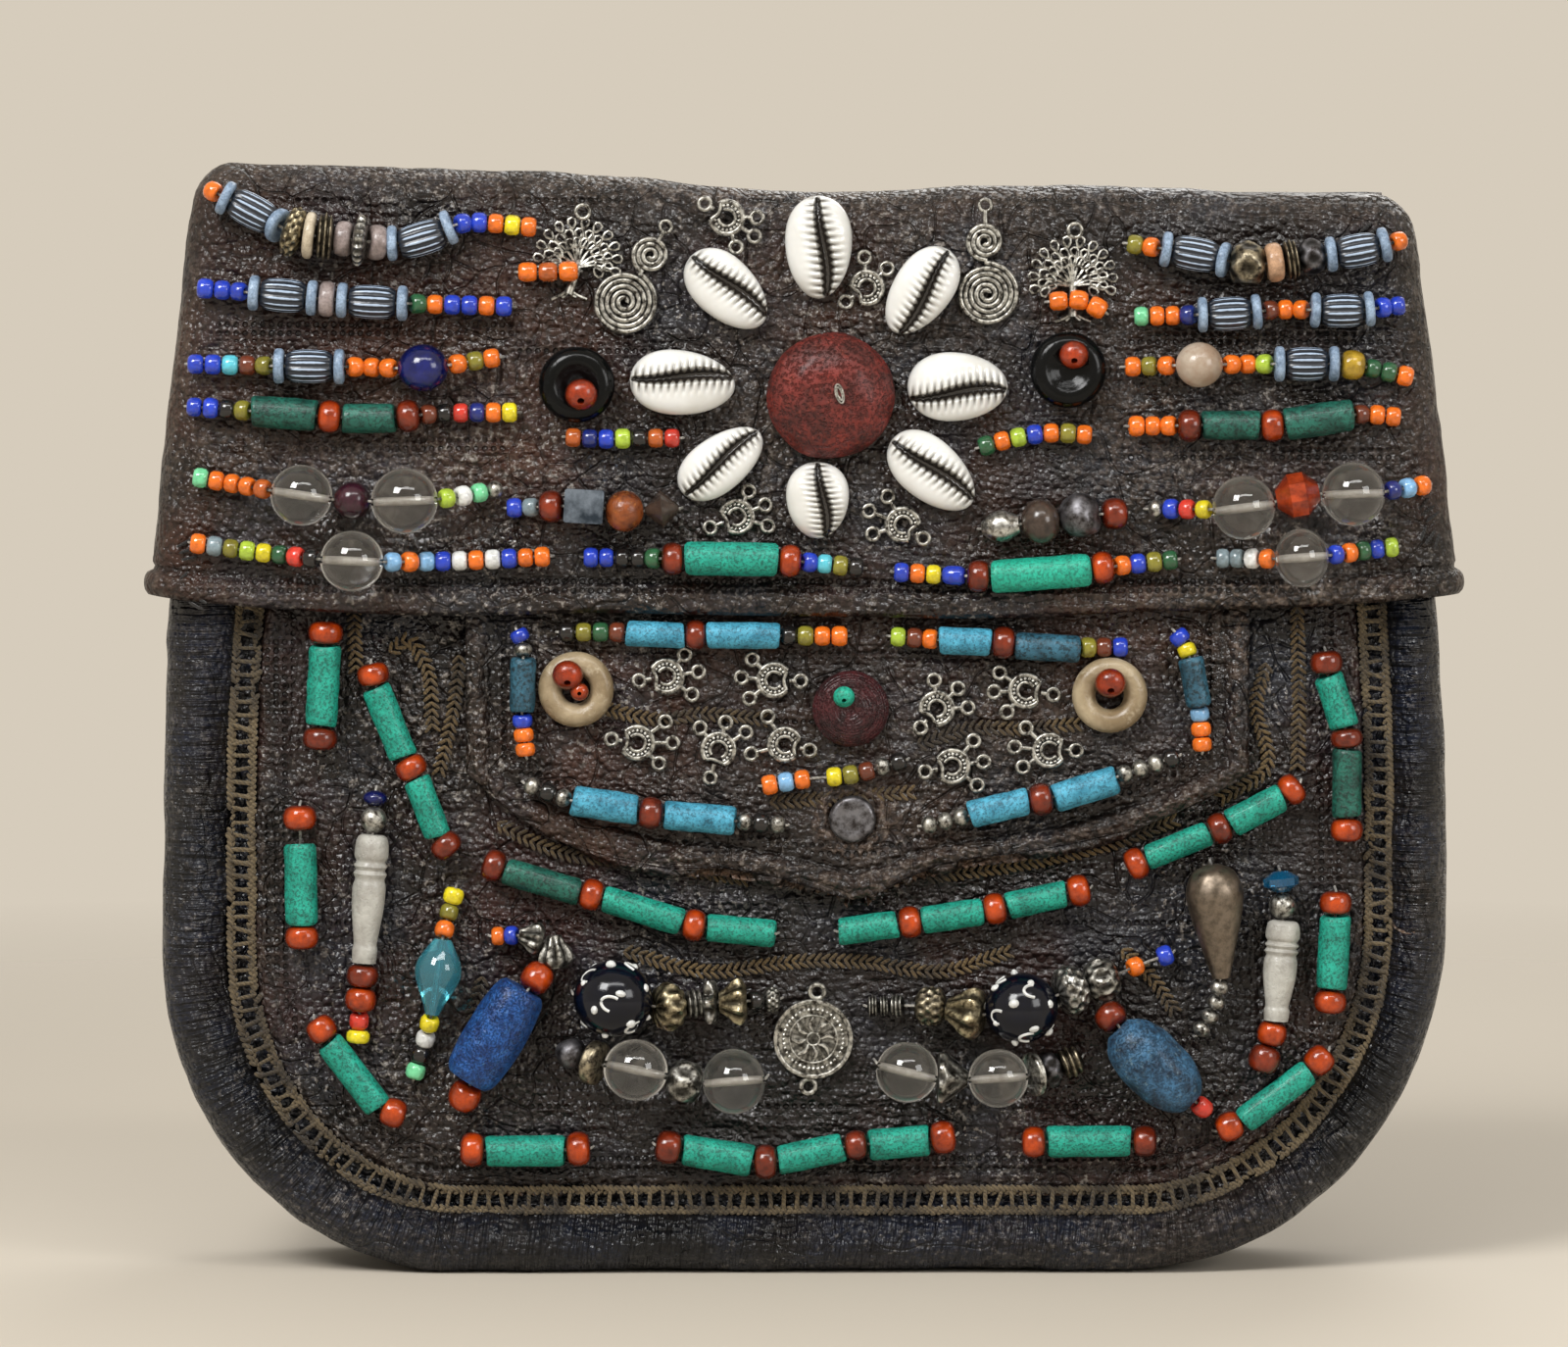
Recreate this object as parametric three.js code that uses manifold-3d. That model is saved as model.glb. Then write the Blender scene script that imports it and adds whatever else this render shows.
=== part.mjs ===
// A small leather shoulder bag whose front is covered with strung beads, shells and charms.
// Millimetres, +Z up. The front faces -Y, and the origin is the middle of the footprint on the floor.

import * as THREE from 'three';
import { mergeVertices } from 'three/addons/utils/BufferGeometryUtils.js';
import Module from 'manifold-3d';

const wasm = await Module();
wasm.setup();

// Leather and clearances
const LEATHER = 2.4;
const THIN_LEATHER = 2.1;
const SEAT = 0.3;

// Body of the bag
const BODY_WIDTH = 263;
const BODY_DEPTH = 44;
const BODY_TOP = 216;
const BODY_WIDEST = 95;
const SIDE_TAPER = 10;
const LEFT_CORNER_WIDTH = 60;
const LEFT_CORNER_HEIGHT = 66;
const RIGHT_CORNER_WIDTH = 66;
const RIGHT_CORNER_HEIGHT = 72;

// Padded roll, braid and pocket on the front wall; the panel sits a little to the right
const ROLL_MARGIN = 0.8;
const ROLL_WIDTH = 10.6;
const ROLL_HEIGHT = 5.2;
const ROLL_TOP_MARGIN = 8;
const BRAID_INSET = 14.8;
const BRAID_WIDTH = 4.8;
const BRAID_HEIGHT = 3.6;
const BRAID_PITCH = 14;
const PANEL_SHIFT = 1.4;
const POCKET_TOP = 152;

// Pointed flap over the pocket, its rim and its press stud
const UNDER_FLAP_WIDTH = 160;
const UNDER_FLAP_SHIFT = 11;
const UNDER_FLAP_TOP = 168;
const UNDER_FLAP_SIDE_LOW = 103;
const UNDER_FLAP_POINT = 79;
const UNDER_FLAP_GAP = 1.2;
const RIM_WIDTH = 4.5;
const RIM_RISE = 0.7;
const STUD_HEIGHT_ABOVE_FLOOR = 93.6;
const STUD_PLACE = 10;
const CAP_DIAMETER = 9.6;
const CAP_RISE = 2.2;
const SOCKET_DIAMETER = 5;
const POST_DIAMETER = 2.2;
const FLANGE_DIAMETER = 6.6;
const FLANGE_THICKNESS = 0.6;

// Boxed flap
const FLAP_EDGE = 135.6;
const FLAP_GAP = 1.2;
const FLAP_EASE = 0.6;
const FLAP_FLARE = 1.3;
const FLAP_ROUND = 8;
const FLAP_CREST = 224.5;
const CREST_TILT = 7.2;
const CREST_DIP = 2;
const CREST_DIP_WIDTH = 25;
const RETURN_DEPTH = 14;
const RETURN_DROP = 14;
const RETURN_LEAN = 2;
const RETURN_CURVE = 26;
const HEM_RADIUS = 2.3;
const HEM_FORWARD = 0.6;
const HINGE_HEIGHT = 221;
const HINGE_RADIUS = 1.8;

// Strap loops on the back
const LOOP_WIDTH = 16;
const LOOP_HEIGHT = 26;
const LOOP_FOOT = 4;
const LOOP_GAP = 5.2;
const LOOP_MARGIN = 29;
const LOOP_LOW = 184;

// Buttons, rings and charms
const DOME_DIAMETER = 26;
const DOME_HEIGHT = 9;
const DISC_DIAMETER = 15.6;
const DISC_HEIGHT = 5.4;
const HORN_DIAMETER = 15.4;
const HORN_HOLE = 6;
const HORN_HEIGHT = 4.6;
const MAROON_DIAMETER = 15.6;
const MAROON_HEIGHT = 5;
const SHELL_HEIGHT_SHARE = 0.52;
const SPIRAL_PITCH = 1.35;
const SPIRAL_WIRE = 1;
const CHARM_THICKNESS = 1.4;
const CROWN_RADIUS = 8.6;
const CROWN_LEAVES = 9;
const TRUNK_WIDTH = 1.8;
const FOOT_WIDTH = 7.6;
const TREE_RING_RADIUS = 1.4;
const COIN_DIAMETER = 16.4;
const COIN_RIM = 1;
const COIN_LOOP_DIAMETER = 4.6;
const CONNECTOR_DIAMETER = 7.2;
const CONNECTOR_WIRE = 1.5;
const THREAD_DIAMETER = 0.9;

// The beadwork is laid out on panels of these sizes, and spreads with the panels
const DRAWN_BODY_WIDTH = 263;
const DRAWN_BODY_TOP = 216;
const DRAWN_FLAP_EDGE = 135.6;
const DRAWN_FLAP_CREST = 224.5;

// Planes from the front wall outwards; out is -Y
const WALL_FRONT = -BODY_DEPTH / 2;
const POCKET_FRONT = WALL_FRONT - SEAT - THIN_LEATHER;
const UNDER_FLAP_BACK = POCKET_FRONT - UNDER_FLAP_GAP;
const UNDER_FLAP_FRONT = UNDER_FLAP_BACK - THIN_LEATHER;
const FLAP_BACK = UNDER_FLAP_FRONT - RIM_RISE - FLAP_GAP;
const FLAP_FRONT = FLAP_BACK - LEATHER;
const HINGE_Y = BODY_DEPTH / 2 - HINGE_RADIUS;

const FINISHES = {
  leather: new THREE.MeshStandardMaterial({ color: '#33292a', roughness: 0.6 }),
  cord: new THREE.MeshStandardMaterial({ color: '#7a6648', roughness: 0.8 }),
  glass: new THREE.MeshStandardMaterial({ color: '#c85a2a', roughness: 0.2 }),
  quartz: new THREE.MeshStandardMaterial({ color: '#d6d8d6', roughness: 0.05 }),
  shell: new THREE.MeshStandardMaterial({ color: '#e6e3d9', roughness: 0.25 }),
  stone: new THREE.MeshStandardMaterial({ color: '#7c3029', roughness: 0.45 }),
  black: new THREE.MeshStandardMaterial({ color: '#17191c', roughness: 0.3 }),
  horn: new THREE.MeshStandardMaterial({ color: '#9c8a6c', roughness: 0.35 }),
  silver: new THREE.MeshStandardMaterial({ color: '#aba89f', roughness: 0.35, metalness: 1 }),
};

const bag = new THREE.Group();

function addPiece(name, geometry, finish) {
  const mesh = new THREE.Mesh(outward(geometry), FINISHES[finish]);
  mesh.name = name;
  bag.add(mesh);
}

// Keeps only positions, welds them, drops triangles without area and turns the faces outwards
function outward(geometry) {
  const bare = geometry.clone();
  bare.deleteAttribute('normal');
  bare.deleteAttribute('uv');
  const welded = mergeVertices(bare, 1e-4);
  const corners = welded.index.array;
  const at = [new THREE.Vector3(), new THREE.Vector3(), new THREE.Vector3()];
  const kept = [];
  let volume = 0;
  for (let i = 0; i < corners.length; i += 3) {
    const [a, b, c] = [corners[i], corners[i + 1], corners[i + 2]];
    if (a === b || b === c || c === a) continue;
    kept.push(a, b, c);
    at.forEach((point, k) => point.fromBufferAttribute(welded.attributes.position, corners[i + k]));
    volume += at[0].dot(at[1].cross(at[2]));
  }
  welded.setIndex(volume < 0 ? kept.reverse() : kept);
  return welded;
}

function toSolid(geometry) {
  const closed = outward(geometry);
  return new wasm.Manifold(new wasm.Mesh({
    numProp: 3,
    vertProperties: new Float32Array(closed.attributes.position.array),
    triVerts: new Uint32Array(closed.index.array),
  }));
}

function fromSolid(solid) {
  const mesh = solid.getMesh();
  const geometry = new THREE.BufferGeometry();
  geometry.setAttribute('position', new THREE.BufferAttribute(mesh.vertProperties, 3));
  geometry.setIndex(new THREE.BufferAttribute(mesh.triVerts, 1));
  return geometry;
}

function join(geometries) {
  return fromSolid(geometries.map(toSolid).reduce((whole, next) => whole.add(next)));
}

// Skin through sections with the same number of points, closed by a fan at each end
function loft(sections) {
  const around = sections[0].length;
  const index = [];
  for (let s = 0; s + 1 < sections.length; s++) {
    for (let i = 0; i < around; i++) {
      const a = s * around + i;
      const b = s * around + (i + 1) % around;
      index.push(a, b, b + around, a, b + around, a + around);
    }
  }
  const last = (sections.length - 1) * around;
  for (let i = 1; i + 1 < around; i++) {
    index.push(0, i + 1, i, last, last + i, last + i + 1);
  }
  const geometry = new THREE.BufferGeometry().setFromPoints(sections.flat());
  geometry.setIndex(index);
  return geometry;
}

// Flat piece whose outline is seen from the front, between yFront and yFront + thickness
function plate(shape, yFront, thickness) {
  const options = { depth: thickness, bevelEnabled: false, curveSegments: 6 };
  const geometry = new THREE.ExtrudeGeometry(shape, options);
  return geometry.rotateX(Math.PI / 2).translate(0, yFront + thickness, 0);
}

// Turned piece that stands out from a face; profile points are [radius, height above the face]
function turned(profile, [x, z], face, segments) {
  const points = profile.map(([radius, height]) => new THREE.Vector2(radius, height));
  return new THREE.LatheGeometry(points, segments).rotateX(Math.PI).translate(x, face - SEAT, z);
}

function ballAt([x, z], radius, y) {
  return new THREE.SphereGeometry(radius, 8, 6).translate(x, y, z);
}

// Half width of the body at a height
function bodySide(z) {
  const rise = Math.max(0, (z - BODY_WIDEST) / (BODY_TOP - BODY_WIDEST));
  return BODY_WIDTH / 2 - SIDE_TAPER * rise ** 1.6;
}

// Outline of the body seen from the front, moved inwards, from the top left down and round to the top right
function bodyOutline(inset, top, shift = 0) {
  const sideSteps = 4;
  const cornerSteps = 6;
  const left = [];
  const right = [];
  for (let i = 0; i < sideSteps; i++) {
    const z = top + (BODY_WIDEST - top) * i / sideSteps;
    left.push([inset - bodySide(z) + shift, z]);
    right.push([bodySide(z) - inset + shift, z]);
  }
  for (let i = 0; i <= cornerSteps; i++) {
    const turn = i / cornerSteps * Math.PI / 2;
    left.push([
      shift - BODY_WIDTH / 2 + LEFT_CORNER_WIDTH - (LEFT_CORNER_WIDTH - inset) * Math.cos(turn),
      LEFT_CORNER_HEIGHT - (LEFT_CORNER_HEIGHT - inset) * Math.sin(turn),
    ]);
    right.push([
      shift + BODY_WIDTH / 2 - RIGHT_CORNER_WIDTH + (RIGHT_CORNER_WIDTH - inset) * Math.cos(turn),
      RIGHT_CORNER_HEIGHT - (RIGHT_CORNER_HEIGHT - inset) * Math.sin(turn),
    ]);
  }
  return [...left, ...right.reverse()];
}

function shapeOf(points) {
  return new THREE.Shape(points.map(([x, z]) => new THREE.Vector2(x, z)));
}

// Shell of the main compartment
function makeBody() {
  const backTop = HINGE_HEIGHT - HINGE_RADIUS - SEAT;
  const back = shapeOf(bodyOutline(0, backTop));
  addPiece('back_panel', plate(back, BODY_DEPTH / 2 - LEATHER, LEATHER), 'leather');
  addPiece('front_wall', plate(shapeOf(bodyOutline(0, BODY_TOP)), WALL_FRONT, LEATHER), 'leather');
  const band = [...bodyOutline(0, BODY_TOP), ...bodyOutline(LEATHER, BODY_TOP).reverse()];
  const bandDepth = BODY_DEPTH - 2 * (LEATHER + SEAT);
  addPiece('side_gusset', plate(shapeOf(band), -bandDepth / 2, bandDepth), 'leather');
}

// Padded roll: a rounded section carried round the outline
function makeBorderRoll() {
  const top = BODY_TOP - ROLL_TOP_MARGIN;
  const section = [[0, 0], [0.1, 0.62], [0.3, 0.96], [0.7, 0.96], [0.9, 0.62], [1, 0]];
  const rails = section.map(([across]) =>
    bodyOutline(ROLL_MARGIN + across * ROLL_WIDTH, top, across * PANEL_SHIFT));
  const stations = rails[0].map((_, i) => section.map(([, height], k) => {
    const [x, z] = rails[k][i];
    return new THREE.Vector3(x, WALL_FRONT - SEAT - height * ROLL_HEIGHT, z);
  }));
  addPiece('border_roll', loft(stations), 'leather');
}

function flatCurve(points, y = 0) {
  const spots = points.map(([x, z]) => new THREE.Vector3(x, y, z));
  return new THREE.CatmullRomCurve3(spots, false, 'centripetal');
}

// Section round a curve that lies in the front plane; offsets are [across, out] pairs
function sectionAt(curve, share, offsets, y) {
  const spot = curve.getPointAt(share);
  const along = curve.getTangentAt(share);
  const across = new THREE.Vector3(-along.z, 0, along.x);
  return offsets.map(([side, out]) => new THREE.Vector3(
    spot.x + across.x * side, y - out, spot.z + across.z * side));
}

// Braided cord: each crossing of its strands is a swelling of the cord
function makeEdgeBraid() {
  const curve = flatCurve(bodyOutline(BRAID_INSET, BODY_TOP - ROLL_TOP_MARGIN, PANEL_SHIFT));
  const crossings = Math.round(curve.getLength() / BRAID_PITCH);
  const stations = [];
  for (let i = 0; i <= 2 * crossings; i++) {
    const swell = i % 2 ? 1 : 0.72;
    const half = BRAID_WIDTH / 2 * swell;
    const rise = BRAID_HEIGHT * swell;
    const section = [[-half, rise / 2], [0, rise], [half, rise / 2], [0, 0]];
    stations.push(sectionAt(curve, i / (2 * crossings), section, WALL_FRONT - SEAT));
  }
  addPiece('edge_braid', loft(stations), 'cord');
}

// Place on the beadwork drawing, carried to the panels as they are
function onBody([x, z]) {
  return [x * BODY_WIDTH / DRAWN_BODY_WIDTH, z * BODY_TOP / DRAWN_BODY_TOP];
}

function onFlap([x, z]) {
  const rise = (FLAP_CREST - FLAP_EDGE) / (DRAWN_FLAP_CREST - DRAWN_FLAP_EDGE);
  return [x * BODY_WIDTH / DRAWN_BODY_WIDTH, FLAP_EDGE + (z - DRAWN_FLAP_EDGE) * rise];
}

// Bead kinds: usual length and width, and the outline as [place, radius] pairs, where place runs from
// -1 to 1 between the two holes and radius is a share of half the width.
// A flat bead lies flush with its neighbours.
const BEADS = {
  seed: { length: 3.2, width: 4.1, outline: [[0, 1]] },
  bead: { length: 4.7, width: 6.5, outline: [[-0.45, 0.96], [0.45, 0.96]] },
  ring: { length: 2.4, width: 7.2, outline: [[-0.7, 1], [0.7, 1]], flat: true },
  disc: { length: 3.4, width: 9, outline: [[-0.5, 0.95], [0.5, 0.95]] },
  barrel: { length: 8.8, width: 6.6, outline: [[-0.95, 0.74], [0, 1], [0.95, 0.74]] },
  tube: { length: 13, width: 6.4, outline: [[-0.97, 1], [0.97, 1]] },
  ball: { length: 12.4, width: 12.4, outline: [[-0.82, 0.55], [-0.38, 0.93], [0.38, 0.93], [0.82, 0.55]] },
  spindle: { length: 20.4, width: 7.1, outline: [[-0.97, 1], [0.97, 0.74]] },
  drop: { length: 14.6, width: 9.6, outline: [[-0.9, 0.5], [-0.4, 1], [0.3, 0.85], [0.92, 0.4]] },
  teardrop: { length: 23.4, width: 11.8, outline: [[-0.96, 0.7], [-0.6, 1], [0.1, 0.85], [0.96, 0.4]] },
  oval: { length: 21, width: 13.6, outline: [[-0.8, 0.62], [-0.3, 1], [0.35, 0.97], [0.82, 0.55]] },
  thread: { length: 3, width: THREAD_DIAMETER, outline: [] },
};

// Reads a string of beads such as 'seed*3 ball/12/13 seed': kind/length/width*count
function readBeads(text) {
  return text.split(' ').flatMap((word) => {
    const [size, count = 1] = word.split('*');
    const [kind, length, width] = size.split('/');
    const usual = BEADS[kind];
    const bead = { ...usual, length: Number(length ?? usual.length), width: Number(width ?? usual.width) };
    return Array.from({ length: Number(count) }, () => bead);
  });
}

// A string of beads on its thread as one body. The beads share out the course between them, and the thread
// rises from the leather to pass through the large ones. With fixed ends it dips into the leather.
function strand(course, text, face, { sides = 5, fixedEnds = false } = {}) {
  const curve = flatCurve(course);
  const room = curve.getLength();
  const beads = readBeads(text);
  const total = beads.reduce((sum, bead) => sum + bead.length, 0);
  let place = 0;
  const laid = beads.map((bead) => {
    const half = bead.length / total * room / 2;
    const centre = place + half;
    place += 2 * half;
    return { ...bead, half, centre };
  });
  const threadSlope = 0.5;
  const lift = (s) => Math.max(...laid.map((bead) =>
    bead.width / 2 - threadSlope * Math.max(0, Math.abs(s - bead.centre) - bead.half)));
  const threadRadius = THREAD_DIAMETER / 2;
  const stations = [];
  const addRing = (s, radius, height) => {
    const ring = [];
    for (let i = 0; i < sides; i++) {
      const turn = (i + 0.5) / sides * 2 * Math.PI;
      ring.push([radius * Math.sin(turn), height + radius * Math.cos(turn)]);
    }
    stations.push(sectionAt(curve, Math.min(1, Math.max(0, s / room)), ring, face - SEAT));
  };
  addRing(0, threadRadius, lift(0));
  laid.forEach((bead, i) => {
    for (const [spot, radius] of bead.outline) {
      const s = bead.centre + spot * bead.half;
      addRing(s, radius * bead.width / 2, lift(s));
    }
    const next = laid[i + 1];
    const flush = next && (bead.flat || next.flat) && !(bead.flat && next.flat);
    if (next && !flush) {
      const end = bead.centre + bead.half;
      addRing(end, Math.max(threadRadius, 0.26 * Math.min(bead.width, next.width)), lift(end));
    }
  });
  addRing(room, threadRadius, lift(room));
  const tail = 1.4;
  const dip = fixedEnds ? -SEAT - THIN_LEATHER / 2 : threadRadius;
  for (const [list, share, way] of [['unshift', 0, -1], ['push', 1, 1]]) {
    const along = curve.getTangentAt(share).multiplyScalar(way * tail);
    const spot = curve.getPointAt(share).add(along);
    const ring = [];
    for (let i = 0; i < sides; i++) {
      const turn = (i + 0.5) / sides * 2 * Math.PI;
      const across = threadRadius * Math.sin(turn);
      const tangent = curve.getTangentAt(share);
      ring.push(new THREE.Vector3(
        spot.x - tangent.z * across,
        face - SEAT - dip - threadRadius * Math.cos(turn),
        spot.z + tangent.x * across));
    }
    stations[list](ring);
  }
  return loft(stations);
}

// Front pocket with the thirteen strands of tubes sewn on it
const POCKET_STRANDS = [
  [[[-97.4, 134], [-98, 122.6], [-98.9, 107.6]], 'bead/5/7 tube/17.6/6.6 bead/5/7'],
  [[[-88.4, 125.4], [-87, 119.8], [-81.4, 106], [-79.6, 103], [-74.4, 89.8], [-71.4, 86.4]],
    'bead tube/15.6/6 bead tube/12.6/5.6 bead'],
  [[[-65.6, 84.8], [-53.6, 80.7], [-43.2, 78], [-33, 74.8], [-22.4, 71.8], [-5.6, 70]],
    'bead tube/16/5.6 bead tube/17/5.6 bead tube/14.4/5.6'],
  [[[7, 70.4], [21.8, 72.4], [38.4, 75], [58.6, 79.4]],
    'tube/12.2/5.6 bead tube/12.4/5.6 bead tube/12.4/5.6 bead'],
  [[[66, 83.4], [70.6, 85.6], [83.8, 91], [86.6, 92.3], [97.8, 98.2], [101.5, 101]],
    'bead tube/14.4/5.2 bead tube/12.6/6 bead'],
  [[[106.6, 128], [107, 123.4], [110.6, 112], [111, 108.4], [111, 93.8], [111, 88.8]],
    'bead/5/6.6 tube/11.6/6 bead/4.2/6.6 tube/14.4/6 bead/5/6.6'],
  [[[-103, 96.4], [-102.8, 80], [-102.6, 66.8]], 'bead/5/6.8 thread/2.4 tube/16/6.6 bead/4.8/6.8'],
  [[[108.9, 78.8], [108.4, 65.6], [107.6, 53.6]], 'bead/4.8/6.6 tube/15.2/6.4 bead/4.8/6.6'],
  [[[-100.2, 52.6], [-97, 48], [-86.2, 34.2], [-81.4, 32.6]], 'bead/5.4/6 tube/17.4/6 bead/5.4/6'],
  [[[107.6, 46], [103, 41.6], [89.8, 31.6], [84.6, 29.4]], 'bead/5.4/6 tube/16.6/5.6 bead/5.4/6'],
  [[[-70.4, 25.8], [-56.8, 25.4], [-43.6, 26]], 'bead/5/7 tube/16.4/6.4 bead/5/7'],
  [[[-30.4, 26.6], [-16.6, 24.4], [-7.6, 23.2], [1.8, 24.9], [11, 26.6], [20.6, 27.2], [31.2, 28.6]],
    'bead/5.2/6.8 tube/14/6.6 bead/4.6/7 tube/13.2/6 bead/4.6/6 tube/12/6.4 bead/5/6.8'],
  [[[44.6, 27.2], [58.8, 27.4], [72.4, 27.4]], 'bead/4.8/6.4 tube/16.6/6.4 bead/4.8/6.4'],
];

function makePocket() {
  const inset = BRAID_INSET + BRAID_WIDTH / 2 + SEAT;
  const panel = plate(shapeOf(bodyOutline(inset, POCKET_TOP, PANEL_SHIFT)), POCKET_FRONT, THIN_LEATHER);
  const strands = POCKET_STRANDS.map(([course, text]) =>
    strand(course.map(onBody), text, POCKET_FRONT, { fixedEnds: true }));
  addPiece('pocket_panel', join([panel, ...strands]), 'leather');
}

// Ring of a round connector, lying flat on its panel
function connectorRing([x, z], face) {
  const radius = (CONNECTOR_DIAMETER - CONNECTOR_WIRE) / 2;
  const ring = new THREE.TorusGeometry(radius, CONNECTOR_WIRE / 2, 3, 8).rotateX(Math.PI / 2);
  return ring.translate(x, face - CONNECTOR_WIRE / 4, z);
}

// Outline of the under flap, moved inwards: straight sides and a shallow curved point
function underFlapOutline(inset) {
  const half = UNDER_FLAP_WIDTH / 2 - inset;
  const [shift] = onBody([UNDER_FLAP_SHIFT, 0]);
  const [, top] = onBody([0, UNDER_FLAP_TOP + inset]);
  const [, sideLow] = onBody([0, UNDER_FLAP_SIDE_LOW]);
  const [, point] = onBody([0, UNDER_FLAP_POINT]);
  const shape = new THREE.Shape();
  shape.moveTo(shift - half, top);
  shape.lineTo(shift - half, sideLow + inset);
  shape.quadraticCurveTo(shift - 0.7 * half, point + inset + 6, shift, point + inset);
  shape.quadraticCurveTo(shift + 0.7 * half, point + inset + 6, shift + half, sideLow + inset);
  shape.lineTo(shift + half, top);
  return shape;
}

const UNDER_FLAP_STRANDS = [
  [[[-50, 131.8], [-37, 131.8], [-30, 131.4], [-12, 131.2], [9, 131]],
    'seed*4 tube/11.2/5.2 bead/4/6 tube/14/5.4 seed*4'],
  [[[17.6, 131], [32.6, 130], [40, 129.8], [49, 128.8], [66.2, 128.8]],
    'seed*3 tube/10.4/5.6 bead tube/12.8/5.6 seed*3'],
  [[[-58.6, 132.4], [-57.4, 130], [-57.2, 123], [-57.4, 115], [-56.6, 106.4]], 'seed*2 tube/12.2/5.4 seed*3'],
  [[[75.6, 132], [77.8, 129], [80.6, 116.4], [81.4, 107.4]], 'seed*2 tube/10.4/5.2 seed*3'],
  [[[-57, 101], [-47.6, 97.6], [-39, 96.4], [-30.4, 94.9], [-21.4, 94], [-3.6, 92.4]],
    'seed*3 tube/13/6.2 bead tube/14/6 seed*3'],
  [[[24, 92.2], [33, 94.2], [40.6, 96.2], [57.2, 99.8], [65, 102.8], [76.6, 106.6]],
    'seed*3 tube/12/5.6 bead tube/13.2/6 seed*4'],
  [[[-8.6, 100.4], [0, 101.8], [10, 102.8], [21, 105.8]], 'seed*3 thread seed*5'],
];

const UNDER_FLAP_CONNECTORS = [
  [-28, 122.8], [-6, 122], [-34, 109.2], [-17.4, 107.8], [-3.8, 108.8], [27.2, 116.2], [45.4, 119.8],
  [30.4, 104.4], [50.2, 107.6],
];

function makeUnderFlap() {
  const sheet = plate(underFlapOutline(0), UNDER_FLAP_FRONT - RIM_RISE, THIN_LEATHER + RIM_RISE);
  const hollow = plate(underFlapOutline(RIM_WIDTH), UNDER_FLAP_FRONT - 2 * RIM_RISE, 2 * RIM_RISE);
  const strands = UNDER_FLAP_STRANDS.map(([course, text]) =>
    strand(course.map(onBody), text, UNDER_FLAP_FRONT, { fixedEnds: true }));
  const connectors = UNDER_FLAP_CONNECTORS.map((spot) => connectorRing(onBody(spot), UNDER_FLAP_FRONT));
  const hole = new THREE.CylinderGeometry(SOCKET_DIAMETER / 2 + SEAT, SOCKET_DIAMETER / 2 + SEAT, 20, 12);
  const [x, z] = onBody([STUD_PLACE, STUD_HEIGHT_ABOVE_FLOOR]);
  const rimmed = toSolid(sheet).subtract(toSolid(hollow));
  const cut = toSolid(hole.translate(x, UNDER_FLAP_FRONT, z));
  addPiece('under_flap', join([fromSolid(rimmed.subtract(cut)), ...strands, ...connectors]), 'leather');
}

// Press stud: the cap's socket passes through the under flap and takes the post that the pocket carries
function makePressStud() {
  const place = onBody([STUD_PLACE, STUD_HEIGHT_ABOVE_FLOOR]);
  const reach = UNDER_FLAP_FRONT - POCKET_FRONT;
  const flangeTop = SEAT + FLANGE_THICKNESS;
  const socket = SOCKET_DIAMETER / 2;
  const bore = POST_DIAMETER / 2 + SEAT;
  const cap = CAP_DIAMETER / 2;
  const socketEnd = reach + flangeTop;
  addPiece('snap_cap', turned([
    [0, -0.5], [bore, -0.5], [bore, socketEnd], [socket, socketEnd], [socket, 0], [cap, 0],
    [0.92 * cap, 0.5 * CAP_RISE], [0.6 * cap, 0.9 * CAP_RISE], [0, CAP_RISE],
  ], place, UNDER_FLAP_FRONT, 12), 'silver');
  addPiece('snap_stud', turned([
    [0, 0], [FLANGE_DIAMETER / 2, 0], [FLANGE_DIAMETER / 2, FLANGE_THICKNESS],
    [POST_DIAMETER / 2, FLANGE_THICKNESS], [POST_DIAMETER / 2, -reach - SEAT - 0.5], [0, -reach - SEAT - 0.5],
  ], place, POCKET_FRONT, 10), 'silver');
}

// Boxed flap, hinged on the top edge of the back panel
function flapSide(z) {
  const drop = (BODY_TOP - z) / (BODY_TOP - FLAP_EDGE);
  return bodySide(z) + LEATHER + FLAP_EASE + FLAP_FLARE * drop;
}

function flapCrest(x) {
  const dip = CREST_DIP * Math.exp(-((x / CREST_DIP_WIDTH) ** 2));
  return FLAP_CREST - CREST_TILT * x / BODY_WIDTH - dip;
}

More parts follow.
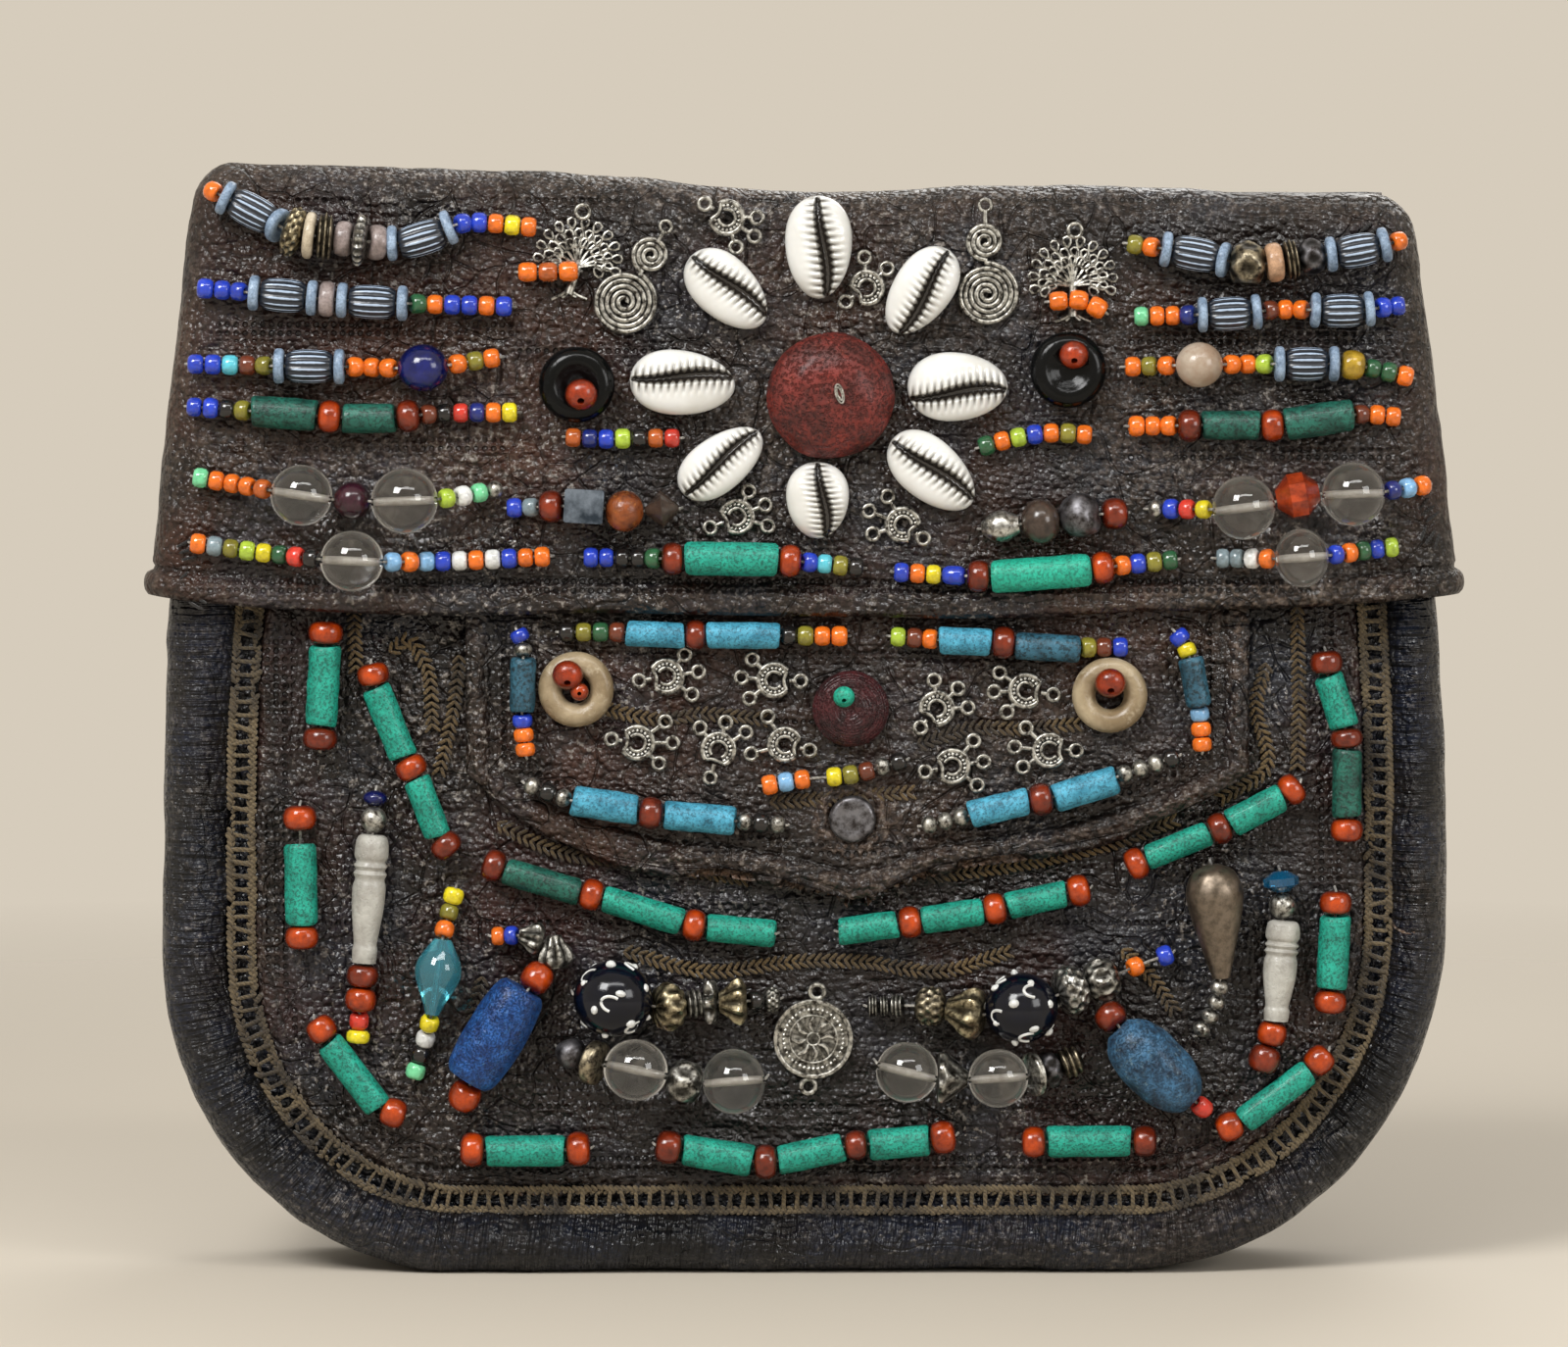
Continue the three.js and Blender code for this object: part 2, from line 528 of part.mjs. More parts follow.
// Block with the flap's outer form, moved inwards; back and low say how far it reaches
function flapBlock(inset, back, low) {
  const roundSteps = 3;
  const rise = BODY_TOP - FLAP_EDGE;
  const between = [0.15, 0.43, 0.68].map((share) => FLAP_EDGE + share * rise);
  const heights = [low, ...between, BODY_TOP, FLAP_CREST + CREST_TILT];
  const rounded = [];
  for (const z of heights) {
    const half = flapSide(z) - inset;
    const front = FLAP_FRONT + inset;
    const radius = FLAP_ROUND - inset;
    const corner = [];
    for (let i = 0; i <= roundSteps; i++) {
      const turn = i / roundSteps * Math.PI / 2;
      corner.push([half - radius + radius * Math.cos(turn), front + radius - radius * Math.sin(turn)]);
    }
    const right = [[half, back], ...corner];
    const outline = [...right, ...right.map(([x, y]) => [-x, y]).reverse()];
    rounded.push(outline.map(([x, y]) => new THREE.Vector3(x, y, z)));
  }
  const crowned = [];
  const reach = BODY_WIDTH / 2 + 2 * FLAP_ROUND;
  const stations = 10;
  for (let i = 0; i <= stations; i++) {
    const x = reach * (2 * i / stations - 1);
    const front = FLAP_FRONT + inset;
    const radius = FLAP_ROUND - inset;
    const crest = flapCrest(x) - inset;
    const profile = [[back, low], [back, HINGE_HEIGHT + LEATHER / 2 - inset]];
    for (let k = 0; k <= roundSteps; k++) {
      const turn = k / roundSteps * Math.PI / 2;
      profile.push([front + radius - radius * Math.sin(turn), crest - radius + radius * Math.cos(turn)]);
    }
    profile.push([front, low]);
    crowned.push(profile.map(([y, z]) => new THREE.Vector3(x, y, z)));
  }
  return toSolid(loft(rounded)).intersect(toSolid(loft(crowned)));
}

// What is cut from the flap's sides, so that only a return along the front and a strip at the top stay
function sideCut() {
  const returnEdge = FLAP_FRONT + RETURN_DEPTH;
  const stripLow = HINGE_HEIGHT - RETURN_DROP;
  const low = FLAP_EDGE - RETURN_DROP;
  const shape = new THREE.Shape();
  shape.moveTo(returnEdge, low);
  shape.lineTo(returnEdge + RETURN_LEAN, stripLow - RETURN_CURVE);
  shape.quadraticCurveTo(returnEdge + 2 * RETURN_LEAN, stripLow, returnEdge + RETURN_CURVE, stripLow);
  shape.lineTo(BODY_DEPTH, stripLow);
  shape.lineTo(BODY_DEPTH, low);
  const width = 2 * BODY_WIDTH;
  const cut = new THREE.ExtrudeGeometry(shape, { depth: width, bevelEnabled: false, curveSegments: 4 });
  cut.rotateX(Math.PI / 2).rotateZ(Math.PI / 2).translate(-width / 2, 0, 0);
  return toSolid(cut);
}

// Round bar across the bag from side to side
function crossBar(radius, half, y, z, sides) {
  return new THREE.CylinderGeometry(radius, radius, 2 * half, sides).rotateZ(Math.PI / 2).translate(0, y, z);
}

const FLAP_SEED_ROWS = [
  [[[-48.4, 171.6], [-41, 171.2], [-35.6, 171.3], [-25, 171.4]], 'seed*7'],
  [[[35.4, 169.4], [42.8, 171.4], [50, 172.4], [58.6, 172]], 'seed*7'],
];

const FLAP_CONNECTORS = [[-15.6, 216], [12.8, 201.8], [-13.6, 155.4], [20.2, 153.8]];

function makeFlap() {
  const outer = flapBlock(0, HINGE_Y, FLAP_EDGE);
  const inner = flapBlock(LEATHER, BODY_DEPTH, FLAP_EDGE - 2 * LEATHER);
  const roll = crossBar(HINGE_RADIUS, flapSide(HINGE_HEIGHT) - LEATHER / 2, HINGE_Y, HINGE_HEIGHT, 12);
  const hemY = FLAP_FRONT + LEATHER / 2 - HEM_FORWARD;
  const hem = crossBar(HEM_RADIUS, flapSide(FLAP_EDGE) - FLAP_ROUND, hemY, FLAP_EDGE + HEM_RADIUS, 8);
  const rows = FLAP_SEED_ROWS.map(([course, text]) =>
    strand(course.map(onFlap), text, FLAP_FRONT, { fixedEnds: true }));
  const connectors = FLAP_CONNECTORS.map((spot) => connectorRing(onFlap(spot), FLAP_FRONT));
  const shell = outer.subtract(inner).subtract(sideCut());
  const whole = [roll, hem, ...rows, ...connectors].map(toSolid).reduce((sum, next) => sum.add(next), shell);
  addPiece('flap', fromSolid(whole), 'leather');
}

// Loop of flat leather on the back; the strap would pass between it and the panel
function makeStrapLoops() {
  const shape = new THREE.Shape();
  const outer = LOOP_GAP + LEATHER;
  const place = bodySide(LOOP_LOW + LOOP_HEIGHT / 2) - LOOP_MARGIN;
  shape.moveTo(0, 0);
  shape.lineTo(0, LOOP_FOOT);
  shape.quadraticCurveTo(LOOP_GAP, LOOP_FOOT, LOOP_GAP, 0.35 * LOOP_HEIGHT);
  shape.lineTo(LOOP_GAP, 0.65 * LOOP_HEIGHT);
  shape.quadraticCurveTo(LOOP_GAP, LOOP_HEIGHT - LOOP_FOOT, 0, LOOP_HEIGHT - LOOP_FOOT);
  shape.lineTo(0, LOOP_HEIGHT);
  shape.lineTo(LEATHER, LOOP_HEIGHT);
  shape.quadraticCurveTo(outer, LOOP_HEIGHT - 1, outer, 0.7 * LOOP_HEIGHT);
  shape.lineTo(outer, 0.3 * LOOP_HEIGHT);
  shape.quadraticCurveTo(outer, 1, LEATHER, 0);
  for (const [name, way] of [['strap_loop_left', -1], ['strap_loop_right', 1]]) {
    const options = { depth: LOOP_WIDTH, bevelEnabled: false, curveSegments: 3 };
    const loop = new THREE.ExtrudeGeometry(shape, options);
    loop.rotateX(Math.PI / 2).rotateZ(Math.PI / 2);
    loop.translate(way * place - LOOP_WIDTH / 2, BODY_DEPTH / 2 + SEAT, LOOP_LOW);
    addPiece(name, loop, 'leather');
  }
}

// Rows of beads strung across the flap, left and right
const FLAP_ROWS_LEFT = [
  [[
    [-121, 222], [-112, 217.5], [-103, 213], [-94, 211.8], [-83, 210.8], [-77, 211.8], [-69, 214.8], [-54, 214],
  ],
    'seed ring barrel/9 ring disc/4/9.6 disc/2.4/9.6 disc/3.6 ring/3.6 '
      + 'disc/2.8/9.6 ring/3.6 ring barrel/9 ring seed*5'],
  [[[-123, 201.8], [-107, 200.4], [-89, 199], [-59, 198]],
    'seed*3 ring barrel/8.4 ring ring/3.2 ring barrel ring seed*6'],
  [[[-125, 186.4], [-107, 186], [-91, 185.8], [-77, 185.6], [-61.5, 187.8]],
    'seed*5 ring barrel ring seed*3 ball/9.6/9.6 seed*3'],
  [[[-125.2, 177.8], [-105, 176.4], [-88, 175.4], [-73, 176.4], [-58, 176.6]],
    'seed*4 tube/13.2 bead tube/10.8/6 bead seed*6'],
  [[[-124, 163.6], [-110, 161.2], [-92, 158.8], [-73, 159.2], [-61, 161.2]],
    'seed*5 ball ball/7.6/7.6 ball/13.4/13.4 seed*4'],
  [[[-124.6, 150.2], [-107, 147.8], [-92.2, 146.6], [-74, 146.4], [-51.4, 147.4]], 'seed*8 ball seed*10'],
];

const FLAP_ROWS_RIGHT = [
  [[[65.4, 210.8], [79.4, 208.6], [90.6, 206.6], [102, 208], [112, 209.3], [122, 211.6]],
    'seed*2 ring barrel ring disc/6.8/8.4 ring/3.6/8 ring/3/7.6 bead/5/7 ring barrel/8 ring seed'],
  [[[66.8, 196], [87, 196.6], [97, 197.4], [110, 197.2], [122, 198.3]],
    'seed*4 ring barrel/8.6 ring seed*3 ring barrel/8.6 ring seed*2'],
  [[[65, 185.8], [79.4, 186.2], [102, 186.4], [111, 186.2], [123.6, 183.6]],
    'seed*3 ball/9.2/9.2 seed*3 ring barrel/8 ring bead/4.8/6 seed*3'],
  [[[65.8, 173.8], [87, 174], [96, 174], [113, 176.2], [121.2, 175.6]],
    'seed*3 bead tube/11.6/5.8 bead tube/13.6/6.6 seed*3'],
  [[[69.8, 157], [89.6, 157.4], [101.8, 160], [113.6, 160.2], [127, 162]],
    'seed*4 ball/13/13 ball/9.6/9.6 ball/13/13 seed*3'],
  [[[83.6, 147], [100.4, 147.2], [120.8, 149.4]], 'seed*4 ball/12/12 seed*5'],
];

const FLAP_ROWS_MIDDLE = [
  ['big_bead_row_left', [[-60.4, 157.2], [-44, 157.6], [-36, 156.6], [-25.2, 157.2]],
    'seed*2 bead tube/8/8.4 bead/7.6/8.4 bead/6.8/8'],
  ['big_bead_row_right', [[36, 153], [48.6, 154.6], [57.4, 155.8], [65.6, 156.2]],
    'bead/8/6.4 ball/8/9.2 ball/8.4/8.8 bead/5.2/6.4'],
  ['tube_row_left', [[-44.8, 147.2], [-30, 147], [-4, 146.6], [12.2, 145]],
    'seed*5 bead tube/19.2/6.8 bead seed*4'],
  ['tube_row_right', [[18.2, 144.2], [36, 143.4], [48.2, 144], [61, 145.2], [76, 146.8]],
    'seed*3 seed/5 bead tube/20/6.8 bead seed*4'],
];

function makeFlapRows() {
  const rows = [...FLAP_ROWS_MIDDLE];
  for (const [side, list] of [['left', FLAP_ROWS_LEFT], ['right', FLAP_ROWS_RIGHT]]) {
    list.forEach(([course, text], i) => rows.push([`flap_row_${side}_${i + 1}`, course, text]));
  }
  for (const [name, course, text] of rows) {
    addPiece(name, strand(course.map(onFlap), text, FLAP_FRONT), 'glass');
  }
}

// Rows across the middle of the pocket, and strands that hang from its upper edge
const POCKET_ROWS = [
  ['centre_row_1', 'silver', [[-47, 58], [-39.2, 57.2], [-29, 55.4], [-19.4, 56], [-4.8, 56.6]],
    'ball/15.6/15.6 disc/6/9.2 ring/4/5.6 disc/2.8/8 disc/5.6/9.2 seed seed/3.2/5'],
  ['centre_row_2', 'quartz', [[-50.4, 46.6], [-42, 43.6], [-33.2, 42.2], [-23.8, 39.8], [-7.8, 40.6]],
    'bead/6/6.4 disc ball/12.6/12.6 bead/6.8/8.6 ball/12.2/13.4'],
  ['centre_row_3', 'silver',
    [[13, 55], [27, 55.2], [36, 53.8], [45.4, 55.4], [54, 58.6], [60, 60.4], [75.6, 66]],
    'ring/2.2/4.4 ring/2.2/4 ring/3/4.4 thread/2 disc/6/7.6 disc/7.6/10 ball/14.4/14.4 '
      + 'disc/6/9.6 bead/6.8/8.4 thread/2 seed thread seed'],
  ['centre_row_4', 'quartz', [[15, 43.8], [24.4, 41.2], [40.8, 40.7], [50.4, 42.2], [57, 44.6]],
    'ball/12.4/12.4 disc/6/10.6 ball/12/12 disc/2/9 bead/4.4/7.2 bead/4.8/6'],
  ['drop_1', 'shell', [[-87.5, 99.4], [-89, 77], [-91.4, 47.4]],
    'seed/3.2/5 bead/5.4/5.4 spindle/26.2/7 bead bead/5/6.4 seed/3.6 seed/2.8/4.8'],
  ['drop_2', 'glass', [[-71.2, 79.4], [-73.6, 70], [-76, 54], [-80, 40]], 'seed*3 drop seed*4'],
  ['drop_3', 'stone', [[-64, 69.4], [-56, 69.4], [-50.8, 66.8], [-54, 61.8], [-63, 49.6], [-70.6, 34.2]],
    'seed/2.8 seed/2.8 bead/5.2/6 bead/6.8/6.8 bead/6/6.4 oval/22/12.4 bead/6/6.6'],
  ['drop_4', 'silver', [[83.2, 84.6], [84.4, 72], [85, 60], [83.8, 54], [80.6, 49]], 'teardrop seed*4'],
  ['drop_5', 'shell', [[97.4, 83], [98, 75.4], [97.4, 62], [96, 50], [93.4, 41.6]],
    'seed/4.4/7.2 bead/5.4/5.6 spindle bead/5/6 bead/5.6/6.4'],
  ['drop_6', 'stone', [[61, 55.2], [72.2, 42.8], [83, 33.4]], 'bead/5/6.4 oval seed/4'],
];

function makePocketRows() {
  for (const [name, finish, course, text] of POCKET_ROWS) {
    addPiece(name, strand(course.map(onBody), text, POCKET_FRONT), finish);
  }
}

// Cowrie shell lying on its back: two rounded lips whose teeth meet over a narrow mouth
function cowrie(length, width, [x, z], degrees, face) {
  const height = width * SHELL_HEIGHT_SHARE;
  const stations = 10;
  const rings = [];
  for (let i = 0; i <= stations; i++) {
    const t = 2 * i / stations - 1;
    const bulge = Math.sqrt(Math.max(0.03, 1 - Math.abs(t) ** 2.4)) * (1 - 0.1 * t);
    const half = width / 2 * bulge;
    const rise = height * (0.35 + 0.65 * bulge);
    const tooth = i % 2 ? 0.16 : 0.05;
    rings.push([
      [-0.6 * half, 0], [-half, 0.38 * rise], [-0.66 * half, 0.86 * rise], [-tooth * half, rise],
      [0, (1 - 0.45 * bulge) * rise], [tooth * half, rise], [0.66 * half, 0.86 * rise], [half, 0.38 * rise],
      [0.6 * half, 0],
    ].map(([across, up]) => new THREE.Vector3(t * length / 2, -up, across)));
  }
  const turn = -degrees * Math.PI / 180;
  return loft(rings).rotateY(turn).translate(x, face - SEAT, z);
}

const COWRIES = [
  ['cowrie_top', 20.8, 13.6, [3, 210], 90],
  ['cowrie_upper_left', 20, 12.4, [-15.6, 201.4], -43],
  ['cowrie_left', 21.4, 13.2, [-24.6, 182.6], 0],
  ['cowrie_lower_left', 20, 11.2, [-16.8, 166.4], 37],
  ['cowrie_bottom', 15.6, 12.8, [2.8, 158.8], 90],
  ['cowrie_upper_right', 20, 12, [23.8, 201.2], 55],
  ['cowrie_right', 20.4, 14, [31.2, 181.8], 0],
  ['cowrie_lower_right', 20.8, 12.4, [26, 164.6], -40],
];

function makeShellRing() {
  for (const [name, length, width, spot, degrees] of COWRIES) {
    addPiece(name, cowrie(length, width, onFlap(spot), degrees, FLAP_FRONT), 'shell');
  }
  const dome = DOME_DIAMETER / 2;
  addPiece('dome_button', turned([
    [0, 0], [0.9 * dome, 0], [dome, 0.22 * DOME_HEIGHT], [0.92 * dome, 0.55 * DOME_HEIGHT],
    [0.65 * dome, 0.86 * DOME_HEIGHT], [0.3 * dome, DOME_HEIGHT], [0, DOME_HEIGHT],
  ], onFlap([5.6, 180]), FLAP_FRONT, 16), 'stone');
}

// Round button with a hollow in the middle, and the bead that holds it
function discButton([x, z], beadOffset, beadRadius) {
  const disc = DISC_DIAMETER / 2;
  const body = turned([
    [0, 0], [0.8 * disc, 0], [disc, 0.4 * DISC_HEIGHT], [0.86 * disc, 0.9 * DISC_HEIGHT],
    [0.5 * disc, DISC_HEIGHT], [0.3 * disc, 0.75 * DISC_HEIGHT], [0, 0.75 * DISC_HEIGHT],
  ], [x, z], FLAP_FRONT, 12);
  const bead = [x + beadOffset[0], z + beadOffset[1]];
  return join([body, ballAt(bead, beadRadius, FLAP_FRONT - SEAT - DISC_HEIGHT)]);
}

// Turned horn ring, held by a bead that is larger than its hole
function hornRing([x, z], beadOffset, beadRadius) {
  const outer = HORN_DIAMETER / 2;
  const hole = HORN_HOLE / 2;
  const ring = turned([
    [hole, 0.3 * HORN_HEIGHT], [0.5 * (hole + outer), 0],
    [0.93 * outer, 0.15 * HORN_HEIGHT], [outer, 0.5 * HORN_HEIGHT],
    [0.88 * outer, 0.9 * HORN_HEIGHT], [0.7 * outer, HORN_HEIGHT],
    [1.15 * hole, 0.8 * HORN_HEIGHT], [hole, 0.3 * HORN_HEIGHT],
  ], [x, z], UNDER_FLAP_FRONT, 12);
  const bead = [x + beadOffset[0], z + beadOffset[1]];
  return join([ring, ballAt(bead, beadRadius, UNDER_FLAP_FRONT - SEAT - HORN_HEIGHT)]);
}

function makeButtons() {
  addPiece('black_disc_left', discButton(onFlap([-46, 182.2]), [1, -2], 3.4), 'black');
  addPiece('black_disc_right', discButton(onFlap([53.6, 185.2]), [1, 3], 3.1), 'black');
  addPiece('horn_ring_left', hornRing(onBody([-46.4, 120.2]), [-1.6, 3], 3.2), 'horn');
  addPiece('horn_ring_right', hornRing(onBody([62.4, 119]), [0, 2.6], 3.2), 'horn');
  const rim = MAROON_DIAMETER / 2;
  const [x, z] = onBody([9.6, 116.2]);
  const button = turned([
    [0, 0], [0.85 * rim, 0], [rim, 0.3 * MAROON_HEIGHT], [0.85 * rim, 0.7 * MAROON_HEIGHT],
    [0.45 * rim, MAROON_HEIGHT], [0, 0.9 * MAROON_HEIGHT],
  ], [x, z], UNDER_FLAP_FRONT, 12);
  const bead = ballAt([x - 1.4, z + 2.6], 2.2, UNDER_FLAP_FRONT - SEAT - MAROON_HEIGHT);
  addPiece('maroon_button', join([button, bead]), 'stone');
}

// Square-section wire along points that lie flat on a face
function wire(points, face) {
  const curve = flatCurve(points);
  const half = SPIRAL_WIRE / 2;
  const section = [[-half, 0], [0, 2 * half], [half, 0]];
  const steps = points.length - 1;
  const stations = [];
  for (let i = 0; i <= steps; i++) {
    stations.push(sectionAt(curve, i / steps, section, face - SEAT));
  }
  return loft(stations);
}

// Flat spiral that ends at its rim, pointing towards endTurn
function spiralPoints([x, z], radius, endTurn) {
  const turns = (radius - SPIRAL_WIRE) / SPIRAL_PITCH;
  const steps = Math.ceil(8 * turns);
  const points = [];
  for (let i = 0; i <= steps; i++) {
    const reach = 0.6 + (radius - SPIRAL_WIRE / 2 - 0.6) * i / steps;
    const turn = endTurn - (1 - i / steps) * turns * 2 * Math.PI;
    points.push([x + reach * Math.cos(turn), z + reach * Math.sin(turn)]);
  }
  return points;
}

// Two wire spirals, the large one under the small one, and a hook at the top.
// All are placed from the large one
function spiralCharm([x, z], largeRadius, smallOffset, smallRadius, hookOffset) {
  const small = [x + smallOffset[0], z + smallOffset[1]];
  const hook = [x + hookOffset[0], z + hookOffset[1]];
  const towards = Math.atan2(smallOffset[1], smallOffset[0]);
  const lower = spiralPoints([x, z], largeRadius, towards);
  const upper = spiralPoints(small, smallRadius, towards + Math.PI);
  const overlap = 1.5 * SPIRAL_WIRE;
  const bridge = [
    [lower.at(-1)[0] - overlap * Math.cos(towards), lower.at(-1)[1] - overlap * Math.sin(towards)],
    [upper.at(-1)[0] + overlap * Math.cos(towards), upper.at(-1)[1] + overlap * Math.sin(towards)],
  ];
  const rise = Math.atan2(hook[1] - small[1], hook[0] - small[0]);
  const rootReach = smallRadius - overlap;
  const root = [small[0] + rootReach * Math.cos(rise), small[1] + rootReach * Math.sin(rise)];
  return join([upper, lower, bridge, [root, hook]].map((points) => wire(points, FLAP_FRONT)));
}

// Flat tree: a fan of leaves on a trunk with its roots, a hanging ring, and three beads across the trunk. The
// ring, the foot and the beads are placed from the middle of the crown.
function treeCharm([x, z], ringOffset, footOffset, beadOffsets) {
  const crown = [];
  for (let i = 0; i <= 2 * CROWN_LEAVES; i++) {
    const turn = (-0.06 + 1.12 * i / (2 * CROWN_LEAVES)) * Math.PI;
    const reach = i % 2 ? 0.76 * CROWN_RADIUS : CROWN_RADIUS;
    crown.push([x + reach * Math.cos(turn), z + reach * Math.sin(turn)]);
  }
  const [footX, footZ] = [x + footOffset[0], z + footOffset[1]];
  const outline = [
    ...crown, [x - TRUNK_WIDTH / 2, z - 0.6], [footX - 0.45 * TRUNK_WIDTH, footZ + 1],
    [footX - FOOT_WIDTH / 2, footZ - 0.6], [footX, footZ - 0.2], [footX + FOOT_WIDTH / 2, footZ - 0.6],
    [footX + 0.45 * TRUNK_WIDTH, footZ + 1], [x + TRUNK_WIDTH / 2, z - 0.6],
  ];
  const tree = plate(shapeOf(outline), FLAP_FRONT - SEAT - CHARM_THICKNESS, CHARM_THICKNESS);
  const ring = new THREE.TorusGeometry(TREE_RING_RADIUS, 0.5, 4, 8).rotateX(Math.PI / 2);
  ring.translate(x + ringOffset[0], FLAP_FRONT - SEAT - CHARM_THICKNESS / 2, z + ringOffset[1]);
  const beads = beadOffsets.map(([across, up]) => [x + across, z + up]);
  return join([tree, ring, strand(beads, 'seed*3', FLAP_FRONT)]);
}

function makeCharms() {
  const leftSpiral = spiralCharm(onFlap([-36.4, 199]), 6.8, [5.4, 9.4], 4, [8, 14.4]);
  const rightSpiral = spiralCharm(onFlap([37.2, 200.6]), 6.6, [-0.4, 10.6], 4, [-0.4, 17]);
  const leftBeads = [[-12.2, -2.4], [-6.4, -2.4], [0.2, -2.2]];
  const leftTree = treeCharm(onFlap([-45.8, 207.4]), [1, 9.8], [-1.8, -6.8], leftBeads);
  const rightBeads = [[-5, -4.6], [1.8, -4.4], [6.6, -6.8]];
  const rightTree = treeCharm(onFlap([54.6, 203.6]), [0.4, 9.8], [0, -7.6], rightBeads);
  addPiece('spiral_charm_left', leftSpiral, 'silver');
  addPiece('spiral_charm_right', rightSpiral, 'silver');
  addPiece('tree_charm_left', leftTree, 'silver');
  addPiece('tree_charm_right', rightTree, 'silver');
  const [x, z] = onBody([2, 48.2]);
  const radius = COIN_DIAMETER / 2;
  const thick = CHARM_THICKNESS;
  const coin = turned([
    [0, 0], [radius, 0], [radius, thick + 0.3], [radius - COIN_RIM, thick + 0.3],
    [radius - COIN_RIM, thick], [0, thick],
  ], [x, z], POCKET_FRONT, 20);
  const loops = [[0.8, 1], [-1, -1]].map(([side, way]) => {
    const wireRadius = COIN_LOOP_DIAMETER / 4;
    const loop = new THREE.TorusGeometry(COIN_LOOP_DIAMETER / 2 - 0.6, 0.6, 4, 8).rotateX(Math.PI / 2);
    return loop.translate(x + side, POCKET_FRONT - SEAT - 0.7, z + way * (radius + wireRadius + 0.4));
  });
  addPiece('coin_connector', join([coin, ...loops]), 'silver');
}

makeBody();
makeBorderRoll();
makeEdgeBraid();
makePocket();
makeUnderFlap();
makePressStud();
makeStrapLoops();
makeFlap();
makeFlapRows();
makePocketRows();
makeShellRing();
makeButtons();
makeCharms();

// The origin goes to the middle of the footprint
const middle = new THREE.Box3().setFromObject(bag).getCenter(new THREE.Vector3());
bag.position.set(-middle.x, -middle.y, 0);

export default bag;
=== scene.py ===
# A small leather shoulder bag with strung beads, shells and charms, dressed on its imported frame.
# Sizes are in millimetres as on the bag's own drawing; finished pieces are in metres in the frame.

import math

import bmesh
import bpy
import numpy as np
from mathutils import Matrix, Vector


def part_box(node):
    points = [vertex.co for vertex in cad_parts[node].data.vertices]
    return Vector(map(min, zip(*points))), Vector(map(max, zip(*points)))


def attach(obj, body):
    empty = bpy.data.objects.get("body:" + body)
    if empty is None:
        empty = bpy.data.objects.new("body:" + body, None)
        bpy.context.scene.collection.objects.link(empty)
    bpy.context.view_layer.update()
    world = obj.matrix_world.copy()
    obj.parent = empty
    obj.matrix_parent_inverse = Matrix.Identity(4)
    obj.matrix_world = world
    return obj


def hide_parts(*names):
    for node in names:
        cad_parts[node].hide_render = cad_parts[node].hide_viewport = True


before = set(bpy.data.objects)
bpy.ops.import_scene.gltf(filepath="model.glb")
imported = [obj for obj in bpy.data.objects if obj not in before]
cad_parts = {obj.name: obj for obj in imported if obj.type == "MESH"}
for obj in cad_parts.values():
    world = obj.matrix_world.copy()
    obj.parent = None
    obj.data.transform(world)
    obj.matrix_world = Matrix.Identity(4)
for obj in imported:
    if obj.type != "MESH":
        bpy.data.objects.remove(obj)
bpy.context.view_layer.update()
scene = bpy.context.scene

# Sizes of the leather work
BODY_WIDTH = 263.0
BODY_DEPTH = 44.0
BODY_TOP = 216.0
BODY_MIDDLE = 108
LEATHER = 2.4
PANEL_SHIFT = 1.4
POCKET_TOP = 152.0
POCKET_INSET = 17.6
BRAID_INSET = 14.8
WALL_FRONT = -22.0
POCKET_FRONT = -24.4
UNDER_FLAP_FRONT = -27.7
FLAP_FRONT = -32.0
FLAP_LOW = 135.6
FLAP_ROUND = 8.0
HINGE_HEIGHT = 221.0
HINGE_Y = 20.2
# How far the flap's sides reach back, and the height of the curve that ends them
RETURN = 14.0
RETURN_CURVE = 26.0
SEAT = 0.3
THREAD_SLOPE = 0.5
# The body's sides lean in above this height, by this much at the top
SIDE_FOOT = 95.0
SIDE_LEAN = 10.0
# Reach across and up of the rounded lower corners
LEFT_CORNER = (60.0, 66.0)
RIGHT_CORNER = (66.0, 72.0)
# The under flap: its middle, half its width, its seam, where its sides end, and its point
UNDER_FLAP_MIDDLE = 11.0
UNDER_FLAP_HALF = 80.0
UNDER_FLAP_TOP = 168.0
UNDER_FLAP_SIDE = 103.0
UNDER_FLAP_POINT = 79.0
SNAP_PLACE = (10.0, 93.6)

# The frame lies a little further back than the drawing, whose middle is the middle of the body
SHIFT_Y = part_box("back_panel")[1][1] * 1000 - BODY_DEPTH / 2


# ---------------------------------------------------------------- materials


def linear(code):
    """A colour written as a screen shows it, made linear."""
    parts = [int(code[i:i + 2], 16) / 255 for i in (1, 3, 5)]
    return [p / 12.92 if p <= 0.04045 else ((p + 0.055) / 1.055) ** 2.4 for p in parts] + [1.0]


def plain(value):
    """A value for a node's input, with a written colour made linear."""
    return linear(value) if isinstance(value, str) and value.startswith("#") else value


def add(tree, kind, inputs, out=0, **settings):
    """Adds one node, a shader node where kind names no other sort. inputs says what goes to each
    input, by name or number: a link, a value or a colour."""
    made = tree.nodes.new(kind if "Node" in kind else "ShaderNode" + kind)
    for key, value in settings.items():
        setattr(made, key, value)
    for label, value in inputs.items():
        if isinstance(value, bpy.types.NodeSocket):
            tree.links.new(value, made.inputs[label])
        else:
            made.inputs[label].default_value = plain(value)
    return made.outputs[out]


def surface(name, roughness, **constants):
    """A new material with its tree, its shader and its object coordinates."""
    material = bpy.data.materials.new(name)
    material.use_nodes = True
    tree = material.node_tree
    shader = tree.nodes["Principled BSDF"]
    shader.inputs["Roughness"].default_value = roughness
    for label, value in constants.items():
        shader.inputs[label.replace("_", " ")].default_value = plain(value)
    return material, tree, shader, add(tree, "TexCoord", {}, "Object")


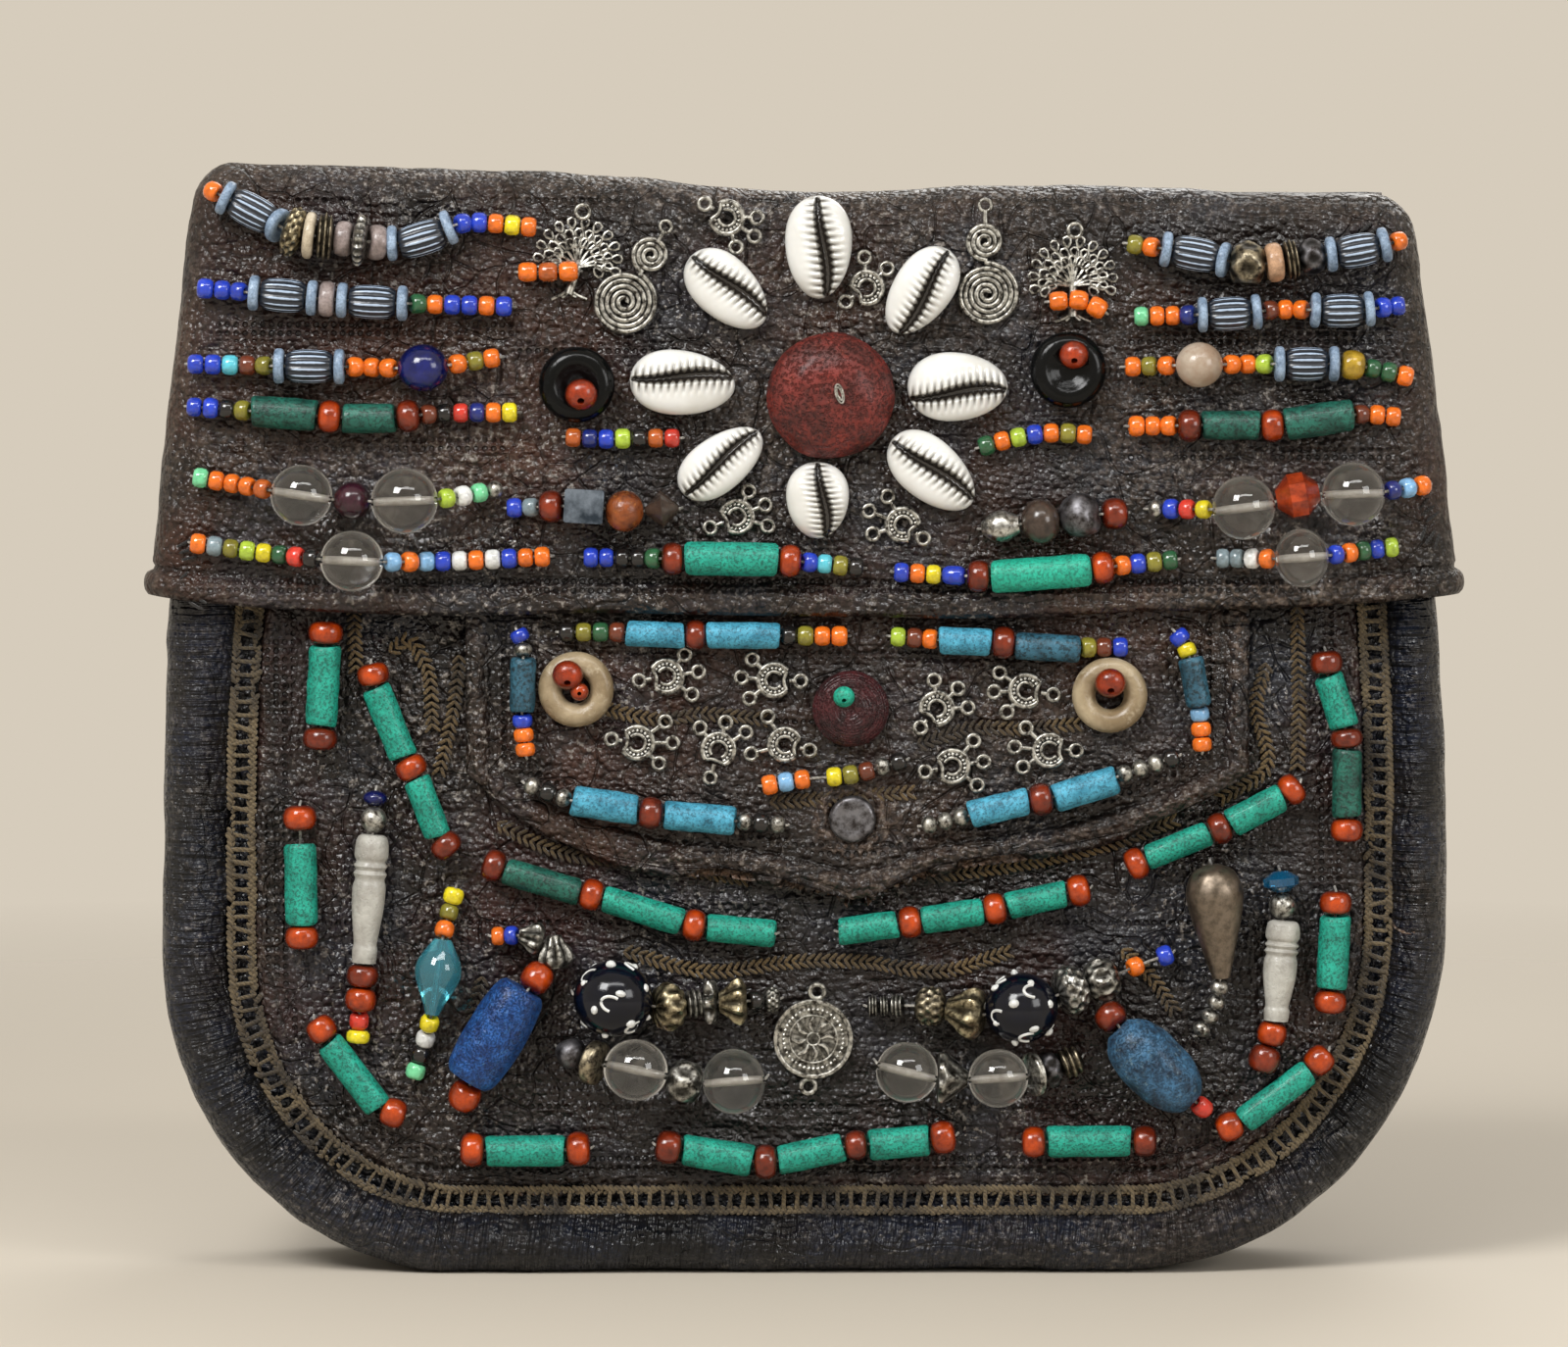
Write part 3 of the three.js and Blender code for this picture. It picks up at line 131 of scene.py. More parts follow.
def dressed(material, shader, colour, bump, gloss=None):
    """The material with its colour, its relief and its gloss joined to its shader."""
    for label, source in (("Base Color", colour), ("Normal", bump), ("Roughness", gloss)):
        if source is not None:
            material.node_tree.links.new(source, shader.inputs[label])
    return material


def layered(tree, place, colour, layers):
    """Lays colours over each other where their own noise is high. Each layer gives the size of its
    patches in millimetres, the noise's detail and roughness, where it starts and is full, how strong
    it is, and its colour."""
    for size, detail, rough, start, full, strength, over in layers:
        noise = add(tree, "TexNoise", {"Vector": place, "Scale": 1000 / size, "Detail": detail,
                                       "Roughness": rough})
        amount = add(tree, "MapRange", {0: noise, 1: start, 2: full, 4: strength})
        colour = add(tree, "Mix", {0: amount, 6: colour, 7: over}, 2, data_type="RGBA")
    return colour


def oiled_leather(name, colours, scuff="#6b5c50", roughness=0.42, sheen_patches=(0.5, 0.68, 0.65), painted_glints=0.8,
                  folds=0.0):
    """Goat leather tanned by hand and oiled until it is nearly black. Oil and dust give it brown patches,
    and blue-grey patches of painted sheen lie among them, 20 to 60 mm wide. Its pebbled grain is 1.3 mm;
    light catches on the grain's tops, and pale painted glints are added there, with painted shade in the
    dips between the pebbles and in its cracks. Edges are scuffed and rows of dots 1.8 mm apart are
    stamped in; the dots and the grooves get painted shade. The piece says where it is worn, grooved and
    stamped."""
    dark, mid, warm, blue = colours
    material, tree, shader, place = surface(name, roughness, Specular_IOR_Level=0.24, Coat_Weight=0.26,
                                            Coat_Roughness=0.2)
    # Brown patches of oil and dust, then blue-grey patches of painted sheen
    colour = layered(tree, place, dark, [(29, 3, 0.62, 0.35, 0.65, 1.0, mid),
                                         (59, 3, 0.65, 0.5, 0.7, 0.8, warm), (21, 2, 0.55, *sheen_patches, blue)])
    wear, groove, stamp = (add(tree, "Attribute", {}, "Fac", attribute_name=label)
                           for label in ("wear", "groove", "stamp"))

    # Cracks run between plates of about 9.5 mm, bent out of their straight lines, and only in some
    # places; they are painted near black as painted shade
    bend = add(tree, "TexNoise", {"Vector": place, "Scale": 1000 / 11, "Detail": 0.0}, 1)
    bend = add(tree, "VectorMath", {0: bend, "Scale": 0.012}, operation="SCALE")
    bent = add(tree, "VectorMath", {0: place, 1: bend}, operation="ADD")
    plates = add(tree, "TexVoronoi", {"Vector": bent, "Scale": 1000 / 9.5}, feature="DISTANCE_TO_EDGE")
    whole = add(tree, "MapRange", {0: plates, 1: 0.0, 2: 0.045})
    sound = add(tree, "TexNoise", {"Vector": place, "Scale": 1000 / 37, "Detail": 0.0})
    sound = add(tree, "MapRange", {0: sound, 1: 0.34, 2: 0.54, 3: 1.0, 4: 0.2})
    whole = add(tree, "Math", {0: whole, 1: sound}, operation="MAXIMUM")
    crack_shade = add(tree, "MapRange", {0: whole, 1: 0.0, 2: 1.0, 3: 0.5, 4: 0.0})
    colour = add(tree, "Mix", {0: crack_shade, 6: colour, 7: "#080605"}, 2, data_type="RGBA")

    fine = add(tree, "TexNoise", {"Vector": place, "Scale": 1000 / 1.6, "Detail": 2.0, "Roughness": 0.7})
    rubbed = add(tree, "MapRange", {0: fine, 1: 0.42, 2: 0.66})
    rubbed = add(tree, "Math", {0: wear, 1: rubbed}, operation="MULTIPLY")
    colour = add(tree, "Mix", {0: rubbed, 6: colour, 7: scuff}, 2, data_type="RGBA")
    # Painted glints: a pale grey put on the tops of the fine grain, in patches about 42 mm wide
    tops = add(tree, "MapRange", {0: fine, 1: 0.59, 2: 0.68})
    glint_patches = add(tree, "TexNoise", {"Vector": place, "Scale": 1000 / 42, "Detail": 1.0})
    glint_patches = add(tree, "MapRange", {0: glint_patches, 1: 0.42, 2: 0.62, 4: painted_glints})
    tops = add(tree, "Math", {0: tops, 1: glint_patches}, operation="MULTIPLY")
    colour = add(tree, "Mix", {0: tops, 6: colour, 7: "#8d867f"}, 2, data_type="RGBA")
    # Painted shade: grooves and seams are painted near black
    colour = add(tree, "Mix", {0: groove, 6: colour, 7: "#0b0807"}, 2, data_type="RGBA")

    # Stamped dots, pressed in and painted near black as painted shade in them
    flat = add(tree, "Mapping", {"Vector": place, "Scale": (1.0, 0.0, 1.0)})
    dots = add(tree, "TexVoronoi", {"Vector": flat, "Scale": 1000 / 1.8, "Randomness": 0.0})
    dots = add(tree, "MapRange", {0: dots, 1: 0.2, 2: 0.36, 3: 1.0, 4: 0.0})
    dots = add(tree, "Math", {0: dots, 1: stamp}, operation="MULTIPLY")
    pressed = add(tree, "Math", {0: dots, 1: 0.8}, operation="MULTIPLY")
    colour = add(tree, "Mix", {0: pressed, 6: colour, 7: "#0d0a09"}, 2, data_type="RGBA")
    pebbles = add(tree, "TexVoronoi", {"Vector": place, "Scale": 1000 / 1.3})
    # Painted shade: the dips between the pebbles are painted near black
    valley_shade = add(tree, "MapRange", {0: pebbles, 1: 0.45, 2: 0.8, 4: 0.55})
    colour = add(tree, "Mix", {0: valley_shade, 6: colour, 7: "#060505"}, 2, data_type="RGBA")

    # Creases lie across the bag, so their noise is drawn out along it
    drawn = add(tree, "Mapping", {"Vector": place, "Scale": (0.4, 1.0, 1.5)})
    height = add(tree, "TexNoise", {"Vector": drawn, "Scale": 1000 / 4.8, "Detail": 2.0,
                                    "Roughness": 0.62})
    for part, amount in ((pebbles, -0.38), (fine, 0.27), (whole, 0.27), (dots, -0.45)):
        height = add(tree, "Math", {0: part, 1: amount, 2: height}, operation="MULTIPLY_ADD")
    if folds:
        run, over = (add(tree, "Attribute", {}, "Fac", attribute_name=label) for label in ("run", "over"))
        along = add(tree, "CombineXYZ", {0: run, 1: over})
        cross = add(tree, "TexNoise", {"Vector": along, "Scale": 1.0, "Detail": 2.0})
        height = add(tree, "Math", {0: cross, 1: folds, 2: height}, operation="MULTIPLY_ADD")
    bump = add(tree, "Bump", {"Height": height, "Strength": 1.0, "Distance": 0.0017})
    gloss = add(tree, "TexNoise", {"Vector": place, "Scale": 1000 / 13, "Detail": 1.0})
    gloss = add(tree, "MapRange", {0: gloss, 1: 0.32, 2: 0.68, 3: roughness - 0.17, 4: roughness + 0.12})
    for label, source in (("Base Color", colour), ("Normal", bump), ("Coat Normal", bump),
                          ("Roughness", gloss)):
        tree.links.new(source, shader.inputs[label])
    return material


def glazed(name, colour, dark, roughness, spots=0.0, patch=2.4, coat=0.4, level=0.3, rim=0.0):
    """Pressed glass, or a glaze on clay: mottled in patches, glossy, and with dark pits a sixth of a
    patch wide where spots is more than 0. Towards its edges, as the surface turns from the eye, the
    colour darkens by rim: painted shade for light going through more glass there."""
    material, tree, shader, place = surface(name, roughness, Coat_Weight=coat, Coat_Roughness=0.06,
                                            Specular_IOR_Level=level)
    shade = layered(tree, place, colour, [(patch, 4, 0.65, 0.35, 0.68, 0.85, dark)])
    pits = add(tree, "TexNoise", {"Vector": place, "Scale": 6000 / patch, "Detail": 3.0,
                                  "Roughness": 0.7})
    pitted = add(tree, "MapRange", {0: pits, 1: 0.47, 2: 0.6, 4: spots})
    shade = add(tree, "Mix", {0: pitted, 6: shade, 7: "#0e1412"}, 2, data_type="RGBA")
    # Painted shade: the colour darkens where the surface turns away from the eye
    turned = add(tree, "LayerWeight", {"Blend": 0.5}, "Facing")
    turned = add(tree, "MapRange", {0: turned, 1: 0.12, 2: 0.7, 4: rim})
    shade = add(tree, "Mix", {0: turned, 6: shade, 7: dark}, 2, data_type="RGBA")
    bump = add(tree, "Bump", {"Height": pits, "Strength": 0.08 + 0.8 * spots, "Distance": 0.0004})
    return dressed(material, shader, shade, bump)


def old_metal(name, colour, dark, roughness=0.36, patch=1.1):
    """Cast or drawn metal, rubbed bright where hands reach it and dark where they don't. The piece
    says where its hollows are."""
    material, tree, shader, place = surface(name, roughness, Metallic=0.92)
    shade = layered(tree, place, dark, [(patch, 4, 0.65, 0.36, 0.6, 1.0, colour)])
    hollow = add(tree, "Attribute", {}, "Fac", attribute_name="recess")
    shade = add(tree, "Mix", {0: hollow, 6: shade, 7: "#16130f"}, 2, data_type="RGBA")
    worn = add(tree, "TexNoise", {"Vector": place, "Scale": 600 / patch, "Detail": 3.0})
    gloss = add(tree, "MapRange", {0: worn, 1: 0.3, 2: 0.7, 3: roughness - 0.1, 4: roughness + 0.2})
    bump = add(tree, "Bump", {"Height": worn, "Strength": 0.16, "Distance": 0.0002})
    return dressed(material, shader, shade, bump, gloss)


def seed_glass():
    """Drawn and tumbled glass: glossy, a little uneven, and in a colour that each bead carries with
    it."""
    material, tree, shader, place = surface("tumbled_seed_glass", 0.13, Coat_Weight=0.5,
                                            Coat_Roughness=0.06, Specular_IOR_Level=0.35)
    own = add(tree, "Attribute", {}, "Color", attribute_name="paint")
    shade = layered(tree, place, own, [(1.1, 3, 0.55, 0.42, 0.8, 0.5, "#2c1f18")])
    worn = add(tree, "TexNoise", {"Vector": place, "Scale": 1000 / 1.4, "Detail": 3.0})
    bump = add(tree, "Bump", {"Height": worn, "Strength": 0.16, "Distance": 0.0003})
    return dressed(material, shader, shade, bump)


def ribbed_glass():
    """Moulded dark glass with pale paste rubbed off its ribs; the bead says where the ribs are."""
    material, tree, shader, place = surface("ribbed_moulded_glass", 0.35, Coat_Weight=0.2)
    rib = add(tree, "Attribute", {}, "Fac", attribute_name="rib")
    worn = add(tree, "TexNoise", {"Vector": place, "Scale": 1000 / 1.2, "Detail": 3.0})
    rib = add(tree, "Math", {0: worn, 1: 0.35, 2: rib}, operation="MULTIPLY_ADD")
    rib = add(tree, "MapRange", {0: rib, 1: 0.88, 2: 1.02})
    shade = add(tree, "Mix", {0: rib, 6: "#161c26", 7: "#a9bacf"}, 2, data_type="RGBA")
    bump = add(tree, "Bump", {"Height": worn, "Strength": 0.4, "Distance": 0.0003})
    return dressed(material, shader, shade, bump)


def cowrie_shell():
    """Porcelain-like shell: polished and warm white, with painted shade grey between the teeth and dark
    in its mouth.
    """
    material, tree, shader, place = surface("polished_cowrie_shell", 0.22, Coat_Weight=0.5,
                                            Coat_Roughness=0.12, Subsurface_Weight=0.08,
                                            Subsurface_Radius=(0.004, 0.003, 0.002))
    shade = layered(tree, place, "#e2e1dc", [(9, 3, 0.55, 0.4, 0.75, 0.5, "#bdb9ae")])
    # Painted shade: grey between the teeth and in the mouth, near black in the middle of the opening
    for label, colour in (("mouth", "#625d54"), ("slit_shade", "#211c18")):
        amount = add(tree, "Attribute", {}, "Fac", attribute_name=label)
        shade = add(tree, "Mix", {0: amount, 6: shade, 7: colour}, 2, data_type="RGBA")
    worn = add(tree, "TexNoise", {"Vector": place, "Scale": 1000 / 2, "Detail": 3.0})
    bump = add(tree, "Bump", {"Height": worn, "Strength": 0.12, "Distance": 0.0003})
    return dressed(material, shader, shade, bump)


def spun_cord(name, light, dark):
    """Twisted cotton, dull and darkened in patches by oil. Its twist is drawn at 1.6 mm, coarser than
    it is, so that it shows."""
    material, tree, shader, place = surface(name, 0.85, Sheen_Weight=0.2)
    twist = add(tree, "TexWave", {"Vector": place, "Scale": 1000 / 1.6, "Distortion": 3.0}, 1,
                bands_direction="DIAGONAL")
    patchy = add(tree, "TexNoise", {"Vector": place, "Scale": 1000 / 3.3, "Detail": 3.0})
    amount = add(tree, "Math", {0: twist, 1: patchy}, operation="MULTIPLY")
    shade = add(tree, "Mix", {0: amount, 6: light, 7: dark}, 2, data_type="RGBA")
    shade = layered(tree, place, shade, [(13, 4, 0.65, 0.42, 0.62, 0.85, "#1a140f")])
    bump = add(tree, "Bump", {"Height": twist, "Strength": 0.5, "Distance": 0.0004})
    return dressed(material, shader, shade, bump)


def mottled(name, colour, dark, light, roughness, patch, bump, level=0.35):
    """Stone, horn, resin or fired clay worn by handling: mottled in patches, with pits a sixth of a
    patch wide."""
    material, tree, shader, place = surface(name, roughness, Coat_Weight=level / 3, Coat_Roughness=0.2,
                                            Specular_IOR_Level=level)
    shade = layered(tree, place, colour, [(patch, 5, 0.65, 0.38, 0.62, 1.0, dark),
                                          (patch / 2.6, 4, 0.7, 0.58, 0.74, 0.7, light)])
    pits = add(tree, "TexNoise", {"Vector": place, "Scale": 6000 / patch, "Detail": 3.0,
                                  "Roughness": 0.7})
    pits = add(tree, "MapRange", {0: pits, 1: 0.3, 2: 0.5})
    lumps = add(tree, "TexNoise", {"Vector": place, "Scale": 1500 / patch, "Detail": 3.0})
    height = add(tree, "Math", {0: pits, 1: lumps}, operation="ADD")
    relief = add(tree, "Bump", {"Height": height, "Strength": bump, "Distance": 0.0005})
    return dressed(material, shader, shade, relief)


FINISHES = {
    # Each leather's four colours: dark, mid, warm, and the blue-grey of its painted sheen
    "leather_flap": oiled_leather("oiled_leather_flap", ("#130e0d", "#241b18", "#3f2419", "#282a31")),
    "leather_pocket": oiled_leather("oiled_leather_pocket", ("#120e0e", "#221917", "#3b201c", "#232731"),
                                    "#57493f"),
    "leather_roll": oiled_leather("oiled_leather_roll", ("#0b0c0f", "#131419", "#201918", "#181d2b"),
                                  "#5a5049", 0.36,
                                  (0.42, 0.62, 0.8), 0.4, 2.2),
    "leather_under_flap": oiled_leather("oiled_leather_under_flap",
                                        ("#15100e", "#2a1e19", "#47291d", "#26262c"), "#5f4f44"),
    "leather_inside": oiled_leather("bare_leather_inside", ("#4a3526", "#5d4431", "#6b4a33", "#544a42"),
                                    "#85776a", 0.7),
    "braided_cord": spun_cord("crocheted_cotton_cord", "#6b5c42", "#2a2117"),
    "embroidery": spun_cord("embroidery_cotton", "#66522f", "#38291a"),
    "black_thread": spun_cord("black_cotton_thread", "#1b1a1a", "#0c0b0b"),
    "pale_thread": spun_cord("bare_cotton_thread", "#c9c4ba", "#8f897e"),
    "seed_glass": seed_glass(),
    # Pressed glass and paste
    "red_bead": glazed("red_orange_glass", "#c4480e", "#561406", 0.12, 0.1, 3.8, rim=0.85),
    "red_thread_bead": glazed("worn_red_glass", "#b03a10", "#4a1206", 0.14, 0.25, 3.8, rim=0.8),
    "dark_red_bead": glazed("dark_red_glass", "#8a3014", "#340d06", 0.12, 0.1, 3.8, rim=0.8),
    "pale_ring": glazed("blue_grey_glass", "#9db2c9", "#4d6077", 0.4, 0.35, 2.4, 0.15),
    "ribbed": ribbed_glass(),
    "lapis": glazed("deep_blue_glass", "#141d66", "#070a2c", 0.1, 0.1, 5, rim=0.7),
    "purple": glazed("garnet_glass", "#3f1a28", "#180a10", 0.12, 0.05, rim=0.7),
    "carnelian": glazed("polished_carnelian", "#b0421c", "#54180b", 0.1, 0.05, rim=0.7),
    "amber_glass": glazed("amber_glass", "#c4a032", "#6f5512", 0.1, 0.05, rim=0.6),
    "smoky": glazed("smoky_glass", "#4a3c33", "#1f1815", 0.08, 0.1),
    "navy_glass": glazed("navy_glass", "#080b18", "#04060d", 0.05, 0.0, level=0.16),
    "white_trail": glazed("white_glass_trail", "#e6e6e2", "#b9b9b4", 0.25),
    "drill_hole": glazed("ground_glass", "#a5a098", "#77726a", 0.4),
    # Glazed clay tubes, dull and granular
    "green_tube": glazed("green_glazed_clay", "#26a890", "#11705f", 0.42, 0.62, 3.4, 0.1),
    "bright_tube": glazed("bright_green_glazed_clay", "#2bb496", "#16846c", 0.4, 0.5, 3.4, 0.1),
    "dark_tube": glazed("dark_green_glazed_clay", "#256a5a", "#0d2b26", 0.36, 0.7, 4.5, 0.15),
    "turquoise_tube": glazed("turquoise_glazed_clay", "#56aecb", "#23687f", 0.42, 0.55, 3.4, 0.1),
    "dusk_tube": glazed("dusk_blue_glazed_clay", "#3a6b80", "#10222b", 0.38, 0.75, 5, 0.1),
    "mauve": glazed("ground_shell_disc", "#a39490", "#655752", 0.28, 0.25, 3.3),
    "cream": glazed("old_bone", "#cfc1a8", "#9a8a70", 0.5, 0.2),
    "tan": glazed("pale_clay", "#c39a78", "#8d6b50", 0.5, 0.2),
    # Clear glass and stone keep their own IOR, and the leather behind shows through them
    "quartz": surface("clear_quartz", 0.0, IOR=1.54, Transmission_Weight=1.0, Base_Color="#fbfcfc")[0],
    "sea_glass": surface("sea_green_glass", 0.04, IOR=1.5, Transmission_Weight=0.8, Coat_Weight=0.3,
                         Base_Color="#5cb9cb")[0],
    "teal_glass": surface("teal_glass", 0.04, IOR=1.5, Transmission_Weight=0.6, Coat_Weight=0.3,
                          Base_Color="#1a6a94")[0],
    # Metals
    "iron": old_metal("darkened_iron", "#77767a", "#332f2e", 0.42, 2),
    "silver": old_metal("tarnished_silver", "#b8b6ae", "#2f2a25"),
    "bright_silver": old_metal("rubbed_silver", "#cfcec8", "#5c574f", 0.28),
    "gold": old_metal("worn_gilt_brass", "#bfb291", "#463c2b", 0.34),
    "dark_brass": old_metal("dark_brass", "#a79c84", "#37312a", 0.38),
    "taupe": old_metal("brown_bronze", "#7d7164", "#5f564b", 0.36, 1.6),
    "steel": old_metal("blued_steel", "#8f9db0", "#3b4653", 0.2, 6),
    # Stone, horn, wood, resin and clay
    "agate": mottled("polished_agate", "#b9ad9c", "#97806b", "#7d5f4a", 0.2, 11, 0.1),
    "amber": mottled("amber_resin", "#8e4a22", "#4e2512", "#c27a35", 0.22, 4.5, 0.2),
    "white_glass": mottled("white_pressed_glass", "#bdbbb2", "#96928a", "#8a8476", 0.3, 7.7, 0.3),
    "blue_stone": mottled("blue_glazed_stone", "#2459a0", "#11336a", "#4a7fae", 0.4, 2.6, 1.1),
    "dusty_blue": mottled("dusty_blue_stone", "#3d6a8c", "#1b3247", "#7d979f", 0.55, 3.3, 1.0),
    "brick": mottled("burnished_red_clay", "#752820", "#451712", "#944433", 0.55, 5.2, 1.3),
    "maroon": mottled("lacquered_maroon_wood", "#451a1e", "#230c0f", "#6a3233", 0.36, 3.3, 0.9),
    "jet": mottled("polished_jet", "#08090a", "#040505", "#101213", 0.16, 8.3, 0.08, 0.16),
    "horn": mottled("polished_ox_horn", "#a8977a", "#7d6b50", "#c9bca2", 0.3, 11, 0.2),
    "shell": cowrie_shell(),
}

PAINTS = {
    "o": "#e8701c", "b": "#2440b8", "d": "#1b2a72", "y": "#e2cf22", "l": "#a9c43e", "v": "#837c2c",
    "m": "#74cf97", "w": "#dcdcd8", "k": "#161616", "r": "#cf3a2c", "s": "#a8a59c", "p": "#7fb0d8",
    "t": "#5cc2d2", "g": "#2b5b3a", "n": "#6b3320", "e": "#7f9096", "f": "#b85a22",
}


# ---------------------------------------------------------------- mesh helpers


def finish_piece(name, mesh, body, stands_for):
    """Puts a finished mesh on its body, in place of the nodes that it stands for."""
    piece = bpy.data.objects.new(name, mesh)
    scene.collection.objects.link(piece)
    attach(piece, body)
    if stands_for:
        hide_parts(*stands_for)
    return piece


def build_mesh(name, points, faces, finishes, which, values, sharp=40):
    """A mesh from millimetres on the drawing, with its finishes, smooth but for its sharp edges."""
    mesh = bpy.data.meshes.new(name)
    spots = np.asarray(points, dtype=float).reshape(-1, 3).copy()
    spots[:, 1] += SHIFT_Y
    mesh.from_pydata((spots / 1000).tolist(), [], [list(f) for f in faces])
    for label in finishes:
        mesh.materials.append(FINISHES[label])
    if which is not None:
        mesh.polygons.foreach_set("material_index", np.asarray(which, dtype=np.int32))
    for label, numbers in values.items():
        attribute = mesh.attributes.new(label, "FLOAT", "POINT")
        attribute.data.foreach_set("value", np.asarray(numbers, dtype=np.float32))
    work = bmesh.new()
    work.from_mesh(mesh)
    bmesh.ops.remove_doubles(work, verts=work.verts, dist=1e-6)
    bmesh.ops.recalc_face_normals(work, faces=work.faces)
    work.to_mesh(mesh)
    work.free()
    mesh.shade_smooth()
    mesh.set_sharp_from_angle(angle=math.radians(sharp))
    return mesh


def hash_noise(points, cell, seed):
    """Smooth noise from -1 to 1 at points, one value for each."""
    place = np.asarray(points, dtype=float) / cell
    base = np.floor(place).astype(np.int64)
    part = place - base
    part = part * part * (3 - 2 * part)
    total = np.zeros(len(place))
    for corner in range(8):
        step = np.array([corner & 1, corner >> 1 & 1, corner >> 2 & 1])
        at = base + step
        mixed = (at[:, 0] * 73856093) ^ (at[:, 1] * 19349663) ^ (at[:,
                                                                    2] * 83492791) ^ (seed * 2654435761)
        mixed &= 0xFFFFFFFF
        mixed = ((mixed ^ (mixed >> 13)) * 1274126177) & 0xFFFFFFFF
        mixed ^= mixed >> 16
        value = mixed / 0xFFFFFFFF * 2 - 1
        share = np.where(step == 1, part, 1 - part).prod(axis=1)
        total += value * share
    return total


def peak(value, at, width):
    """1 where value is at, and fading over width on both sides."""
    return np.exp(-((value - at) / width) ** 2)


def rumple(points, seed, large, middle, small):
    """How far worn leather stands in or out at each point, in millimetres."""
    return (large * hash_noise(points, 31, seed) + middle * hash_noise(points, 11, seed + 1)
            + small * hash_noise(points, 3.7, seed + 2) + 0.05 * hash_noise(points, 1.6, seed + 3))


def grid_faces(rows, columns, closed=False):
    """Faces between the points of a grid; a closed one joins its last column to its first."""
    faces = []
    across = columns if closed else columns - 1
    for r in range(rows - 1):
        for c in range(across):
            d = (c + 1) % columns
            faces.append((r * columns + c, r * columns + d, (r + 1) * columns + d, (r + 1) * columns + c))
    return faces


def grid_normals(points):
    """Normals of a grid of points, rows by columns."""
    down = np.gradient(points, axis=0)
    across = np.gradient(points, axis=1)
    normals = np.cross(across, down)
    return normals / np.maximum(np.linalg.norm(normals, axis=2, keepdims=True), 1e-9)


def smooth_course(points, count=160):
    """Points evenly spaced along a smooth curve through the given (x, z) points."""
    p = [np.array(q, dtype=float) for q in points]
    p = [2 * p[0] - p[1]] + p + [2 * p[-1] - p[-2]]
    dense = []
    for i in range(1, len(p) - 2):
        a, b, c, d = p[i - 1:i + 3]
        t1 = max(np.linalg.norm(b - a), 1e-6) ** 0.5
        t2 = t1 + max(np.linalg.norm(c - b), 1e-6) ** 0.5
        t3 = t2 + max(np.linalg.norm(d - c), 1e-6) ** 0.5
        for t in np.linspace(t1, t2, 40, endpoint=False):
            ab = a * (t1 - t) / t1 + b * t / t1
            bc = b * (t2 - t) / (t2 - t1) + c * (t - t1) / (t2 - t1)
            cd = c * (t3 - t) / (t3 - t2) + d * (t - t2) / (t3 - t2)
            abc = ab * (t2 - t) / t2 + bc * t / t2
            bcd = bc * (t3 - t) / (t3 - t1) + cd * (t - t1) / (t3 - t1)
            dense.append(abc * (t2 - t) / (t2 - t1) + bcd * (t - t1) / (t2 - t1))
    dense.append(p[-2])
    return even(np.array(dense), count)


def even(line, count):
    """The same line with its points evenly spaced."""
    line = np.asarray(line, dtype=float)
    steps = np.linalg.norm(np.diff(line, axis=0), axis=1)
    reach = np.concatenate([[0], np.cumsum(steps)])
    wanted = np.linspace(0, reach[-1], count)
    return np.stack([np.interp(wanted, reach, line[:, k]) for k in range(line.shape[1])], axis=1)


def length_of(line):
    """How long a line of points is."""
    return float(np.linalg.norm(np.diff(line, axis=0), axis=1).sum())


def tube(line, radius, sides):
    """A round tube along three-dimensional points; radius may differ from point to point."""
    line = np.asarray(line, dtype=float)
    radius = np.broadcast_to(radius, len(line))
    along = np.gradient(line, axis=0)
    along /= np.maximum(np.linalg.norm(along, axis=1, keepdims=True), 1e-9)
    up = np.array([0.0, -1.0, 0.0])
    side = np.cross(along, up)
    weak = np.linalg.norm(side, axis=1) < 1e-3
    side[weak] = [1.0, 0.0, 0.0]
    side /= np.linalg.norm(side, axis=1, keepdims=True)
    out = np.cross(side, along)
    turn = np.arange(sides) / sides * 2 * math.pi
    ring = side[:, None] * np.cos(turn)[None, :, None] + out[:, None] * np.sin(turn)[None, :, None]
    points = (line[:, None] + ring * radius[:, None, None]).reshape(-1, 3)
    faces = grid_faces(len(line), sides, closed=True)
    faces.append(tuple(range(sides)))
    faces.append(tuple((len(line) - 1) * sides + k for k in range(sides)))
    return points, faces


class Assembly:
    """Gathers bodies of one piece: points, faces, finishes and values at the points."""

    def __init__(self):
        self.points, self.faces, self.which, self.finishes = [], [], [], []
        self.values, self.count = {}, 0

    def add(self, points, faces, finish, **values):
        """Adds one body; a value that a body doesn't have is 0 on it."""
        points = np.asarray(points, dtype=float)
        if finish not in self.finishes:
            self.finishes.append(finish)
        index = self.finishes.index(finish)
        self.faces += [tuple(int(k) + self.count for k in f) for f in faces]
        self.which += [index] * len(faces)
        self.points.append(points)
        for label in set(values) | set(self.values):
            known = self.values.setdefault(label, [np.zeros(self.count)] if self.count else [])
            known.append(np.broadcast_to(values.get(label, 0.0), len(points)).astype(float))
        self.count += len(points)

    def finish(self, name, body, stands_for=(), slot=None, sharp=40):
        """Makes the piece."""
        values = {label: np.concatenate(parts) for label, parts in self.values.items()}
        mesh = build_mesh(name, np.concatenate(self.points), self.faces, self.finishes, self.which,
                          values, sharp)
        finish_piece(name, mesh, body, stands_for)


# ---------------------------------------------------------------- repeats, made with Geometry Nodes


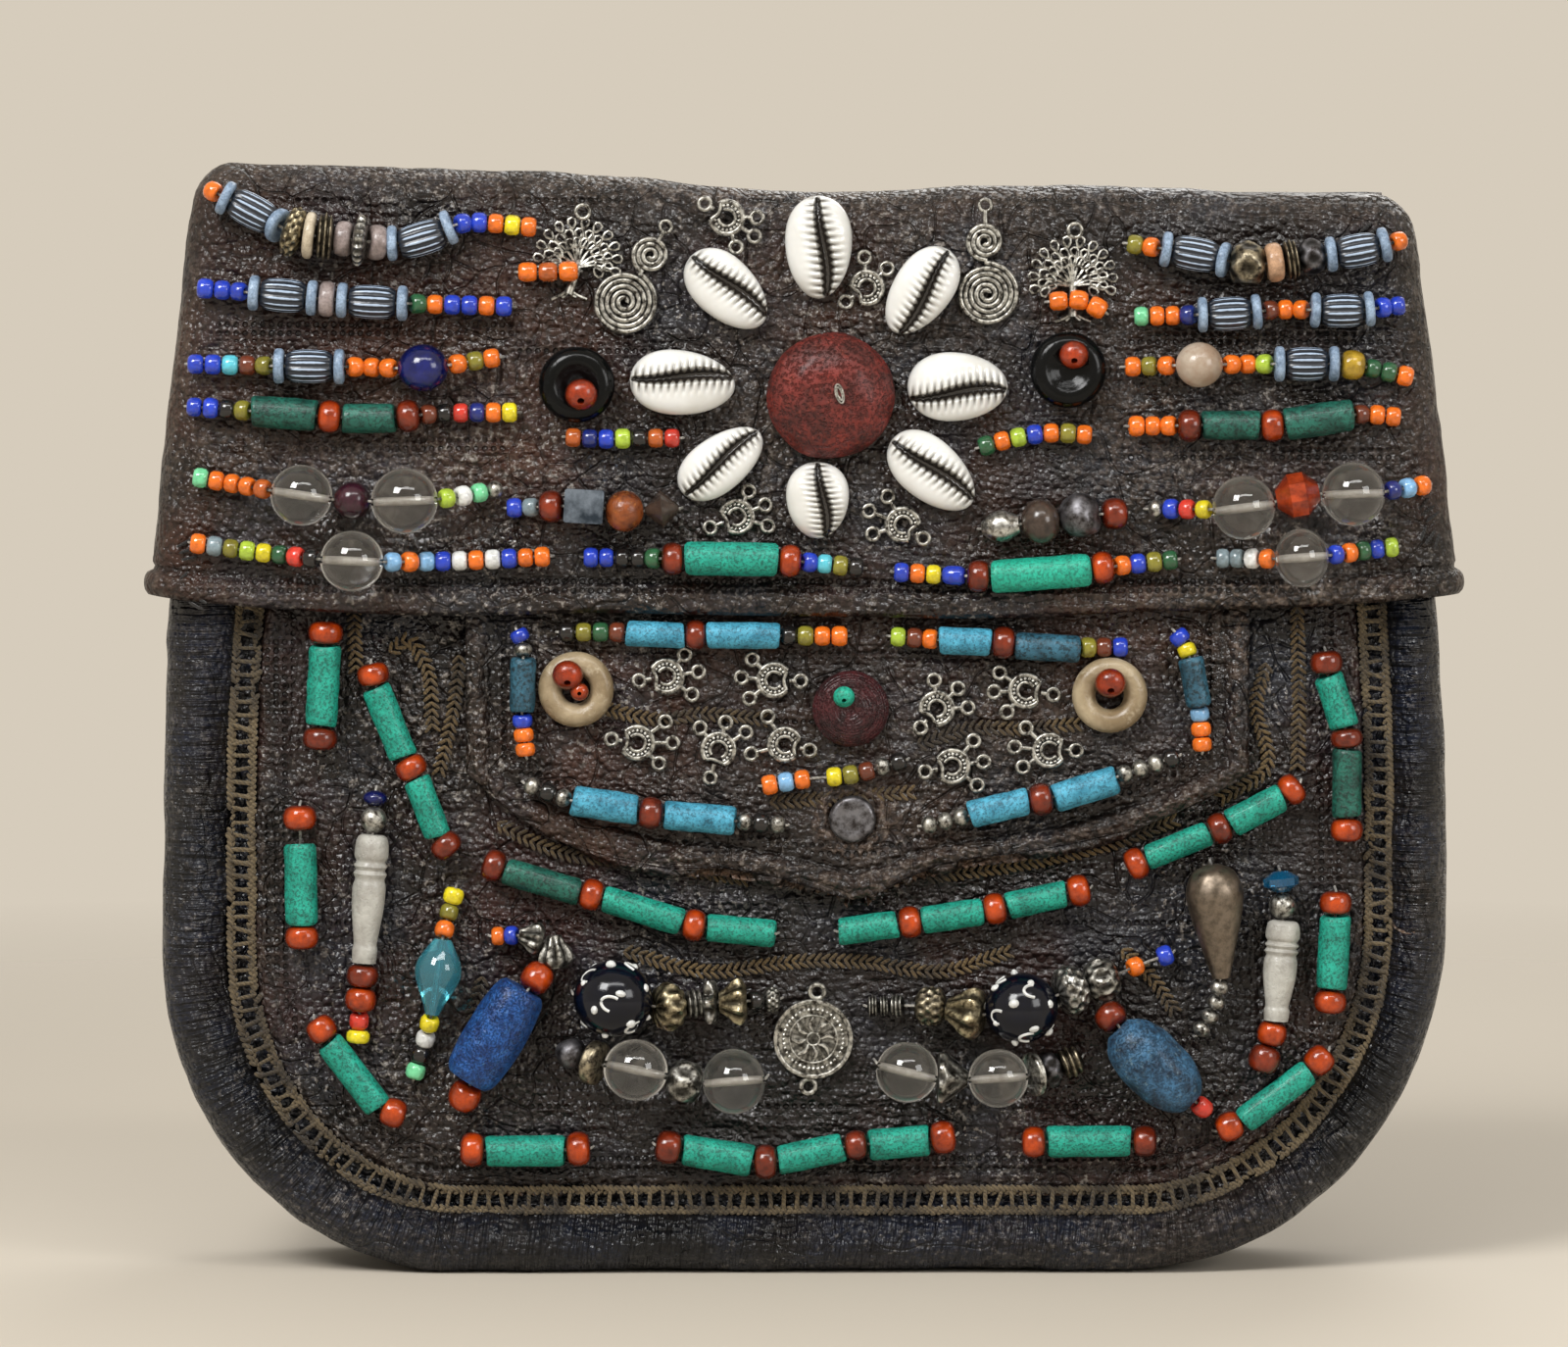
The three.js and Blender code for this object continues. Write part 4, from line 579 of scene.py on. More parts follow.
def repeat_tree():
    """Geometry Nodes: one small shape set down on every point, sized and turned as the point says."""
    tree = bpy.data.node_groups.new("set_down_on_points", "GeometryNodeTree")
    for label, kind, start in (("Geometry", "Geometry", None), ("Shape", "Object", None),
                               ("Size", "Float", 1.0), ("Size Spread", "Float", 0.0),
                               ("Turn Spread", "Float", 0.0), ("Seed", "Int", 7),
                               ("Finish", "Material", None)):
        socket = tree.interface.new_socket(label, in_out="INPUT", socket_type="NodeSocket" + kind)
        if start is not None:
            socket.default_value = start
    tree.interface.new_socket("Geometry", in_out="OUTPUT", socket_type="NodeSocketGeometry")
    given = add(tree, "NodeGroupInput", {}).node.outputs
    shape = add(tree, "GeometryNodeObjectInfo", {"Object": given["Shape"]}, "Geometry")
    size, turn = (add(tree, "GeometryNodeInputNamedAttribute", {"Name": label}, data_type="FLOAT_VECTOR")
                  for label in ("size", "turn"))
    chance = add(tree, "FunctionNodeRandomValue", {"Min": (-1, -1, -1), "Max": (1, 1, 1),
                                                   "Seed": given["Seed"]}, data_type="FLOAT_VECTOR")
    size = add(tree, "VectorMath", {0: size, "Scale": given["Size"]}, operation="SCALE")
    spread = add(tree, "VectorMath", {0: chance, "Scale": given["Size Spread"]}, operation="SCALE")
    size = add(tree, "VectorMath", {0: size, 1: spread, 2: size}, operation="MULTIPLY_ADD")
    sway = add(tree, "VectorMath", {0: chance, "Scale": given["Turn Spread"]}, operation="SCALE")
    turn = add(tree, "VectorMath", {0: turn, 1: sway}, operation="ADD")
    turn = add(tree, "FunctionNodeEulerToRotation", {0: turn})
    laid = add(tree, "GeometryNodeInstanceOnPoints", {"Points": given["Geometry"], "Instance": shape,
                                                      "Rotation": turn, "Scale": size})
    laid = add(tree, "GeometryNodeRealizeInstances", {0: laid})
    laid = add(tree, "GeometryNodeSetMaterial", {"Geometry": laid, "Material": given["Finish"]})
    tree.links.new(laid, tree.nodes.new("NodeGroupOutput").inputs[0])
    return tree


REPEAT = repeat_tree()


def set_down(name, shape, spots, finish, body, slot, stands_for=(), **inputs):
    """spots is a list of (point, turn, size) or (point, turn, size, paint): each gets one shape. The
    result is a plain mesh."""
    points = np.array([s[0] for s in spots], dtype=float)
    points[:, 1] += SHIFT_Y
    carrier_mesh = bpy.data.meshes.new(name + "_points")
    carrier_mesh.from_pydata((points / 1000).tolist(), [], [])
    columns = (("turn", "FLOAT_VECTOR", "vector"), ("size", "FLOAT_VECTOR", "vector"),
               ("paint", "FLOAT_COLOR", "color"))
    for (label, kind, field), column in zip(columns, range(1, len(spots[0]))):
        attribute = carrier_mesh.attributes.new(label, kind, "POINT")
        attribute.data.foreach_set(field, np.array([s[column] for s in spots], dtype=np.float32).ravel())
    carrier = bpy.data.objects.new(name + "_carrier", carrier_mesh)
    scene.collection.objects.link(carrier)
    modifier = carrier.modifiers.new("repeat", "NODES")
    modifier.node_group = REPEAT
    sockets = {s.name: s.identifier for s in REPEAT.interface.items_tree if s.in_out == "INPUT"}
    wanted = {"Shape": shape, "Finish": FINISHES[finish], "Size": 0.001}
    wanted.update({label.replace("_", " "): value for label, value in inputs.items()})
    for label, value in wanted.items():
        modifier[sockets[label]] = value
    bpy.context.view_layer.update()
    evaluated = carrier.evaluated_get(bpy.context.evaluated_depsgraph_get())
    mesh = bpy.data.meshes.new_from_object(evaluated)
    mesh.name = name
    bpy.data.objects.remove(carrier)
    mesh.shade_smooth()
    mesh.set_sharp_from_angle(angle=math.radians(50))
    finish_piece(name, mesh, body, stands_for)


def small_shape(name, points, faces):
    """A shape for set_down, in millimetres round its own middle and not shown itself."""
    mesh = bpy.data.meshes.new(name)
    mesh.from_pydata(np.asarray(points, dtype=float).tolist(), [], [list(f) for f in faces])
    work = bmesh.new()
    work.from_mesh(mesh)
    bmesh.ops.recalc_face_normals(work, faces=work.faces)
    work.to_mesh(mesh)
    work.free()
    return bpy.data.objects.new(name, mesh)


def spun(profile, sides, closed=True):
    """Turned round the X axis; profile is (place along X, radius). Closed profiles have a hole along
    the axis."""
    turn = np.arange(sides) / sides * 2 * math.pi
    profile = np.asarray(profile, dtype=float)
    points = np.stack([
        np.repeat(profile[:, 0], sides),
        (profile[:, 1][:, None] * np.cos(turn)).ravel(),
        (profile[:, 1][:, None] * np.sin(turn)).ravel(),
    ], axis=1)
    faces = grid_faces(len(profile), sides, closed=True)
    last = (len(profile) - 1) * sides
    if closed:
        faces += [(last + k, last + (k + 1) % sides, (k + 1) % sides, k) for k in range(sides)]
    else:
        faces += [tuple(range(sides)), tuple(last + k for k in range(sides))]
    return points, faces


SEED_SHAPE = small_shape("seed_shape", *spun(
    [(-0.36, 0.13), (-0.47, 0.24), (-0.44, 0.38), (-0.27, 0.48), (0, 0.5), (0.27, 0.48), (0.44, 0.38),
     (0.47, 0.24),
     (0.36, 0.13)], 12))
STITCH_SHAPE = small_shape("stitch_shape", *spun(
    [(-0.5, 0.2), (-0.32, 0.46), (0, 0.5), (0.32, 0.46), (0.5, 0.2)], 6, closed=False))
GRAIN_SHAPE = small_shape("grain_shape", *spun(
    [(-0.5, 0.12), (-0.3, 0.42), (0.1, 0.5), (0.4, 0.34), (0.5, 0.1)], 6, closed=False))


# ---------------------------------------------------------------- outlines of the leather


def body_side(z):
    """Half of the body's width at a height."""
    rise = np.maximum(0, (z - SIDE_FOOT) / (BODY_TOP - SIDE_FOOT))
    return BODY_WIDTH / 2 - SIDE_LEAN * rise ** 1.6


def body_outline(inset, top, shift=0.0):
    """The body from the front, moved inwards: from the top left, down and round, to the top right."""
    z = np.linspace(top, SIDE_FOOT, 60, endpoint=False)
    turn = np.linspace(0, math.pi / 2, 40)
    half = BODY_WIDTH / 2
    line = [np.stack([inset - body_side(z) + shift, z], 1)]
    across, up = LEFT_CORNER
    straight = np.linspace(SIDE_FOOT, up, 10, endpoint=False)
    line.append(np.stack([np.full(10, inset - half + shift), straight], 1))
    left = np.stack([shift - half + across - (across - inset) * np.cos(turn),
                     up - (up - inset) * np.sin(turn)], 1)
    across, up = RIGHT_CORNER
    right = np.stack([shift + half - across + (across - inset) * np.cos(turn),
                      up - (up - inset) * np.sin(turn)], 1)
    base = np.linspace(left[-1], right[-1], 52)[1:-1]
    straight = np.linspace(up, SIDE_FOOT, 10, endpoint=False)
    line += [left, base, right[::-1]]
    line.append(np.stack([np.full(10, half - inset + shift), straight], 1))
    line.append(np.stack([body_side(z[::-1]) - inset + shift, z[::-1]], 1))
    return np.concatenate(line)


def row_ends(outline, heights):
    """Left and right end of the outline at each height."""
    split = len(outline) // 2
    left, right = outline[:split][::-1], outline[split:]
    return (np.interp(heights, left[:, 1], left[:, 0]), np.interp(heights, right[:, 1], right[:, 0]))


def panel_grid(outline, low, top, rows, columns, power, y):
    """Points and faces of a flat grid at y between the outline's sides, its rows closer together near
    low."""
    heights = low + (top - low) * np.linspace(0, 1, rows) ** power
    left, right = row_ends(outline, heights)
    x = left[:, None] + (right - left)[:, None] * np.linspace(0, 1, columns)
    z = np.repeat(heights[:, None], columns, axis=1)
    return np.stack([x.ravel(), np.full(x.size, y), z.ravel()], 1), grid_faces(rows, columns)


def under_flap_outline():
    """The under flap from its top left, down to its point, and up to its top right."""
    half, side, point = UNDER_FLAP_HALF, UNDER_FLAP_SIDE, UNDER_FLAP_POINT
    t = np.linspace(0, 1, 60)[:, None]
    a, b, c = np.array([-half, side]), np.array([-0.7 * half, point + 6]), np.array([0.0, point])
    left = (1 - t) ** 2 * a + 2 * t * (1 - t) * b + t ** 2 * c
    down = np.stack([np.full(60, -half), np.linspace(UNDER_FLAP_TOP, side, 60, endpoint=False)], 1)
    line = np.concatenate([down, left])
    line = np.concatenate([line, line[::-1] * [-1, 1]])
    line[:, 0] += UNDER_FLAP_MIDDLE
    return line


def edge_distance(points, outline):
    """Shortest distance from each (x, z) point to the outline, in millimetres."""
    best = np.full(len(points), 1e9)
    for start in range(0, len(outline), 40):
        part = outline[start:start + 40]
        gap = np.linalg.norm(points[:, None] - part[None], axis=2).min(axis=1)
        best = np.minimum(best, gap)
    return best


def leather_piece(name, points, faces, values, finish, body, thickness, stands_for):
    """A leather skin with thickness behind it, bare on its inside; points lie on its outer face."""
    mesh = build_mesh(name, points, faces, [finish, "leather_inside"], None, values, sharp=75)
    piece = finish_piece(name, mesh, body, stands_for)
    solidify = piece.modifiers.new("thickness", "SOLIDIFY")
    solidify.thickness = thickness / 1000
    solidify.offset = -1
    solidify.material_offset = 1
    solidify.material_offset_rim = 0
    return piece


# ---------------------------------------------------------------- body of the bag


def make_body():
    """One lofted skin for the padded roll, the turned edge, the gusset and the edge of the back, and
    the two walls between. The section is (inset, y), from the back to the front."""
    section = [(9, 22.2), (5, 22.5), (2.4, 21.6), (0.9, 19.9), (0.2, 17), (0, 12), (-0.3, 4), (-0.4, -4),
               (0, -12), (0.1, -17), (0.4, -20.2), (1.2, -23), (2.6, -25.3), (4.4, -26.7), (6.4, -27.3),
               (8.4, -26.9), (10, -25.6), (11.1, -23.9), (11.6, -22.6), (12.2, -21.6)]
    section = even(np.array(section), 56)
    rings = []
    for inset, y in section:
        share = min(1, max(0, (inset - 0.8) / 10.6)) if y < 0 else 0
        line = body_outline(max(inset, 0), BODY_TOP, share * PANEL_SHIFT)
        if inset < 0:
            centre = np.array([0, BODY_MIDDLE])
            line = line + (line - centre) / np.linalg.norm(line - centre, axis=1, keepdims=True) * -inset
        rings.append(np.stack([line[:, 0], np.full(len(line), y), np.maximum(line[:, 1], 0.15)], 1))
    points = np.stack(rings)
    normals = grid_normals(points)
    middle = np.array([0, 0, BODY_MIDDLE])
    facing = np.sign(((points - middle) * normals).sum(axis=2).mean())
    normals *= facing
    flat = points.reshape(-1, 3)
    lump = rumple(flat, 11, 0.5, 0.4, 0.18).reshape(points.shape[:2])
    lump *= np.clip(np.abs(section[:, 1] + 4) / 10, 0.4, 1)[:, None]
    lump += 0.9 * peak(section[:, 1], -21, 5)[:, None] - 0.1
    points = points + normals * lump[..., None]
    points[..., 2] = np.maximum(points[..., 2], 0.0)
    patchy = np.clip(0.3 + hash_noise(flat, 40, 5).reshape(points.shape[:2]), 0, 1)
    wear = np.clip((-20 - points[..., 1]) / 4, 0, 1) * patchy
    groove = peak(section[:, 0], 11.6, 0.6) * (section[:, 1] < 0)
    run = np.concatenate([[0], np.cumsum(np.linalg.norm(np.diff(points[20], axis=0), axis=1))])
    # run and over say how far along and over the roll a point lies, for the folds across it
    over = np.arange(len(points)) * 0.09
    values = {"wear": wear.ravel() * 0.5, "groove": np.repeat(groove, points.shape[1]),
              "run": np.tile(run * 0.75, len(points)), "over": np.repeat(over, points.shape[1])}
    shell = leather_piece("body_shell", points.reshape(-1, 3), grid_faces(*points.shape[:2]), values,
                          "leather_roll", "bag", 2.2, ("side_gusset", "border_roll"))

    make_wall("front_skin", -1, WALL_FRONT, ("front_wall",), 9.0, BODY_TOP)
    make_wall("back_skin", 1, BODY_DEPTH / 2, ("back_panel",), 2.0, 218.9)


def make_wall(name, way, y, stands_for, inset, top):
    """A wall of the bag; way is -1 for the front and 1 for the back, which bulges."""
    outline = body_outline(inset, top)
    flat, faces = panel_grid(outline, inset, top, 130, 180, 1.5, y)
    bulge = 1.2 * np.clip(edge_distance(flat[:, [0, 2]], outline) / 30, 0, 1) if way > 0 else 0.0
    flat[:, 1] += way * (bulge + rumple(flat, 23, 0.5, 0.2, 0.08) * 0.6 - 0.3)
    wear = np.clip(hash_noise(flat, 45, 9), 0, 1) * 0.5
    leather_piece(name, flat, faces, {"wear": wear, "groove": np.zeros(len(flat))}, "leather_roll", "bag",
                  LEATHER, stands_for)


def make_pocket():
    """The pocket's panel, with a turned edge, a seam, two pleats along it and stamped rows."""
    outline = body_outline(POCKET_INSET, POCKET_TOP, PANEL_SHIFT)
    flat, faces = panel_grid(outline, outline[:, 1].min(), POCKET_TOP, 176, 266, 1.25, POCKET_FRONT)
    edge = edge_distance(flat[:, [0, 2]], outline)
    edge = np.where(flat[:, 2] > 130, np.minimum(edge, 100), edge)
    drop = 1.6 * np.clip(1 - edge / 2.2, 0, 1) ** 2
    pleats = 0.42 * peak(edge, 8.6, 0.9) + 0.3 * peak(edge, 12.6, 0.8)
    drop -= pleats * np.clip(0.5 + 1.2 * hash_noise(flat, 26, 51), 0, 1) * (flat[:, 2] < 140)
    seam = peak(edge, 3.4, 0.5)
    flat[:, 1] -= rumple(flat, 41, 0.5, 0.34, 0.16) * np.clip(edge / 4, 0.2, 1) - 0.35
    flat[:, 1] += drop + 0.45 * seam
    worn = np.clip(hash_noise(flat, 38, 31) * 1.4, 0, 1) * 0.6 + 0.5 * np.clip(1 - edge / 3, 0, 1)
    rows = [(-108, 110, 71, 73), (-108, 110, 20, 22), (-60, 70, 33, 35), (-112, -106, 60, 130),
            (104, 108, 60, 130)]
    stamp = stamped(flat, rows, 17) + peak(edge, 6, 0.9)
    values = {"wear": np.clip(worn, 0, 1), "groove": 0.6 * seam, "stamp": np.clip(stamp, 0, 1)}
    leather_piece("pocket_skin", flat, faces, values, "leather_pocket", "bag", 2.1, ("pocket_panel",))


def make_under_flap():
    """The pointed under flap, with a thick rim, a groove inside it and a swelling round the press
    stud."""
    outline = under_flap_outline()
    flat, faces = panel_grid(outline, outline[:, 1].min() + 0.2, UNDER_FLAP_TOP, 150, 240, 1.6,
                             UNDER_FLAP_FRONT)
    edge = edge_distance(flat[:, [0, 2]], outline[5:-5])
    rim = np.clip(1 - np.abs(edge - 2.3) / 2.4, 0, 1) ** 0.6
    groove = peak(edge, 5.2, 0.6)
    flat[:, 1] -= rumple(flat, 61, 0.45, 0.3, 0.14) * 0.9 - 0.25
    flat[:, 1] -= 1.3 * rim * np.clip((134 - flat[:, 2]) / 4, 0, 1) - 0.4 * groove
    # Its lower edge is uneven: how far it is shifted up or down from a plain curve, from left to right
    shift = np.interp(flat[:, 0], [-69, -60, -51, -38, -27, -17, -5, 4, 10.4, 17, 22, 28, 36, 44, 54, 66,
                                   88], [0, -2.2, -3.6, -3.2, -2.2, 0.4, 0.4, -1.2, -2.2, -0.6, 1.4, 2.9,
                                         3.0, 2.4, 1.6, 0.7, 0])
    low_edge = np.interp(flat[:, 0], *outline[outline[:, 1] < 110].T)
    flat[:, 2] += shift * np.clip(1 - (flat[:, 2] - low_edge) / 14, 0, 1)
    stud = np.hypot(flat[:, 0] - SNAP_PLACE[0], flat[:, 2] - SNAP_PLACE[1])
    flat[:, 1] -= 0.7 * peak(stud, 6.4, 1.3)
    wear = np.clip(0.5 * rim + np.clip(hash_noise(flat, 22, 71), 0, 1) * 0.6 + peak(stud, 6.4, 2), 0, 1)
    stamp = stamped(flat, [(-52, 72, 112.6, 114.6), (-48, 66, 126, 128)], 27)
    stamp = stamp * (edge > 8) + peak(edge, 8, 0.9)
    values = {"wear": wear, "groove": 0.5 * groove, "stamp": np.clip(stamp, 0, 1)}
    leather_piece("under_flap_skin", flat, faces, values, "leather_under_flap", "bag", 2.0,
                  ("under_flap",))


def stamped(points, rows, seed):
    """Where rows of small dots are pressed into the leather; rows are (x from, x to, z from, z to)."""
    mark = np.zeros(len(points))
    for x0, x1, z0, z1 in rows:
        inside_x = np.clip(np.minimum(points[:, 0] - x0, x1 - points[:, 0]) / 2, 0, 1)
        inside_z = np.clip(np.minimum(points[:, 2] - z0, z1 - points[:, 2]) / 0.8, 0, 1)
        mark = np.maximum(mark, inside_x * inside_z)
    return mark * np.clip(0.75 + hash_noise(points, 9, seed), 0, 1)


# ---------------------------------------------------------------- large flap


def flap_side(z):
    """Half of the flap's width at a height."""
    drop = (BODY_TOP - z) / (BODY_TOP - FLAP_LOW)
    return body_side(z) + LEATHER + 0.6 + 1.3 * drop


def flap_crest(x):
    """Height of the flap's top edge, which falls to the right and is pressed in at its middle."""
    return 224.5 - 7.2 * x / BODY_WIDTH - 2 * peak(x, 0, 25)


def flap_return(z):
    """How far back the side of the flap reaches at a height: a strip up to the hinge, a curve, then
    nearly straight down to the hem."""
    edge = FLAP_FRONT + RETURN
    strip = HINGE_HEIGHT - RETURN
    curve_foot = strip - RETURN_CURVE
    low = edge + 2 * np.clip((z - 125) / (curve_foot - 125), 0, 1)
    t = np.clip((z - curve_foot) / RETURN_CURVE, 0, 1)
    curve = edge + 2 + 2 * 2 * t * (1 - t) + 24 * (1 - np.sqrt(1 - t)) ** 1.2
    return np.where(z >= strip, HINGE_Y, np.where(z > curve_foot, curve, low))


def make_flap():
    """The boxed flap: rows of points from the hem up over the rounded crest, then the top back to the
    hinge."""
    radius, depth_steps, arc_steps, front_steps, rise_steps, round_steps = FLAP_ROUND, 34, 8, 260, 96, 7
    back_top = HINGE_HEIGHT + LEATHER / 2
    inner_front = FLAP_FRONT + radius

    def top_height(x, y):
        share = np.clip((y - inner_front) / (HINGE_Y - inner_front), 0, 1)
        return flap_crest(x) * (1 - share) + back_top * share

    rows = []
    share = np.linspace(0, 1, depth_steps + 1)
    for r in range(rise_steps + round_steps + 1):
        bend = max(0, r - rise_steps) / round_steps * math.pi / 2
        t = min(1, r / rise_steps)
        inward, reach = radius * (1 - math.cos(bend)), radius * math.cos(bend)

        def level(top):
            return FLAP_LOW + t * (top - radius - FLAP_LOW) + radius * math.sin(bend)

        left, right = [], []
        guess = level(float(flap_crest(0)))
        back = float(flap_return(guess)) if bend == 0 else HINGE_Y
        half = float(flap_side(guess))
        for side, store in ((-1, left), (1, right)):
            for s in share[:-1]:
                y = back + (inner_front - back) * s
                store.append((side * (half - inward), y, level(float(top_height(side * half, y)))))
            for a in np.linspace(0, math.pi / 2, arc_steps + 1):
                x = half - radius + reach * math.cos(a)
                y = inner_front - reach * math.sin(a)
                store.append((side * x, y, level(float(flap_crest(side * x)))))
        span = half - radius
        xs = np.linspace(-span, span, front_steps + 1)[1:-1]
        front = np.stack([xs, np.full(len(xs), inner_front - reach), level(flap_crest(xs))], 1)
        rows.append(np.concatenate([np.array(left), front, np.array(right)[::-1]]))
    grid = np.stack(rows)
    columns = grid.shape[1]
    points = [grid.reshape(-1, 3)]
    faces = grid_faces(len(grid), columns)
    offset = (len(grid) - 1) * columns
    corner_left = depth_steps + arc_steps
    corner_right = columns - 1 - corner_left
    previous = [offset + k for k in range(corner_left, corner_right + 1)]
    top = grid[-1]
    start = grid.size // 3
    for k in range(1, depth_steps + 1):
        left_index = offset + depth_steps - k
        right_index = offset + columns - 1 - (depth_steps - k)
        y = top[depth_steps - k][1]
        half = top[columns - 1 - (depth_steps - k)][0]
        xs = np.linspace(-half, half, front_steps + 1)[1:-1]
        row = np.stack([xs, np.full(len(xs), y), top_height(xs, y)], 1)
        points.append(row)
        current = [left_index, *range(start, start + len(xs)), right_index]
        start += len(xs)
        faces += [(previous[i], previous[i + 1], current[i + 1], current[i])
                  for i in range(len(current) - 1)]
        previous = current
    flat = np.concatenate(points)

    # Outwards at each point, then the rolled hem, its groove and ridge, the sag and the lumps along it
    height = flat[:, 2] - FLAP_LOW
    out = np.zeros_like(flat)
    front = np.clip((inner_front - flat[:, 1]) / radius, 0, 1)
    side = np.clip((np.abs(flat[:, 0]) - flap_side(flat[:, 2]) + radius) / radius, 0, 1)
    above = np.clip((flat[:, 2] - (top_height(flat[:, 0], flat[:, 1]) - radius)) / radius, 0,
                    1) * (1 - front * 0.3)
    out[:, 1] = -front
    out[:, 0] = np.sign(flat[:, 0]) * side
    out[:, 2] = above
    out /= np.maximum(np.linalg.norm(out, axis=1, keepdims=True), 1e-6)
    hem = np.sqrt(np.clip(1 - ((height - 2.9) / 3.0) ** 2, 0, 1))
    groove = peak(height, 6.8, 0.7)
    ridge = peak(height, 8.4, 0.8)
    sag = 1.3 * peak(flat[:, 0], 0, 26) * peak(flat[:, 2], 224, 16)
    lump = rumple(flat, 83, 0.5, 0.36, 0.2) - 0.3
    flat = flat + out * (lump + 1.5 * hem - 0.5 * groove + 0.15 * ridge - sag)[:, None]
    wave = 0.9 * hash_noise(np.stack([flat[:, 0], 0 * flat[:, 0], 0 * flat[:, 0]], 1), 38, 91)
    hang = 4.2 * np.abs(flat[:, 0] / 134) ** 5 - 0.9 * peak(flat[:, 0], 6, 60)
    flat[:, 2] += (wave * 0.9 + hang) * np.clip(1 - height / 25, 0, 1)
    corner = np.clip((side - 0.35) * 1.5, 0, 1) * np.clip(front, 0, 1)
    wear = np.clip(0.45 * corner + 0.3 * hem + np.clip(hash_noise(flat, 34, 97), 0, 1) * 0.55
                   + 0.5 * np.clip(front * above * 2, 0, 1), 0, 1)
    rows = [(-128, 128, 139.5, 143.6), (-120, -58, 191, 195.4), (-118, -60, 168, 171.6),
            (64, 122, 190, 193), (64, 122, 166, 169.6), (-60, -28, 188, 191), (-122, 122, 218.4, 220.2)]
    values = {"wear": wear, "groove": 0.7 * groove, "stamp": stamped(flat, rows, 7)}
    leather_piece("flap_skin", flat, faces, values, "leather_flap", "flap", 2.2, ("flap",))

    # The leather bends over in a roll along the hinge
    line = np.stack([np.linspace(-122, 122, 120), np.full(120, HINGE_Y), np.full(120, HINGE_HEIGHT)], 1)
    wobble = 1.7 + 0.15 * hash_noise(line, 9, 3)
    points, faces = tube(line, wobble, 14)
    mesh = build_mesh("hinge_roll", points, faces, ["leather_flap"], None,
                      {"wear": np.full(len(points), 0.4), "groove": np.zeros(len(points))})
    finish_piece("hinge_roll", mesh, "flap", ())


def make_strap_loops():
    """Two loops sewn to the back; each is a bent strip, given as heights and how far it stands off."""
    low = 184.0
    for node in ("strap_loop_left", "strap_loop_right"):
        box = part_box(node)
        middle = (box[0][0] + box[1][0]) * 500
        height = np.array([0, 1.6, 3.4, 6, 9, 13, 17, 20, 22.6, 24.4, 26])
        stand = np.array([1.2, 1.3, 2.2, 4.6, 6.1, 6.5, 6.1, 4.6, 2.2, 1.3, 1.2])
        line = even(np.stack([height, stand], 1), 40)
        across = np.linspace(-8, 8, 18)
        points, wear = [], []
        for h, s in line:
            for a in across:
                points.append((middle + a, BODY_DEPTH / 2 + SEAT + s, low + h))
                wear.append(0.8 if abs(a) > 7 else 0.2)
        points = np.array(points)
        points[:, 1] += 0.15 * hash_noise(points, 4, 5)
        mesh = build_mesh(node + "_skin", points, grid_faces(len(line), 18), ["leather_roll"], None,
                          {"wear": wear, "groove": np.zeros(len(points))})
        piece = finish_piece(node + "_skin", mesh, "bag", (node,))
        solidify = piece.modifiers.new("thickness", "SOLIDIFY")
        solidify.thickness = 0.0022
        solidify.offset = 0


# ---------------------------------------------------------------- beads


def rounded(length, radius, hole, square, steps=18):
    """Profile of a ring whose section is a rectangle with well rounded corners."""
    turn = np.arange(steps) / steps * 2 * math.pi
    across, out = np.cos(turn), np.sin(turn)
    across = np.sign(across) * np.abs(across) ** square * length / 2
    out = (radius + hole) / 2 + np.sign(out) * np.abs(out) ** square * (radius - hole) / 2
    return np.stack([across, out], 1)


def sphere_profile(length, radius, hole, steps):
    """Profile of a pierced ball."""
    start = math.asin(min(0.95, hole / radius))
    turns = np.linspace(start, math.pi - start, steps)
    return [(-length / 2 * math.cos(a), radius * math.sin(a)) for a in turns]


def shaped(length, radius, outline, hole, steps):
    """Profile through (place, share of the radius) pairs, with place from -1 to 1."""
    at = np.linspace(outline[0][0], outline[-1][0], steps)
    curve = smooth_course([(a * 10, b * 10) for a, b in outline], 200) / 10
    share = np.interp(at, curve[:, 0], curve[:, 1])
    body = [(a * length / 2, max(hole, s * radius)) for a, s in zip(at, share)]
    return [(body[0][0], hole)] + body + [(body[-1][0], hole)]


def knobs(points, length, around, along, amount):
    """Rows of grains round a metal bead, as a change of its radius, and how deep each point lies."""
    angle = np.arctan2(points[:, 2], points[:, 1])
    wave = np.cos(around * angle) * np.cos(along * math.pi * points[:, 0] / length)
    grown = points.copy()
    grown[:, 1:] *= (1 + amount * wave)[:, None]
    return grown, np.clip(0.5 - wave, 0, 1) * 0.9


def flipped(half):
    """The right half of a profile from its left half."""
    return [(-x, r) for x, r in reversed(half)]


# Outlines as (place, share of the radius), with place from -1 to 1
ROUND_OUTLINE = [(-1, 0.5), (-0.75, 0.85), (-0.3, 1), (0.3, 1), (0.75, 0.85), (1, 0.5)]
METAL_OUTLINES = {
    "disc": [(-1, 0.55), (-0.7, 0.95), (0, 1), (0.7, 0.95), (1, 0.55)],
    "flower": [(-1, 0.45), (-0.5, 0.62), (0.1, 0.9), (0.6, 1), (1, 0.7)],
}
OVAL = [(-1, 0.42), (-0.8, 0.74), (-0.35, 0.98), (0.1, 1), (0.5, 0.92), (0.85, 0.66), (1, 0.4)]
BLUE_OVAL = [(-1, 0.7), (-0.9, 0.84), (-0.5, 0.96), (0, 1), (0.5, 0.96), (0.9, 0.84), (1, 0.7)]
